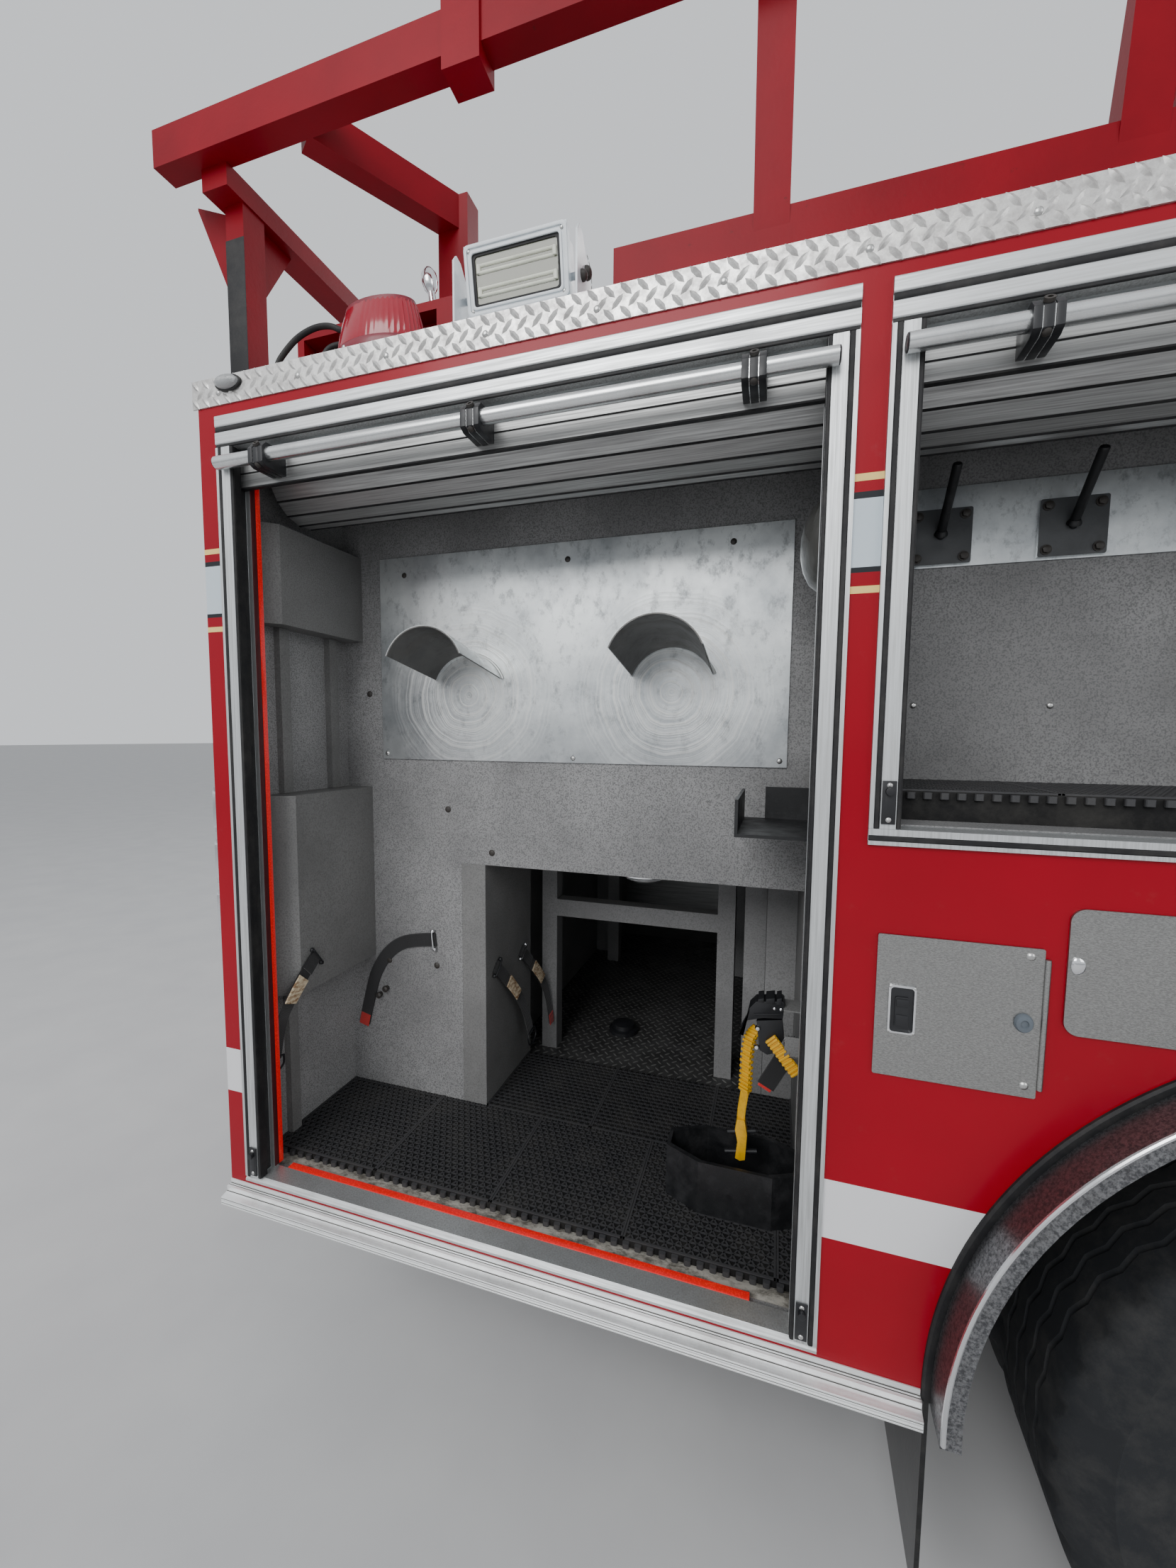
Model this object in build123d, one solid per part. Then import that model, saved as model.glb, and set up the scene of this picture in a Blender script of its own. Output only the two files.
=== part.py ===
from build123d import *
import os
from math import cos, sin, radians, pi

# Pumper fire truck. Millimetres. +X is forward, +Y is the truck's left, +Z is up.
# The origin is on the ground under the centre of the truck's box.

# Lengths along the truck, from its rear end to its front end
tailboard_depth = 250
body_length = 4260
body_to_pump_gap = 30
pump_length = 1150
pump_to_cab_gap = 60
cab_length = 3400
bumper_depth = 450

# Axles
rear_axle_from_body_rear = 2210
front_axle_from_cab_front = 1760
tyre_radius = 520
tyre_width = 300
rim_radius = 286
front_wheel_y = 1035
twin_wheel_y = 859
twin_spacing = 340
kingpin_y = 860

# Apparatus body
body_half_width = 1220
body_bottom = 620
body_top = 2450
skin = 20
wall = 25
roof_sheet = 30
compartment_depth = 411
rear_arch_radius = 718
rear_arch_z = 636
door_top = 2374
low_floor = 640
high_floor = 1560
rear_post = 50
rear_door_width = 1268
mid_post = 42
wheel_door_width = 1700
wheel_door_bottom = 1532
front_post = 50
track_width = 45
track_depth = 52
track_proud = 6
header_height = 66
threshold_height = 12
wheel_sill_height = 26
slot_deep = 20
slot_gap = 22
slot_reach = 12
curtain_inset = 25
curtain_sheet = 8
slot_play = 1

# Tunnel across the body behind the rear axle, measured from the body's rear
tunnel_start = 397
tunnel_end = 1290
tunnel_top = 1345
tunnel_wall = 12

# Hose bed between the compartments
hose_bed_floor = 1700
hose_bed_wall = 20
hose_bed_top = 2640

# Chassis
rail_y = 430
rail_top = 980
rail_height = 260
rail_flange = 90
rail_thickness = 10
rail_rear_from_body_rear = 1340

# Pump module
pump_half_width = 1190
pump_panel = 20
pump_bottom = 690
pump_top = 2450
crosslay_floor = 2050
crosslay_width = 300
step_height = 600

# Cab
cab_half_width = 1200
cab_bottom = 650
cab_roof = 2760
cab_wall = 45
cab_floor_z = 1150
front_arch_radius = 660
front_arch_z = 560
front_door_start = 200
front_door_width = 880
crew_door_width = 860
crew_door_end = 100
door_bottom = 680
door_height = 1880
door_gap = 6
windscreen_base = 1700
windscreen_rake = 120
glass = 8

# Ladder rack
beam_inboard = 10
beam_depth = 50
beam_height = 76
beam_bottom = 2918

# Free cords and webbing
strap_width = 38
strap_thickness = 3
cable_radius = 6

# Clearance between pieces that sit on each other
seat_gap = 0.3

# Worked out from the above
overall_length = (tailboard_depth + body_length + body_to_pump_gap + pump_length
                  + pump_to_cab_gap + cab_length + bumper_depth)
rear_end = -overall_length / 2
body_rear = rear_end + tailboard_depth
body_front = body_rear + body_length
pump_rear = body_front + body_to_pump_gap
pump_front = pump_rear + pump_length
cab_rear = pump_front + pump_to_cab_gap
cab_front = cab_rear + cab_length
rear_axle_x = body_rear + rear_axle_from_body_rear
front_axle_x = cab_front - front_axle_from_cab_front
axle_z = tyre_radius
inner_wall_y = body_half_width - compartment_depth
core_y = inner_wall_y - wall
rear_door_start = body_rear + rear_post
rear_door_end = rear_door_start + rear_door_width
wheel_door_start = rear_axle_x - wheel_door_width / 2
wheel_door_end = rear_axle_x + wheel_door_width / 2
front_door_frame_start = wheel_door_end + mid_post
front_door_frame_end = body_front - front_post
tunnel_x0 = body_rear + tunnel_start
tunnel_x1 = body_rear + tunnel_end
beam_outer = body_half_width - beam_inboard
driver_y = cab_half_width - 480
crew_y = cab_half_width - 440

# Doorways of one side. Columns: name, start x, end x, bottom z, floor z inside
doorways = [
    ("rear", rear_door_start, rear_door_end, low_floor, low_floor),
    ("wheel", wheel_door_start, wheel_door_end, wheel_door_bottom, high_floor),
    ("front", front_door_frame_start, front_door_frame_end, low_floor, low_floor),
]


def block(x0, x1, y0, y1, z0, z1):
    size = Box(x1 - x0, y1 - y0, z1 - z0)
    return Pos((x0 + x1) / 2, (y0 + y1) / 2, (z0 + z1) / 2) * size


def prism_y(points, y0, y1):
    """Extrudes an outline of (x, z) points from y0 to y1."""
    line = Polyline([(x, y0, z) for x, z in points], close=True)
    return extrude(make_face(line), amount=y1 - y0, dir=(0, 1, 0))


def prism_x(points, x0, x1):
    """Extrudes an outline of (y, z) points from x0 to x1."""
    line = Polyline([(x0, y, z) for y, z in points], close=True)
    return extrude(make_face(line), amount=x1 - x0, dir=(1, 0, 0))


def prism_z(points, z0, z1):
    """Extrudes an outline of (x, y) points from z0 to z1."""
    line = Polyline([(x, y, z0) for x, y in points], close=True)
    return extrude(make_face(line), amount=z1 - z0, dir=(0, 0, 1))


def rod(start, end, radius):
    """A round bar from one point to another."""
    start = Vector(*start)
    way = Vector(*end) - start
    bar = Cylinder(radius, way.length, align=(Align.CENTER, Align.CENTER, Align.MIN))
    return Plane(origin=start, z_dir=way) * bar


def bar(start, end, width, depth, side=(0, 0, 1)):
    """A square bar from one point to another, its width across the side direction."""
    start = Vector(*start)
    way = Vector(*end) - start
    plane = Plane(origin=start, x_dir=Vector(*side).cross(way), z_dir=way)
    return plane * Box(width, depth, way.length, align=(Align.CENTER, Align.CENTER, Align.MIN))


def disc_y(x, y0, y1, z, radius):
    return rod((x, y0, z), (x, y1, z), radius)


def fuse(parts):
    whole = parts[0]
    for piece in parts[1:]:
        whole = whole + piece
    return whole


def mirrored(parts):
    """The same pieces on the other side of the truck."""
    return [mirror(piece, about=Plane.XZ) for piece in parts]


def both_sides(parts):
    return parts + mirrored(parts)


def revolved(profile, x, y, z):
    """Turns a (radius, outboard) outline about a wheel's axis on the left side."""
    face = make_face(Polyline([(r, o) for r, o in profile], close=True))
    return Pos(x, y, z) * revolve(face, axis=Axis.Y)


def save(name, parts):
    solids = []
    for piece in parts:
        solids += piece.solids()
    export_step(Compound(children=solids) if len(solids) > 1 else solids[0], f"parts/{name}.step")


# Chassis
def chassis_frame():
    x0 = body_rear + rail_rear_from_body_rear
    x1 = cab_front - cab_wall - 1
    low = rail_top - rail_height
    web = block(x0, x1, rail_y - rail_thickness, rail_y, low, rail_top)
    upper = block(x0, x1, rail_y - rail_flange, rail_y, rail_top - rail_thickness, rail_top)
    lower = block(x0, x1, rail_y - rail_flange, rail_y, low, low + rail_thickness)
    rails = both_sides([web + upper + lower])
    crossings = []
    end = rail_y - rail_thickness - seat_gap
    for x in (x0 + 40, rear_axle_x - 350, rear_axle_x + 700, pump_rear + 200, cab_rear + 150,
              cab_front - 120):
        crossings.append(block(x - 35, x + 35, -end, end, rail_top - 120, rail_top - 20))
    return rails + crossings


spring_width = 85
spring_y = rail_y - 45


def spring(x, length):
    """One leaf pack, bowed down to the axle, with its two hangers on the rail."""
    half = length / 2
    low = axle_z + 75
    high = rail_top - rail_height - 60
    seat = rail_top - rail_height - seat_gap
    line = ThreePointArc((x - half, 0, high), (x, 0, low), (x + half, 0, high))
    top = ThreePointArc((x + half, 0, high + 25), (x, 0, low + 75), (x - half, 0, high + 25))
    face = make_face(Wire([line, Line(line @ 1, top @ 0), top, Line(top @ 1, line @ 0)]))
    leaf = extrude(face, amount=spring_width, dir=(0, 1, 0))
    leaf = Pos(0, spring_y - spring_width / 2, 0) * leaf
    hangers = []
    for end in (x - half, x + half):
        hangers.append(block(end - 30, end + 30, spring_y - 30, spring_y + 30, high - 5, seat))
    return fuse([leaf] + hangers)


def leaf_springs():
    packs = [spring(front_axle_x, 1250), spring(rear_axle_x, 1350)]
    return both_sides(packs)


kingpin_radius = 25
knuckle_eye = 52
spindle_radius = 40
rear_spindle = 60
running_gap = 0.08


def front_axle():
    beam = prism_x([(-700, axle_z - 100), (700, axle_z - 100), (kingpin_y - 30, axle_z - 50),
                    (kingpin_y - 30, axle_z + 50), (700, axle_z + 20), (-700, axle_z + 20),
                    (-kingpin_y + 30, axle_z + 50), (-kingpin_y + 30, axle_z - 50)],
                   front_axle_x - 45, front_axle_x + 45)
    parts = [beam]
    for side in (-1, 1):
        y = side * kingpin_y
        parts.append(rod((front_axle_x, y, axle_z - 60), (front_axle_x, y, axle_z + 60), knuckle_eye))
        parts.append(block(front_axle_x - 60, front_axle_x + 60, side * spring_y - 50, side * spring_y + 50,
                           axle_z + 10, axle_z + 74.7))
    whole = fuse(parts)
    for side in (-1, 1):
        y = side * kingpin_y
        whole = whole - rod((front_axle_x, y, axle_z - 90), (front_axle_x, y, axle_z + 90),
                            kingpin_radius + running_gap)
    return [whole]


def knuckle():
    """The left steering knuckle: a fork round the axle's eye, its kingpin and the spindle."""
    x = front_axle_x
    outer = kingpin_y + 75
    fork = block(x - 50, x + 50, kingpin_y + 60, outer, axle_z - 95, axle_z + 95)
    for z0 in (axle_z - 95, axle_z + 66):
        fork += block(x - 50, x + 50, kingpin_y - 45, outer, z0, z0 + 29)
    pin = rod((x, kingpin_y, axle_z - 90), (x, kingpin_y, axle_z + 90), kingpin_radius)
    spindle = disc_y(x, outer - 1, front_wheel_y + 55, axle_z, spindle_radius)
    arm = bar((x - 40, kingpin_y + 50, axle_z - 80), (x - 230, kingpin_y - 60, axle_z - 80), 40, 28)
    return fuse([fork, pin, spindle, arm])


def rear_axle():
    x = rear_axle_x
    housing = [disc_y(x, -620, 620, axle_z, 75)]
    housing.append(disc_y(x, -(twin_wheel_y + 50), twin_wheel_y + 50, axle_z, rear_spindle))
    bowl = revolve(make_face(Polyline((0, -150), (120, -150), (215, -60), (215, 60), (120, 150), (0, 150),
                                      close=True)), axis=Axis.Y)
    housing.append(Pos(x, 0, axle_z) * Rot(0, 0, 90) * bowl)
    housing.append(rod((x + 100, 0, axle_z), (x + 330, 0, axle_z), 70))
    for side in (-1, 1):
        housing.append(block(x - 60, x + 60, side * spring_y - 50, side * spring_y + 50,
                             axle_z + 40, axle_z + 74.7))
    return [fuse(housing)]


def tyre_profile(middle):
    """Section of a truck tyre as (radius, outboard) points."""
    half = tyre_width / 2
    section = [(0, -105), (0, 105), (20, 122), (110, half), (205, 138), (230, 116), (234, 95)]
    inner = [(depth, -out) for depth, out in reversed(section[2:])]
    return [(rim_radius + depth, middle + out) for depth, out in section + inner]


# Rim sections as (radius, outboard) points
def front_rim_profile():
    bore = spindle_radius + running_gap
    seat = rim_radius - 0.3
    return [(0, 75), (bore, 75), (bore, -60), (105, -60), (105, 30), (200, 44), (256, 10), (262, -126),
            (298, -126), (298, -119), (seat, -112), (seat, 112), (298, 119), (298, 126), (272, 126),
            (268, 32), (205, 58), (112, 46), (108, 105), (85, 120), (0, 125)]


def rear_rim_profile():
    bore = rear_spindle + running_gap
    seat = rim_radius - 0.3
    outer = [(112, 14), (205, 14), (258, 46), (266, 60), (268, 296), (298, 296), (298, 289), (seat, 282),
             (seat, 58), (298, 51), (298, 44), (272, 44), (262, 30), (205, 0)]
    inner = [(r, -o) for r, o in reversed(outer[:-1])]
    hub = [(105, -150), (bore, -150), (bore, 60), (0, 60)]
    return [(0, 150), (85, 148), (105, 130)] + outer + inner + hub


hand_holes = 10


def rim_with_holes(profile, y, x, radius):
    """A disc wheel with a ring of hand holes cut through its dish."""
    rim = revolved(profile, x, y, axle_z)
    for number in range(hand_holes):
        angle = 2 * pi * number / hand_holes
        hole_x = x + radius * cos(angle)
        hole_z = axle_z + radius * sin(angle)
        rim = rim - disc_y(hole_x, y - 40, y + 75, hole_z, 22)
    return rim


# Apparatus body
def compartment_shell():
    """The right-hand block of compartments, open at its doorways, with the wheel arch cut."""
    y0 = -body_half_width
    shell = block(body_rear, body_front, y0, -core_y, body_bottom, body_top)
    inside_y = -body_half_width + skin
    back_y = -inner_wall_y
    for name, x0, x1, z0, floor in doorways:
        left = 24 if name == "rear" else 10
        right = 24 if name == "front" else 10
        shell = shell - block(x0 - left, x1 + right, inside_y, back_y, floor, body_top - roof_sheet)
        shell = shell - block(x0, x1, y0 - 1, y0 + track_depth - track_proud + seat_gap, z0, door_top)
    arch = disc_y(rear_axle_x, y0 - 1, -core_y + 1, rear_arch_z, rear_arch_radius)
    below = block(rear_axle_x - rear_arch_radius, rear_axle_x + rear_arch_radius, y0 - 1, -core_y + 1,
                  body_bottom - 1, rear_arch_z)
    shell = shell - arch - below
    shell = shell - block(tunnel_x0, tunnel_x1, back_y - 1, -core_y + 1, low_floor, tunnel_top)
    return shell


fuel_flap = (rear_door_end + 64, rear_door_end + 288, 1160, 1391)
bottle_flap = (rear_door_end + 316, rear_door_end + 506, 1266, 1456)


def flap_pockets():
    """Recesses behind the two small flaps of the right side."""
    x0, x1, z0, z1 = fuel_flap
    fuel = block(x0 + 22, x1 - 22, -body_half_width - 1, -body_half_width + 120, z0 + 22, z1 - 22)
    x0, x1, z0, z1 = bottle_flap
    bottle = block(x0 + 18, x1 - 18, -body_half_width - 1, -body_half_width + 300, z0 + 18, z1 - 18)
    return [fuel, bottle]


def flap(outline, corner, hinge_end):
    x0, x1, z0, z1 = outline
    y1 = -body_half_width - seat_gap
    plate = block(x0, x1, y1 - 4, y1, z0, z1)
    plate = fillet(plate.edges().filter_by(Axis.Y), corner)
    knuckles = rod((x1 + 4, y1 - 4, z0 + hinge_end), (x1 + 4, y1 - 4, z1 - hinge_end), 3.9)
    return plate + knuckles


def track_section():
    """A curtain track as (inwards, deep): a lip, a sunk seal, a flat strip and the slot."""
    strip_start, strip_end = 15.5, track_width - 7
    lip, sunk = 6.5, 4
    slot = track_width - slot_reach
    slot_end = slot_deep + slot_gap
    return [(0, 0), (lip, 0), (lip, sunk), (strip_start, sunk), (strip_start, 0), (strip_end, 0),
            (strip_end, sunk), (track_width, sunk), (track_width, slot_deep), (slot, slot_deep),
            (slot, slot_end), (track_width, slot_end), (track_width, track_depth), (0, track_depth)]


def header_section():
    """The header over a doorway as (down, deep): two rounded rails and the curtain's slot."""
    high = header_height - seat_gap
    slot_end = slot_deep + slot_gap
    return [(0, 0), (24, 0), (24, 5), (34, 5), (34, 0), (60, 0), (60, 4), (high, 4), (high, slot_deep),
            (high - 8, slot_deep), (high - 8, slot_end), (high, slot_end), (high, track_depth),
            (0, track_depth)]


def sill_section(name):
    """The lowest member as (up, deep): a sloped threshold, or a framed sill over the wheel."""
    if name == "wheel":
        high = wheel_sill_height - seat_gap
        return [(0, 0), (6.5, 0), (6.5, 4), (15.5, 4), (15.5, 0), (high, 0), (high, track_depth),
                (0, track_depth)]
    high = threshold_height - seat_gap
    return [(0, 0), (5, 0), (high, 9), (high, track_depth), (0, track_depth)]


def sill_height(name):
    return wheel_sill_height if name == "wheel" else threshold_height


def door_frames():
    """Extruded aluminium frames round the three doorways of the right side, member by member."""
    members = []
    y0 = -body_half_width - track_proud
    for name, x0, x1, z0, floor in doorways:
        left, right = x0 + seat_gap, x1 - seat_gap
        low, high = z0 + seat_gap, door_top - seat_gap
        header = prism_x([(y0 + deep, high - down) for down, deep in header_section()], left, right)
        nose = header.edges().filter_by(Axis.X).filter_by_position(Axis.Y, y0 - 0.1, y0 + 0.1)
        members.append(fillet(nose, 3))
        members.append(prism_x([(y0 + deep, low + up) for up, deep in sill_section(name)], left, right))
        for edge, way in ((left, 1), (right, -1)):
            outline = [(edge + way * inwards, y0 + deep) for inwards, deep in track_section()]
            foot = z0 + sill_height(name) + seat_gap
            members.append(prism_z(outline, foot, door_top - header_height - seat_gap))
    return members


drum_radius = 102
slat_pitch = 38


def rolled_curtain(x0, x1, z_top, wall0, wall1):
    """A slatted curtain wound on its drum under the roof, with its free end between the tracks."""
    y = -body_half_width + 203
    z = z_top - drum_radius - 8
    count = 17
    ring = []
    for number in range(count):
        angle = 2 * pi * (number + 0.5) / count
        ring.append((y + drum_radius * cos(angle), z + drum_radius * sin(angle)))
    shaft = rod((wall0, y, z), (wall1, y, z), 16)
    drum = prism_x(ring, x0 + 30, x1 - 30) + shaft
    front = -body_half_width + curtain_inset
    back = front + curtain_sheet
    lintel = door_top - header_height
    inset = track_width - slot_reach + slot_play
    panel = block(x0 + inset, x1 - inset, front, back, lintel - 76, lintel - 14)
    link = prism_x([(front, lintel - 20), (front, lintel - 12), (y - 83, z + 24), (y - 83, z + 16),
                    (back, lintel - 16), (back, lintel - 20)], x0 + track_width + 2, x1 - track_width - 2)
    return fuse([drum, link, panel])


def closed_curtain(x0, x1, z0, z1, y):
    """A closed slatted curtain with its outer face towards -Y."""
    outline = [(y + curtain_sheet, z1), (y + curtain_sheet, z0)]
    slats = int((z1 - z0) / slat_pitch)
    pitch = (z1 - z0) / slats
    for number in range(slats):
        z = z0 + number * pitch
        outline += [(y, z), (y, z + pitch - 6), (y + 4, z + pitch - 4)]
    outline += [(y, z1)]
    return prism_x(outline, x0, x1)


def shut_curtain(name, x0, x1, z0):
    inset = track_width - slot_reach + slot_play
    return closed_curtain(x0 + inset, x1 - inset, z0 + sill_height(name) + seat_gap,
                          door_top - header_height + 6, -body_half_width + curtain_inset)


def curtains_right():
    parts = []
    for name, x0, x1, z0, floor in doorways:
        if name == "front":
            parts.append(shut_curtain(name, x0, x1, z0))
        else:
            wall0 = x0 - (24 if name == "rear" else 10) + seat_gap
            wall1 = x1 + 10 - seat_gap
            parts.append(rolled_curtain(x0, x1, body_top - roof_sheet, wall0, wall1))
    return parts


def curtains_left():
    return mirrored([shut_curtain(name, x0, x1, z0) for name, x0, x1, z0, floor in doorways])


bar_radius = 13.5
bar_y = body_half_width + 20


def lift_bar(x0, x1, z):
    """The round bar that a curtain is lifted by, on three hooked clamps from its free end."""
    parts = [rod((x0, -bar_y, z), (x1, -bar_y, z), bar_radius)]
    for share in (0.1, 0.5, 0.9):
        x = x0 + share * (x1 - x0)
        y, face = -bar_y, -body_half_width + curtain_inset - seat_gap
        hook = [(y - 17, z - 20), (y - 17, z + 8), (y - 7, z + 20), (face, z + 20), (face, z - 26),
                (y - 5, z - 26)]
        parts.append(prism_x(hook, x - 18, x + 18))
    return fuse(parts)


def lift_bars():
    parts = []
    for name, x0, x1, z0, floor in doorways:
        up = name != "front"
        z = door_top - 106 if up else z0 + 110
        bar_piece = lift_bar(x0 + 20, x1 - 30, z)
        parts.append(bar_piece)
    for name, x0, x1, z0, floor in doorways:
        parts += mirrored([lift_bar(x0 + 20, x1 - 30, z0 + 110)])
    return parts


def sill_rails():
    """Stepped rub rails of extruded aluminium under the low doorways."""
    y = -body_half_width
    section = [(y + 40, body_bottom - 0.3), (y - 14, body_bottom - 0.3), (y - 14, body_bottom - 12),
               (y - 30, body_bottom - 16), (y - 30, body_bottom - 34), (y - 18, body_bottom - 38),
               (y - 18, body_bottom - 46), (y + 40, body_bottom - 46)]
    reach = rear_arch_radius + 13
    spans = [(body_rear, rear_axle_x - reach), (rear_axle_x + reach, body_front)]
    return both_sides([prism_x(section, x0, x1) for x0, x1 in spans])


def arch_ring(x, z, radius, y_skin, reach):
    """A polished ring round the upper half of a wheel arch, on the right side."""
    band = disc_y(x, -y_skin - reach, -y_skin + 10, z, radius - seat_gap)
    band = band - disc_y(x, -y_skin - reach - 1, -y_skin + 11, z, radius - 8)
    lip = disc_y(x, -y_skin - reach, -y_skin - reach + 6, z, radius - 8)
    lip = lip - disc_y(x, -y_skin - reach - 1, -y_skin - reach + 7, z, radius - 30)
    ring = band + lip
    return ring - block(x - radius - 9, x + radius + 9, -y_skin - reach - 2, -y_skin + 12, z - 900, z - 26)


def wheel_arch_rings():
    rear = arch_ring(rear_axle_x, rear_arch_z, rear_arch_radius, body_half_width, 66)
    front = arch_ring(front_axle_x, front_arch_z, front_arch_radius, cab_half_width, 46)
    return both_sides([rear, front])


def mud_flaps():
    x = rear_axle_x - rear_arch_radius + seat_gap
    flaps = [block(x, x + 8, -body_half_width + 30, -body_half_width + 400, 200, rear_arch_z - 4)]
    x = front_axle_x - front_arch_radius - liner_sheet - 2 - seat_gap
    flaps.append(block(x - 8, x, -cab_half_width + 60, -cab_half_width + 420, 220, cab_bottom - 5))
    return both_sides(flaps)


trim_height = 54
trim_sheet = 3


def edge_trim():
    """Folded diamond plate along the roof's edges and the tops of the compartments."""
    y = body_half_width
    x0 = body_rear - 12
    x1 = body_front
    side = block(x0, x1, -y - trim_sheet, -y, body_top - trim_height, body_top + trim_sheet)
    top = block(x0, x1, -y - trim_sheet, -core_y - hose_bed_wall, body_top, body_top + trim_sheet)
    return both_sides([side + top])


def hose_bed():
    """The open tray for the hose between the two rows of compartments."""
    y = core_y
    t = hose_bed_wall
    z = hose_bed_floor
    outline = [(-y, z), (-y, hose_bed_top), (-y + t, hose_bed_top), (-y + t, z + t), (y - t, z + t),
               (y - t, hose_bed_top), (y, hose_bed_top), (y, z)]
    tray = prism_x(outline, body_rear + hose_bed_wall, body_front)
    front = block(body_front - hose_bed_wall, body_front, -y, y, hose_bed_floor, hose_bed_top)
    return [tray + front]


rear_door_half = 560
rear_door_bottom = 700
rear_door_top = 1580


def rear_wall():
    """The rear face between the compartments, with its own curtain doorway."""
    half = core_y - seat_gap
    x1 = body_rear + hose_bed_wall - seat_gap
    panel = block(body_rear, x1, -half, half, body_bottom, hose_bed_floor + 300)
    opening = block(body_rear - 1, x1 + 1, -rear_door_half, rear_door_half, rear_door_bottom, rear_door_top)
    return [panel - opening]


def rear_curtain():
    z0, z1 = rear_door_bottom, rear_door_top
    slats = int((z1 - z0) / slat_pitch)
    pitch = (z1 - z0) / slats
    x = body_rear + 6
    outline = [(x + curtain_sheet, z1), (x + curtain_sheet, z0)]
    for number in range(slats):
        z = z0 + number * pitch
        outline += [(x, z), (x, z + pitch - 6), (x + 4, z + pitch - 4)]
    outline += [(x, z1)]
    return [prism_y(outline, -rear_door_half + 0.3, rear_door_half - 0.3)]


def tailboard():
    half = body_half_width - 290
    chamfer = 150
    x0 = rear_end
    z = body_bottom - 35
    x1 = body_rear - seat_gap
    line = Polyline((x0, -half + chamfer, z), (x0 + chamfer, -half, z), (x1, -half, z),
                    (x1, half, z), (x0 + chamfer, half, z), (x0, half - chamfer, z), close=True)
    deck = extrude(make_face(line), amount=55, dir=(0, 0, 1))
    return [deck]


def water_tank():
    x0 = tunnel_x1 + 60
    low, high = rail_top + seat_gap, hose_bed_floor - seat_gap
    section = [(-520, low), (520, low), (520, high), (-520, high)]
    tank = prism_x(section, x0, body_front - 60)
    return [tank]


def tunnel_liner():
    """Walls and ceiling of the tunnel that runs across the truck, with its jamb boxes."""
    t = tunnel_wall
    x0, x1, z1 = tunnel_x0, tunnel_x1, tunnel_top
    y = core_y - 0.3
    outline = [(x0 - t, low_floor), (x0, low_floor), (x0, z1), (x1, z1), (x1, low_floor), (x1 + t, low_floor),
               (x1 + t, z1 + t), (x0 - t, z1 + t)]
    return [prism_y(outline, -y, y)]


jamb_width = 72


def jamb_boxes():
    x0 = tunnel_x0 + seat_gap
    y = -inner_wall_y
    return both_sides([block(x0, x0 + jamb_width, y, y + 311, low_floor, tunnel_top - seat_gap)])


def tunnel_floor():
    half = core_y - seat_gap
    x0, x1 = tunnel_x0 - tunnel_wall, tunnel_x1 + tunnel_wall
    return [block(x0, x1, -half, half, low_floor - 14, low_floor - seat_gap)]


def tunnel_frame():
    """Square tube frames standing in the tunnel near its two mouths."""
    y = -body_half_width + 785
    t = 52
    left = tunnel_x0 + 89
    right = left + 577
    top = tunnel_top - 0.3
    posts = [block(x, x + t, y, y + t, low_floor, top) for x in (left, right)]
    crossbar = block(left + 10, right + 10, y, y + t, 1101, 1157)
    return both_sides([fuse(posts + [crossbar])])


floor_tile = 15
tunnel_mat = 300


def floor_mats():
    """Ribbed tiles on the compartments' floors and in the tunnel's right mouth."""
    parts = [block(rear_door_start - 23, rear_door_end + 9, -body_half_width + 100, -inner_wall_y - 0.3,
                   low_floor + 0.3, low_floor + floor_tile)]
    parts.append(block(wheel_door_start - 9, wheel_door_end + 9, -body_half_width + 115, -inner_wall_y - 0.3,
                       high_floor + 0.3, high_floor + 50))
    jamb = tunnel_x0 + jamb_width + 2 * seat_gap
    parts.append(block(jamb, tunnel_x1 - seat_gap, -inner_wall_y + seat_gap, -inner_wall_y + tunnel_mat,
                       low_floor + seat_gap, low_floor + floor_tile))
    return parts


trough_radius = 108
trough_slope = 10
trough_z = 1805
trough_length = 223
trough_sheet = (rear_door_start + 101, rear_door_end - 77, 1630, 2181)
trough_x = (rear_door_start + 376, rear_door_start + 923)


def trough_panel():
    """The sheet on the compartment's back wall with its two half pipes."""
    y = -inner_wall_y - 0.3
    x0, x1, z0, z1 = trough_sheet
    sheet = block(x0, x1, y - 4, y, z0, z1)
    parts = [sheet]
    half = radians(67.5)
    for x in trough_x:
        out = trough_radius
        inn = trough_radius - 4

        def at(radius, angle):
            return (x + radius * sin(angle), y - 3, trough_z + radius * cos(angle))
        arc_out = ThreePointArc(at(out, -half), at(out, 0), at(out, half))
        arc_in = ThreePointArc(at(inn, half), at(inn, 0), at(inn, -half))
        ends = [Line(arc_out @ 1, arc_in @ 0), Line(arc_in @ 1, arc_out @ 0)]
        ring = make_face(Wire([arc_out, ends[0], arc_in, ends[1]]))
        slope = radians(trough_slope)
        parts.append(extrude(ring, amount=trough_length, dir=(0, -cos(slope), sin(slope))))
    return [fuse(parts)]


cover_depth = 82


def wall_covers():
    """Boxed covers and rails on the rear wall of the photographed compartment."""
    x = rear_door_start - 24 + 0.3
    back = -inner_wall_y - 0.3
    front = -body_half_width + 90

    def cover(z0, z1, deep):
        line = Polyline((x, front, z0), (x + deep * 0.33, front, z0), (x + deep, front + 34, z0),
                        (x + deep, back, z0), (x, back, z0), close=True)
        return extrude(make_face(line), amount=z1 - z0, dir=(0, 0, 1))
    lower = cover(1050, 1548, cover_depth)
    upper = cover(1959, 2190, 60)
    rails = []
    for inboard, z0, z1 in ((170, 1549, 1958), (340, 1549, 1958), (160, low_floor + floor_tile + 1, 1049)):
        y = -body_half_width + inboard
        rails.append(block(x, x + 18, y - 15, y + 15, z0, z1))
    return [lower, upper] + rails


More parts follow.
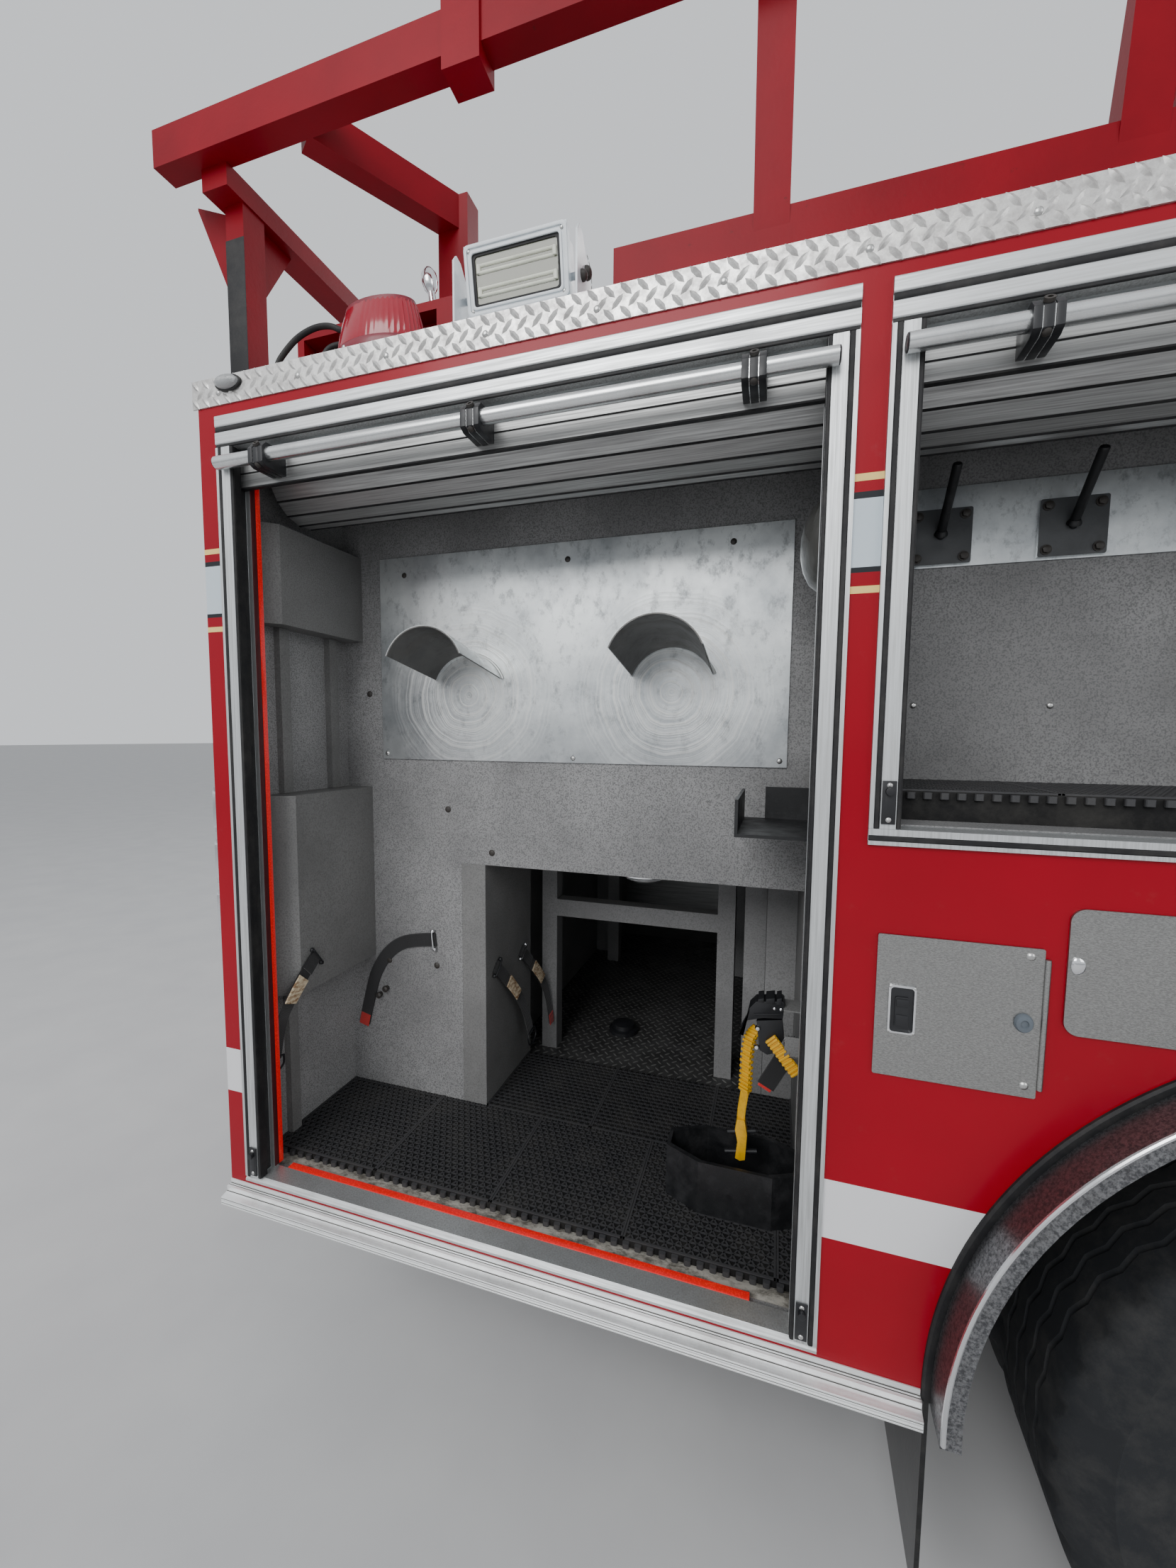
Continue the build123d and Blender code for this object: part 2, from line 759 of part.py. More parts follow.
def shelf_bracket():
    """An angle of black plate on the right wall of the compartment."""
    x1 = rear_door_end + 9.7
    y0 = -body_half_width + 100
    y1 = -inner_wall_y - 60
    plate = block(x1 - 180, x1, y0, y1, 1514, 1520)
    lip = block(x1 - 180, x1 - 174, y0, y1, 1514, 1584)
    upstand = block(x1 - 130, x1, y1 - 6, y1, 1514, 1590)
    return [fuse([plate, lip, upstand])]


def floor_tray():
    """Eight-sided black tray that stands on the tiles, open at its top."""
    x0, x1 = rear_door_end - 309, rear_door_end - 4
    y0, y1 = -body_half_width + 215, -body_half_width + 345
    cut_x, cut_y = 75, 35

    def plan(inset, z):
        a0, a1, b0, b1 = x0 + inset, x1 - inset, y0 + inset, y1 - inset
        return Polyline((a0, b0 + cut_y, z), (a0 + cut_x, b0, z), (a1 - cut_x, b0, z), (a1, b0 + cut_y, z),
                        (a1, b1 - cut_y, z), (a1 - cut_x, b1, z), (a0 + cut_x, b1, z), (a0, b1 - cut_y, z),
                        close=True)
    z = low_floor + floor_tile + seat_gap
    outer = extrude(make_face(plan(0, z)), amount=120, dir=(0, 0, 1))
    inner = extrude(make_face(plan(8, z + 8)), amount=130, dir=(0, 0, 1))
    return [outer - inner]


hook_plates = 7
hook_pitch = 228


def hook_strip():
    """The strip with hook plates on the back wall over the wheel."""
    y = -inner_wall_y - 0.3
    parts = [block(wheel_door_start + 15, wheel_door_end - 15, y - 4, y, 2055, 2215)]
    for number in range(hook_plates):
        x = rear_axle_x + (number - (hook_plates - 1) / 2) * hook_pitch
        parts.append(block(x - 56, x + 56, y - 10, y - 3, 2060, 2170))
        parts.append(rod((x, y - 5.5, 2115), (x, y - 110, 2215), 8))
    return [fuse(parts)]


# Ladder rack, the right half. Columns: start x, end x, inner y, outer y, bottom z, top z
beam_inner = beam_outer - beam_depth
beam_top = beam_bottom + beam_height
post_y = body_half_width - 86
base_outer = body_half_width - 110
base_inner = base_outer - 50
roof_seat = body_top + trim_sheet + seat_gap
base_top = body_top + 150
rack_front = body_front - 200
rack_members = [
    (body_rear - 110, rack_front, beam_inner, beam_outer, beam_bottom, beam_top),
    (body_rear - 14, body_rear + 56, 0, beam_outer - 34, beam_bottom - 46, beam_bottom),
    (body_rear + 2, body_rear + 52, post_y - 58, post_y, roof_seat, beam_bottom - 46),
    (rack_front - 70, rack_front, 0, beam_outer, beam_bottom - 46, beam_bottom),
    (body_rear + 390, body_rear + 470, body_half_width - 394, body_half_width - 340, roof_seat, beam_top),
    (body_rear + 900, rack_front, base_inner, base_outer, roof_seat, base_top),
]
# Leaning arms. Columns: start x, whether a brace rises forwards from its foot
rack_arms = [(body_rear + 1150, False), (body_rear + 1665, True), (body_rear + 3075, False),
             (body_rear + 3500, True)]
arm_width = 60
# Brackets on the beam, by their start x
rack_brackets = (body_rear + 605, body_rear + 2000, body_rear + 3200)


def low_frame():
    """A low box of folded plate on the roof near the rear, open in two windows."""
    x0, x1 = body_rear + 155, body_rear + 555
    inner, outer = base_inner - 10, base_outer - 15
    box = block(x0, x1, -outer, -inner, roof_seat, base_top)
    for a, b in ((x0 + 18, x0 + 175), (x0 + 195, x1 - 40)):
        box = box - block(a, b, -outer - 1, -inner - 8, roof_seat + 18, base_top - 18)
    return box


def ladder_rack():
    """A rack of welded square tube over the whole body, on posts and leaning arms."""
    half = []
    for x0, x1, y0, y1, z0, z1 in rack_members:
        half.append(block(x0, x1, -y1, -y0, z0, z1))
    zb = beam_bottom - 46
    low = zb - 182
    rear_gusset = [(body_rear + 2, low), (body_rear + 2, zb), (body_rear - 108, zb + 46),
                   (body_rear - 108, zb + 40), (body_rear - 10, low - 5)]
    half.append(prism_y(rear_gusset, -post_y + 26, -post_y + 32))
    inner_gusset = [(-post_y + 58, low), (-post_y + 58, zb), (-post_y + 160, zb)]
    half.append(prism_x(inner_gusset, body_rear + 24, body_rear + 30))
    stay_end = (body_rear + 430, -body_half_width + 360, beam_bottom + 38)
    half.append(bar((body_rear + 244, -beam_inner + 6, beam_bottom + 38), stay_end, 50, 76))
    middle = -(base_inner + base_outer) / 2
    for x, braced in rack_arms:
        arm = [(-base_outer, base_top - 30), (-base_inner, base_top - 30), (-beam_inner + 4, beam_top),
               (-beam_inner - 1, beam_top)]
        half.append(prism_x(arm, x, x + arm_width))
        if braced:
            foot = (x + arm_width - 10, middle, base_top + 5)
            half.append(bar(foot, (x + arm_width + 180, -beam_inner - 16, beam_bottom + 10), 32, 32))
    for x in rack_brackets:
        bracket = block(x, x + 76, -beam_outer - 6, -beam_inner + 4, beam_bottom - 30, beam_top + 40)
        half.append(bracket - disc_y(x + 38, -beam_outer - 7, -beam_inner + 5, beam_top + 20, 11))
    sides = half + mirrored(half)
    return [fuse(sides)] + both_sides([low_frame()])


def flood_light():
    """The flood lamp on the roof's edge: a tilted box head on a pin between its yoke's two ears."""
    x0, x1 = body_rear + 622, body_rear + 865
    y0 = -body_half_width + 7
    z = roof_seat
    ear = [(y0, z), (y0, z + 114), (y0 + 9, z + 127), (y0 + 25, z + 124), (y0 + 98, z + 44), (y0 + 98, z)]
    sheet = 3.5
    yoke = [prism_x(ear, x, x + sheet) for x in (x0, x1 - sheet)]
    yoke.append(block(x0, x1, y0, y0 + 98, z, z + sheet))
    bezel = Box(200, 12, 113) - Pos(0, -4, 0) * Box(172, 6, 86)
    head = bezel + Pos(0, 28, 0) * Box(184, 46, 96)
    for number in range(6):
        head += Pos(-75 + 30 * number, 54, 0) * Box(4, 14, 84)
    head = Pos((x0 + x1) / 2, y0 + 19, z + 79) * Rot(10, 0, 0) * head
    pin = rod((x0, y0 + 50, z + 74), (x1, y0 + 50, z + 74), 6)
    return [fuse(yoke + [head, pin])]


beacon_x = body_rear + 422
beacon_y = -body_half_width + 66
gland_height = 32

# The beacon's two cables, from its outlets to their glands, as (x, y, z) from the foot of its middle
cable_routes = [
    [(-90, 9, 90), (-104, 9, 90), (-130, 9, 107), (-172, 9, 112), (-217, 6, 98), (-250, 4, 73), (-271, 1, 48),
     (-271, 1, gland_height)],
    [(-90, 21, 72), (-104, 21, 72), (-132, 9, 66), (-148, 4, 48), (-148, 4, gland_height)],
]


def beacon():
    """An oval beacon on the roof, a dome on a low base, with the glands of its two cables."""
    x, y, z = beacon_x, beacon_y, roof_seat
    base = extrude(Pos(x, y, z) * Ellipse(104, 56), amount=22)
    dome = loft([Pos(x, y, z + 21) * Ellipse(98, 52).face(), Pos(x, y, z + 107) * Ellipse(80, 38).face()])
    body = base + dome
    glands = []
    for route in cable_routes:
        a, b, c = route[0]
        body += rod((x + a + 45, y + b, z + c), (x + a + seat_gap, y + b, z + c), cable_radius + 3)
        a, b, c = route[-1]
        glands.append(rod((x + a, y + b, z), (x + a, y + b, z + c - seat_gap), 2 * cable_radius))
    return [body] + glands


def cables():
    """The two cables that loop from the beacon's side down to their glands."""
    parts = []
    for route in cable_routes:
        points = [(beacon_x + a, beacon_y + b, roof_seat + c) for a, b, c in route]
        runs = [rod(a, b, cable_radius) for a, b in zip(points, points[1:])]
        bends = [Pos(*point) * Sphere(cable_radius) for point in points[1:-1]]
        parts.append(fuse(runs + bends))
    return parts


# Webbing straps: the way its flat side faces, then its route
back_y = -inner_wall_y - seat_gap - strap_thickness / 2
jamb_x = tunnel_x0 + seat_gap + jamb_width + seat_gap + strap_thickness / 2
cover_x = rear_door_start - 24 + seat_gap + cover_depth + seat_gap + strap_thickness / 2
strap_routes = [
    ((1, 0, 0), [(cover_x, -1045, 1135), (-4434, -1092, 1104), (-4446, -1136, 1040), (-4470, -1144, 975),
                 (-4482, -1146, 895)]),
    ((0, 1, 0), [(-4236, back_y, 1118), (-4328, back_y, 1110), (-4397, back_y, 1066), (-4441, back_y, 1000),
                 (-4462, back_y, 930), (-4486, back_y, 835)]),
    ((1, 0, 0), [(jamb_x, -757, 1040), (jamb_x + 12, -705, 985), (jamb_x + 28, -660, 920),
                 (jamb_x + 42, -625, 850), (jamb_x + 46, -605, 775)]),
    ((1, 0, 0), [(jamb_x, -580, 1025), (jamb_x + 16, -528, 965), (jamb_x + 36, -486, 900),
                 (jamb_x + 50, -465, 830), (jamb_x + 56, -458, 745)]),
]


def straps():
    """The webbing straps that hang from wire bails by the tunnel's mouth."""
    parts = []
    for side, points in strap_routes:
        half = Vector(*side) * (strap_thickness / 2)
        pieces = [bar(a, b, strap_width, strap_thickness, side) for a, b in zip(points, points[1:])]
        for point in points[1:-1]:
            middle = Vector(*point)
            pieces.append(rod(tuple(middle - half), tuple(middle + half), strap_width / 2))
        parts.append(fuse(pieces))
    return parts


# Pump module
def pump_module():
    x0, x1 = pump_rear, pump_front
    w = pump_half_width
    t = pump_panel
    house = block(x0, x1, -w, w, pump_bottom, pump_top)
    house = house - block(x0 + t, x1 - t, -w + t, w - t, pump_bottom - 1, crosslay_floor - t)
    rails = block(x0 - 1, x1 + 1, -rail_y - 30, rail_y + 30, pump_bottom - 1, rail_top + seat_gap)
    house = house - rails
    for number in range(3):
        a = x0 + 60 + number * (crosslay_width + 40)
        house = house - block(a, a + crosslay_width, -w - 1, w + 1, crosslay_floor, pump_top + 1)
    return [house]


# Panel fittings of one side. Columns: x from the module's rear, z, outer radius, reach
intakes = [(575, 950, 100, 150), (250, 1050, 48, 110), (900, 1050, 48, 110), (250, 1400, 48, 110),
           (900, 1400, 48, 110)]
gauges = [(440, 1720, 76, 22), (710, 1720, 76, 22), (180, 1620, 38, 16), (970, 1620, 38, 16),
          (180, 1800, 38, 16), (970, 1800, 38, 16), (575, 1500, 30, 16)]


def pump_fittings():
    parts = []
    y = -pump_half_width - 0.3
    for x, z, radius, reach in intakes:
        body = disc_y(pump_rear + x, y, y - reach, z, radius * 0.72)
        body += disc_y(pump_rear + x, y, y - 14, z, radius)
        body += disc_y(pump_rear + x, y - reach + 50, y - reach, z, radius * 0.9)
        parts.append(body)
    return both_sides(parts)


def pump_gauges():
    parts = []
    y = -pump_half_width - 0.3
    for x, z, radius, reach in gauges:
        parts.append(disc_y(pump_rear + x, y, y - reach, z, radius))
    return both_sides(parts)


def running_boards():
    y = body_half_width
    deck = block(pump_rear, pump_front, -y, -rail_y - 150, step_height, step_height + 60)
    bracket = block(pump_rear + 100, pump_rear + 160, -rail_y - 160, -rail_y, step_height, rail_top - 150)
    bracket2 = block(pump_front - 160, pump_front - 100, -rail_y - 160, -rail_y, step_height, rail_top - 150)
    return both_sides([fuse([deck, bracket, bracket2])])


def pump_casing():
    """The pump's casing between the rails, with its suction pipe across the truck."""
    x = pump_rear + 575
    casing = block(x - 220, x + 220, -300, 300, 1010, 1400)
    pipe = disc_y(x, -pump_half_width + pump_panel + 0.3, pump_half_width - pump_panel - 0.3, 1200, 80)
    box = block(x - 120, x + 120, -150, 150, 640, 1015)
    feet = [block(x - 40, x + 40, 100, rail_y - rail_thickness - seat_gap, 790, 850)]
    return [fuse([casing, pipe, box] + both_sides(feet))]


# Cab
def cab_outline(inset):
    """Side view of the cab as (x, z) points, drawn in by the inset."""
    rear = cab_rear + inset
    front = cab_front - inset
    roof = cab_roof - inset
    top = front - windscreen_rake
    low = cab_bottom - (1 if inset else 0)
    return [(rear, low), (rear, roof - 60), (rear + 60, roof), (top - 330, roof), (top - 70, roof - 60),
            (top, roof - 150), (front, windscreen_base), (front, low)]


pane_inner = 30
pane_side = 140
pane_sill = 1850

# The panes over the front wheels (start x, end x, bottom z, top z)
# and the one in the rear wall (half width, bottom z, top z)
side_pane = (front_axle_x - 230, front_axle_x + 230, pane_sill, 2480)
rear_pane = (500, 1900, 2300)


def cab_shell():
    outer = prism_y(cab_outline(0), -cab_half_width, cab_half_width)
    inner = prism_y(cab_outline(cab_wall), -cab_half_width + cab_wall, cab_half_width - cab_wall)
    shell = outer - inner
    for x0, x1 in door_x.values():
        hole = block(x0, x1, -cab_half_width - 1, cab_half_width + 1, door_bottom, door_bottom + door_height)
        shell = shell - hole
    arch = disc_y(front_axle_x, -cab_half_width - 1, cab_half_width + 1, front_arch_z, front_arch_radius)
    shell = shell - arch
    reach = cab_half_width + 1
    x0, x1, z0, z1 = side_pane
    shell = shell - block(x0, x1, -reach, reach, z0, z1)
    for y0, y1 in ((pane_inner, cab_half_width - pane_side), (pane_side - cab_half_width, -pane_inner)):
        shell = shell - block(cab_front - 400, cab_front + 1, y0, y1, windscreen_base + 80, cab_roof - 210)
    x0, x1 = cab_rear - 1, cab_rear + cab_wall + 1
    half, z0, z1 = rear_pane
    shell = shell - block(x0, x1, -half, half, z0, z1)
    shell = shell - block(x0, x1, -rail_y - 170, rail_y + 170, cab_bottom - 2, cab_floor_z - 40)
    x0, x1 = cab_front - cab_wall - 1, cab_front + 1
    shell = shell - block(x0, x1, -rail_y - 50, rail_y + 50, cab_bottom - 2, cab_bottom + 210)
    return [shell]


door_x = {
    "front": (cab_front - front_door_start - front_door_width, cab_front - front_door_start),
    "crew": (cab_rear + crew_door_end, cab_rear + crew_door_end + crew_door_width),
}


def cab_door(place):
    """The right-hand door at one of the two places, its window cut."""
    x0, x1 = door_x[place]
    z0, z1 = door_bottom, door_bottom + door_height
    y0 = -cab_half_width
    leaf = block(x0 + door_gap, x1 - door_gap, y0, y0 + cab_wall, z0 + door_gap, z1 - door_gap)
    leaf = fillet(leaf.edges().filter_by(Axis.Y), 40)
    window = block(x0 + 90, x1 - 90, y0 - 1, y0 + cab_wall + 1, pane_sill, z1 - 80)
    return leaf - fillet(window.edges().filter_by(Axis.Y), 40)


def door_glass(place):
    x0, x1 = door_x[place]
    z1 = door_bottom + door_height
    y0 = -cab_half_width
    pane = block(x0 + 90.3, x1 - 90.3, y0 + 18, y0 + 18 + glass, pane_sill + seat_gap, z1 - 80.3)
    return fillet(pane.edges().filter_by(Axis.Y), 39.7)


liner_sheet = 10
liner_inner_y = 700
engine_bay = (front_axle_x + 60, front_axle_x + 1355)
engine_bay_half = 420
cover_sheet = 30
cover_top = 1640
engine_rear = front_axle_x + 160
engine_front = front_axle_x + 1310


def cab_floor():
    """Floor plates over the wheels and the cover over the engine."""
    y = cab_half_width - cab_wall - 0.3
    x0, x1 = cab_rear + cab_wall + 0.3, cab_front - cab_wall - 0.3
    floor = block(x0, x1, -y, y, cab_floor_z - 30, cab_floor_z)
    bay0, bay1 = engine_bay
    y1 = engine_bay_half
    t = cover_sheet
    floor = floor - block(bay0, bay1, -y1, y1, cab_floor_z - 40, cab_floor_z + 10)
    cover = block(bay0 - t, bay1 + t, -y1 - t, y1 + t, cab_floor_z - 5, cover_top)
    cover = cover - block(bay0, bay1, -y1, y1, cab_floor_z - 10, cover_top - t)
    floor = floor + cover
    ridges = floor.edges().filter_by(Axis.X).filter_by_position(Axis.Z, cover_top - 10, cover_top + 10)
    floor = fillet(ridges, 25)
    radius = front_arch_radius + 2
    for side in (-1, 1):
        ends = (side * (liner_inner_y + liner_sheet), side * y)
        housing = disc_y(front_axle_x, side * liner_inner_y, side * y, front_arch_z, radius + liner_sheet)
        hollow = disc_y(front_axle_x, ends[0], side * (y + 1), front_arch_z, radius)
        x0, x1 = front_axle_x - 900, front_axle_x + 900
        outer = sorted((0, side * 1300))
        below = block(x0, x1, outer[0], outer[1], front_arch_z - 900, front_arch_z)
        edge = sorted((side * (liner_inner_y - 1), side * (liner_inner_y + liner_sheet)))
        inside = block(x0, x1, edge[0], edge[1], front_arch_z - 1, cab_floor_z - 30)
        floor = floor + (housing - below - inside) - hollow
    return [floor]


def engine_block():
    y1 = rail_y - rail_thickness - seat_gap
    feet = [block(x, x + 90, 300, y1, 800, 880) for x in (engine_rear + 150, engine_front - 200)]
    return [fuse([block(engine_rear, engine_front, -320, 320, 640, cover_top - 80)] + both_sides(feet))]


def driveline():
    """Gearbox behind the engine and the shaft back to the rear axle."""
    box = block(engine_rear - 600, engine_rear - seat_gap, -180, 180, 620, 840)
    front = rod((engine_rear - 599, 0, 700), (pump_rear + 695.3, 0, 700), 45)
    rear = rod((pump_rear + 451.2, 0, 690), (rear_axle_x + 335, 0, axle_z), 45)
    return [box + front, rear]


def fuel_tank():
    x0 = body_rear + rail_rear_from_body_rear + 100
    tank = block(x0, x0 + 330, -341.5, 341.5, 420, rail_top - rail_height - seat_gap)
    return [fillet(tank.edges().filter_by(Axis.Y), 50)]


def dashboard():
    x = cab_front - cab_wall - 0.6
    outline = [(x - 260, 1350), (x - 10, 1250), (x - 10, 1690), (x - 120, 1720), (x - 300, 1560),
               (x - 320, 1400)]
    half = cab_half_width - cab_wall - seat_gap
    panel = prism_y(outline, -half, half)
    column = rod((x - 240, driver_y, 1570), (x - 416, driver_y, 1852), 32)
    return [panel + column]


def steering_wheel():
    x = cab_front - cab_wall - 0.6
    centre = Vector(x - 420, driver_y, 1860)
    plane = Plane(origin=centre, z_dir=(-0.5, 0, 0.87))
    rim = plane * Torus(215, 15)
    spokes = [plane * Rot(0, 0, angle) * Pos(105, 0, 0) * Box(220, 28, 12) for angle in (0, 120, 240)]
    hub = plane * Cylinder(45, 22)
    return [fuse([rim, hub] + spokes)]


# Seats. Columns: name, x of the back's rear face, y of the middle
front_seat_x = cab_front - 1000
crew_seat_x = cab_rear + 70
seat_places = [
    ("driver", front_seat_x, driver_y),
    ("officer", front_seat_x, -driver_y),
    ("crew_left", crew_seat_x, crew_y),
    ("crew_inner_left", crew_seat_x, 260),
    ("crew_inner_right", crew_seat_x, -260),
    ("crew_right", crew_seat_x, -crew_y),
]


def seats():
    parts = []
    for name, x, y in seat_places:
        base = block(x + 60, x + 520, y - 230, y + 230, 1500, 1600)
        back = block(x, x + 110, y - 230, y + 230, 1560, 2240)
        parts.append(base + back)
    return parts


def seat_pedestals():
    parts = []
    for name, x, y in seat_places:
        parts.append(block(x + 100, x + 460, y - 170, y + 170, cab_floor_z + 0.3, 1499.7))
    return parts


def cab_glass():
    """Both halves of the windscreen, the panes over the front wheels and the rear pane."""
    z0 = windscreen_base + 80.3
    z1 = cab_roof - 210.3
    slope = windscreen_rake / (cab_roof - 150 - windscreen_base)

    def face_x(z):
        return cab_front - 18 - (z - windscreen_base) * slope
    pane = [(face_x(z0), z0), (face_x(z1), z1), (face_x(z1) - glass, z1), (face_x(z0) - glass, z0)]
    parts = both_sides([prism_y(pane, pane_side - cab_half_width + seat_gap, -pane_inner - seat_gap)])
    x0, x1, z0, z1 = side_pane
    y0 = -cab_half_width + 18
    side = block(x0 + seat_gap, x1 - seat_gap, y0, y0 + glass, z0 + seat_gap, z1 - seat_gap)
    parts += both_sides([side])
    half, z0, z1 = rear_pane
    half = half - seat_gap
    parts.append(block(cab_rear + 18, cab_rear + 18 + glass, -half, half, z0 + seat_gap, z1 - seat_gap))
    return parts


grille_frame = 40
grille_bottom = 900
grille_top = 1560
lamp_outer = 70
lamp_inner = 640
lamp_bottom = 960
lamp_top = 1180


def grille():
    """A frame of bright slats on the cab's face, between the headlamps."""
    x = cab_front + seat_gap
    half = cab_half_width - lamp_inner - 80
    inner = half - grille_frame
    low, high = grille_bottom + grille_frame, grille_top - grille_frame
    frame = block(x, x + 30, -half, half, grille_bottom, grille_top)
    frame = frame - block(x - 1, x + 31, -inner, inner, low, high)
    bars = [block(x, x + 22, -inner - 5, inner + 5, z, z + 22) for z in range(low + 45, high - 20, 65)]
    return [fuse([frame] + bars)]


def headlamps():
    """Bezels with two round lamps each, either side of the grille."""
    x = cab_front + seat_gap
    side = -cab_half_width
    parts = [block(x, x + 40, side + lamp_outer, side + lamp_inner, lamp_bottom, lamp_top)]
    z = (lamp_bottom + lamp_top) / 2
    for inboard in (lamp_outer + 150, lamp_inner - 150):
        y = side + inboard
        parts.append(rod((x + 38, y, z), (x + 58, y, z), 85))
    return both_sides([fuse(parts)])


def front_bumper():
    half = cab_half_width + 20
    x0 = cab_front + seat_gap
    x1 = cab_front + bumper_depth

    def plan(inset, z):
        return Polyline((x0, -half + inset, z), (x0 + 200, -half + inset, z), (x1 - inset, -half + 260, z),
                        (x1 - inset, half - 260, z), (x0 + 200, half - inset, z), (x0, half - inset, z),
                        close=True)
    outer = extrude(make_face(plan(0, 520)), amount=300, dir=(0, 0, 1))
    inner = extrude(make_face(plan(12, 519)), amount=289, dir=(0, 0, 1))
    shell = outer - inner - block(x0 - 1, x0 + 12, -half + 12, half - 12, 519, 810)
    arms = [block(cab_front - 260, x0 + 300, rail_y + seat_gap, rail_y + 15, 590, 809)]
    return [fuse([shell] + both_sides(arms))]


tow_eye_z = 470
tow_bore = 32


def tow_eyes():
    """Front and rear towing eyes under the rails, each a plate with a round bore."""
    parts = []
    high = rail_top - rail_height - seat_gap
    low = tow_eye_z - 62
    for x in (cab_front - 140, body_rear + 1375):
        plate = prism_y([(x - 68, high), (x - 60, tow_eye_z), (x - 35, low), (x + 35, low),
                         (x + 60, tow_eye_z), (x + 68, high)], rail_y - 85, rail_y - 55)
        parts.append(plate - disc_y(x, rail_y - 86, rail_y - 54, tow_eye_z, tow_bore))
    return both_sides(parts)


mirror_bottom = 1900
mirror_top = 2400


def mirrors():
    x = cab_front - 90
    y = -cab_half_width - seat_gap
    head = block(x + 30, x + 95, y - 290, y - 90, mirror_bottom, mirror_top)
    head = fillet(head.edges().filter_by(Axis.X), 25)
    for z in (mirror_bottom + 50, mirror_top - 50):
        head = head + rod((x, y - 4.9, z), (x + 60, y - 170, z), 14)
    return both_sides([head])


def light_bar():
    x = cab_front - 700
    half = cab_half_width - 300
    bar_piece = block(x - 150, x + 150, -half, half, cab_roof + 20, cab_roof + 170)
    bar_piece = fillet(bar_piece.edges().filter_by(Axis.Y), 40)
    low, high = cab_roof + seat_gap, cab_roof + 40
    feet = [block(x - 60, x + 60, y - 40, y + 40, low, high) for y in (300 - half, half - 300)]
    return [fuse([bar_piece] + feet)]


def rear_lamps():
    """Tail lamp clusters on the rear face, near its outer corners."""
    x = body_rear - 0.3
    parts = []
    for z in (1230, 1350, 1470):
        parts.append(block(x - 14, x, -body_half_width + 8, -body_half_width + 150, z, z + 105))
    return both_sides(parts)


def main():
    os.makedirs("parts", exist_ok=True)
    right_shell = compartment_shell()
    left_shell = mirror(right_shell, about=Plane.XZ)
    for pocket in flap_pockets():
        right_shell = right_shell - pocket
    tyre = revolved(tyre_profile(0), front_axle_x, front_wheel_y, axle_z)
    front_rim = rim_with_holes(front_rim_profile(), front_wheel_y, front_axle_x, 232)
    twins = []
    for side in (-1, 1):
        twins.append(revolved(tyre_profile(side * twin_spacing / 2), rear_axle_x, twin_wheel_y, axle_z))
    rear_rim = rim_with_holes(rear_rim_profile(), twin_wheel_y, rear_axle_x, 232)
    knuckle_left = knuckle()
    nodes = {
        "chassis_frame": chassis_frame() + leaf_springs() + tow_eyes(),
        "front_axle": front_axle(),
        "rear_axle": rear_axle(),
        "engine_and_driveline": engine_block() + driveline(),
        "knuckle_left": [knuckle_left],
        "knuckle_right": mirrored([knuckle_left]),
        "front_tyre_left": [tyre],
        "front_tyre_right": mirrored([tyre]),
        "front_rim_left": [front_rim],
        "front_rim_right": mirrored([front_rim]),
        "rear_tyres_left": twins,
        "rear_tyres_right": mirrored(twins),
        "rear_rims_left": [rear_rim],
        "rear_rims_right": mirrored([rear_rim]),
        "body_shell_right": [right_shell],
        "body_shell_left": [left_shell],
        "door_frames": both_sides(door_frames()) + sill_rails(),
        "curtains": curtains_right() + curtains_left() + rear_curtain(),
        "lift_bars": lift_bars(),
        "wheel_arch_rings": wheel_arch_rings(),
        "mud_flaps": mud_flaps(),
        "edge_trim": edge_trim(),
        "hose_bed": hose_bed(),
        "rear_wall": rear_wall(),
        "step_boards": tailboard() + running_boards(),
        "tanks": water_tank() + fuel_tank(),
        "tunnel_liner": [fuse(tunnel_liner() + jamb_boxes())],
        "tunnel_floor": tunnel_floor(),
        "tunnel_frame": tunnel_frame(),
        "floor_mats": floor_mats(),
        "wall_panels": trough_panel() + hook_strip(),
        "wall_covers": wall_covers(),
        "shelf_and_tray": shelf_bracket() + floor_tray(),
        "fuel_flap": [flap(fuel_flap, 3, 15)],
        "bottle_flap": [flap(bottle_flap, 20, 30)],
        "ladder_rack": ladder_rack(),
        "flood_light": flood_light(),
        "beacons": beacon() + light_bar(),
        "cables": cables(),
        "straps": straps(),
        "pump_module": pump_module(),
        "pump_fittings": pump_fittings() + pump_gauges(),
        "pump_casing": pump_casing(),
        "cab_shell": cab_shell(),
        "cab_floor": [fuse(cab_floor() + seat_pedestals())],
        "cab_glass": cab_glass(),
        "dashboard": [fuse(dashboard() + steering_wheel())],
        "seats": seats(),
        "grille": grille(),
        "lamps": headlamps() + rear_lamps(),
        "front_bumper": front_bumper(),
        "mirrors": mirrors(),
    }
    for place in ("front", "crew"):
        nodes[place + "_door_right"] = [cab_door(place)]
        nodes[place + "_door_left"] = mirrored([cab_door(place)])
        nodes[place + "_glass_right"] = [door_glass(place)]
        nodes[place + "_glass_left"] = mirrored([door_glass(place)])
    for name, solids in nodes.items():
        save(name, solids)


main()
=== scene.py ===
import bpy
import bmesh
from math import asin, cos, pi, radians, sin, sqrt
from mathutils import Matrix, Vector


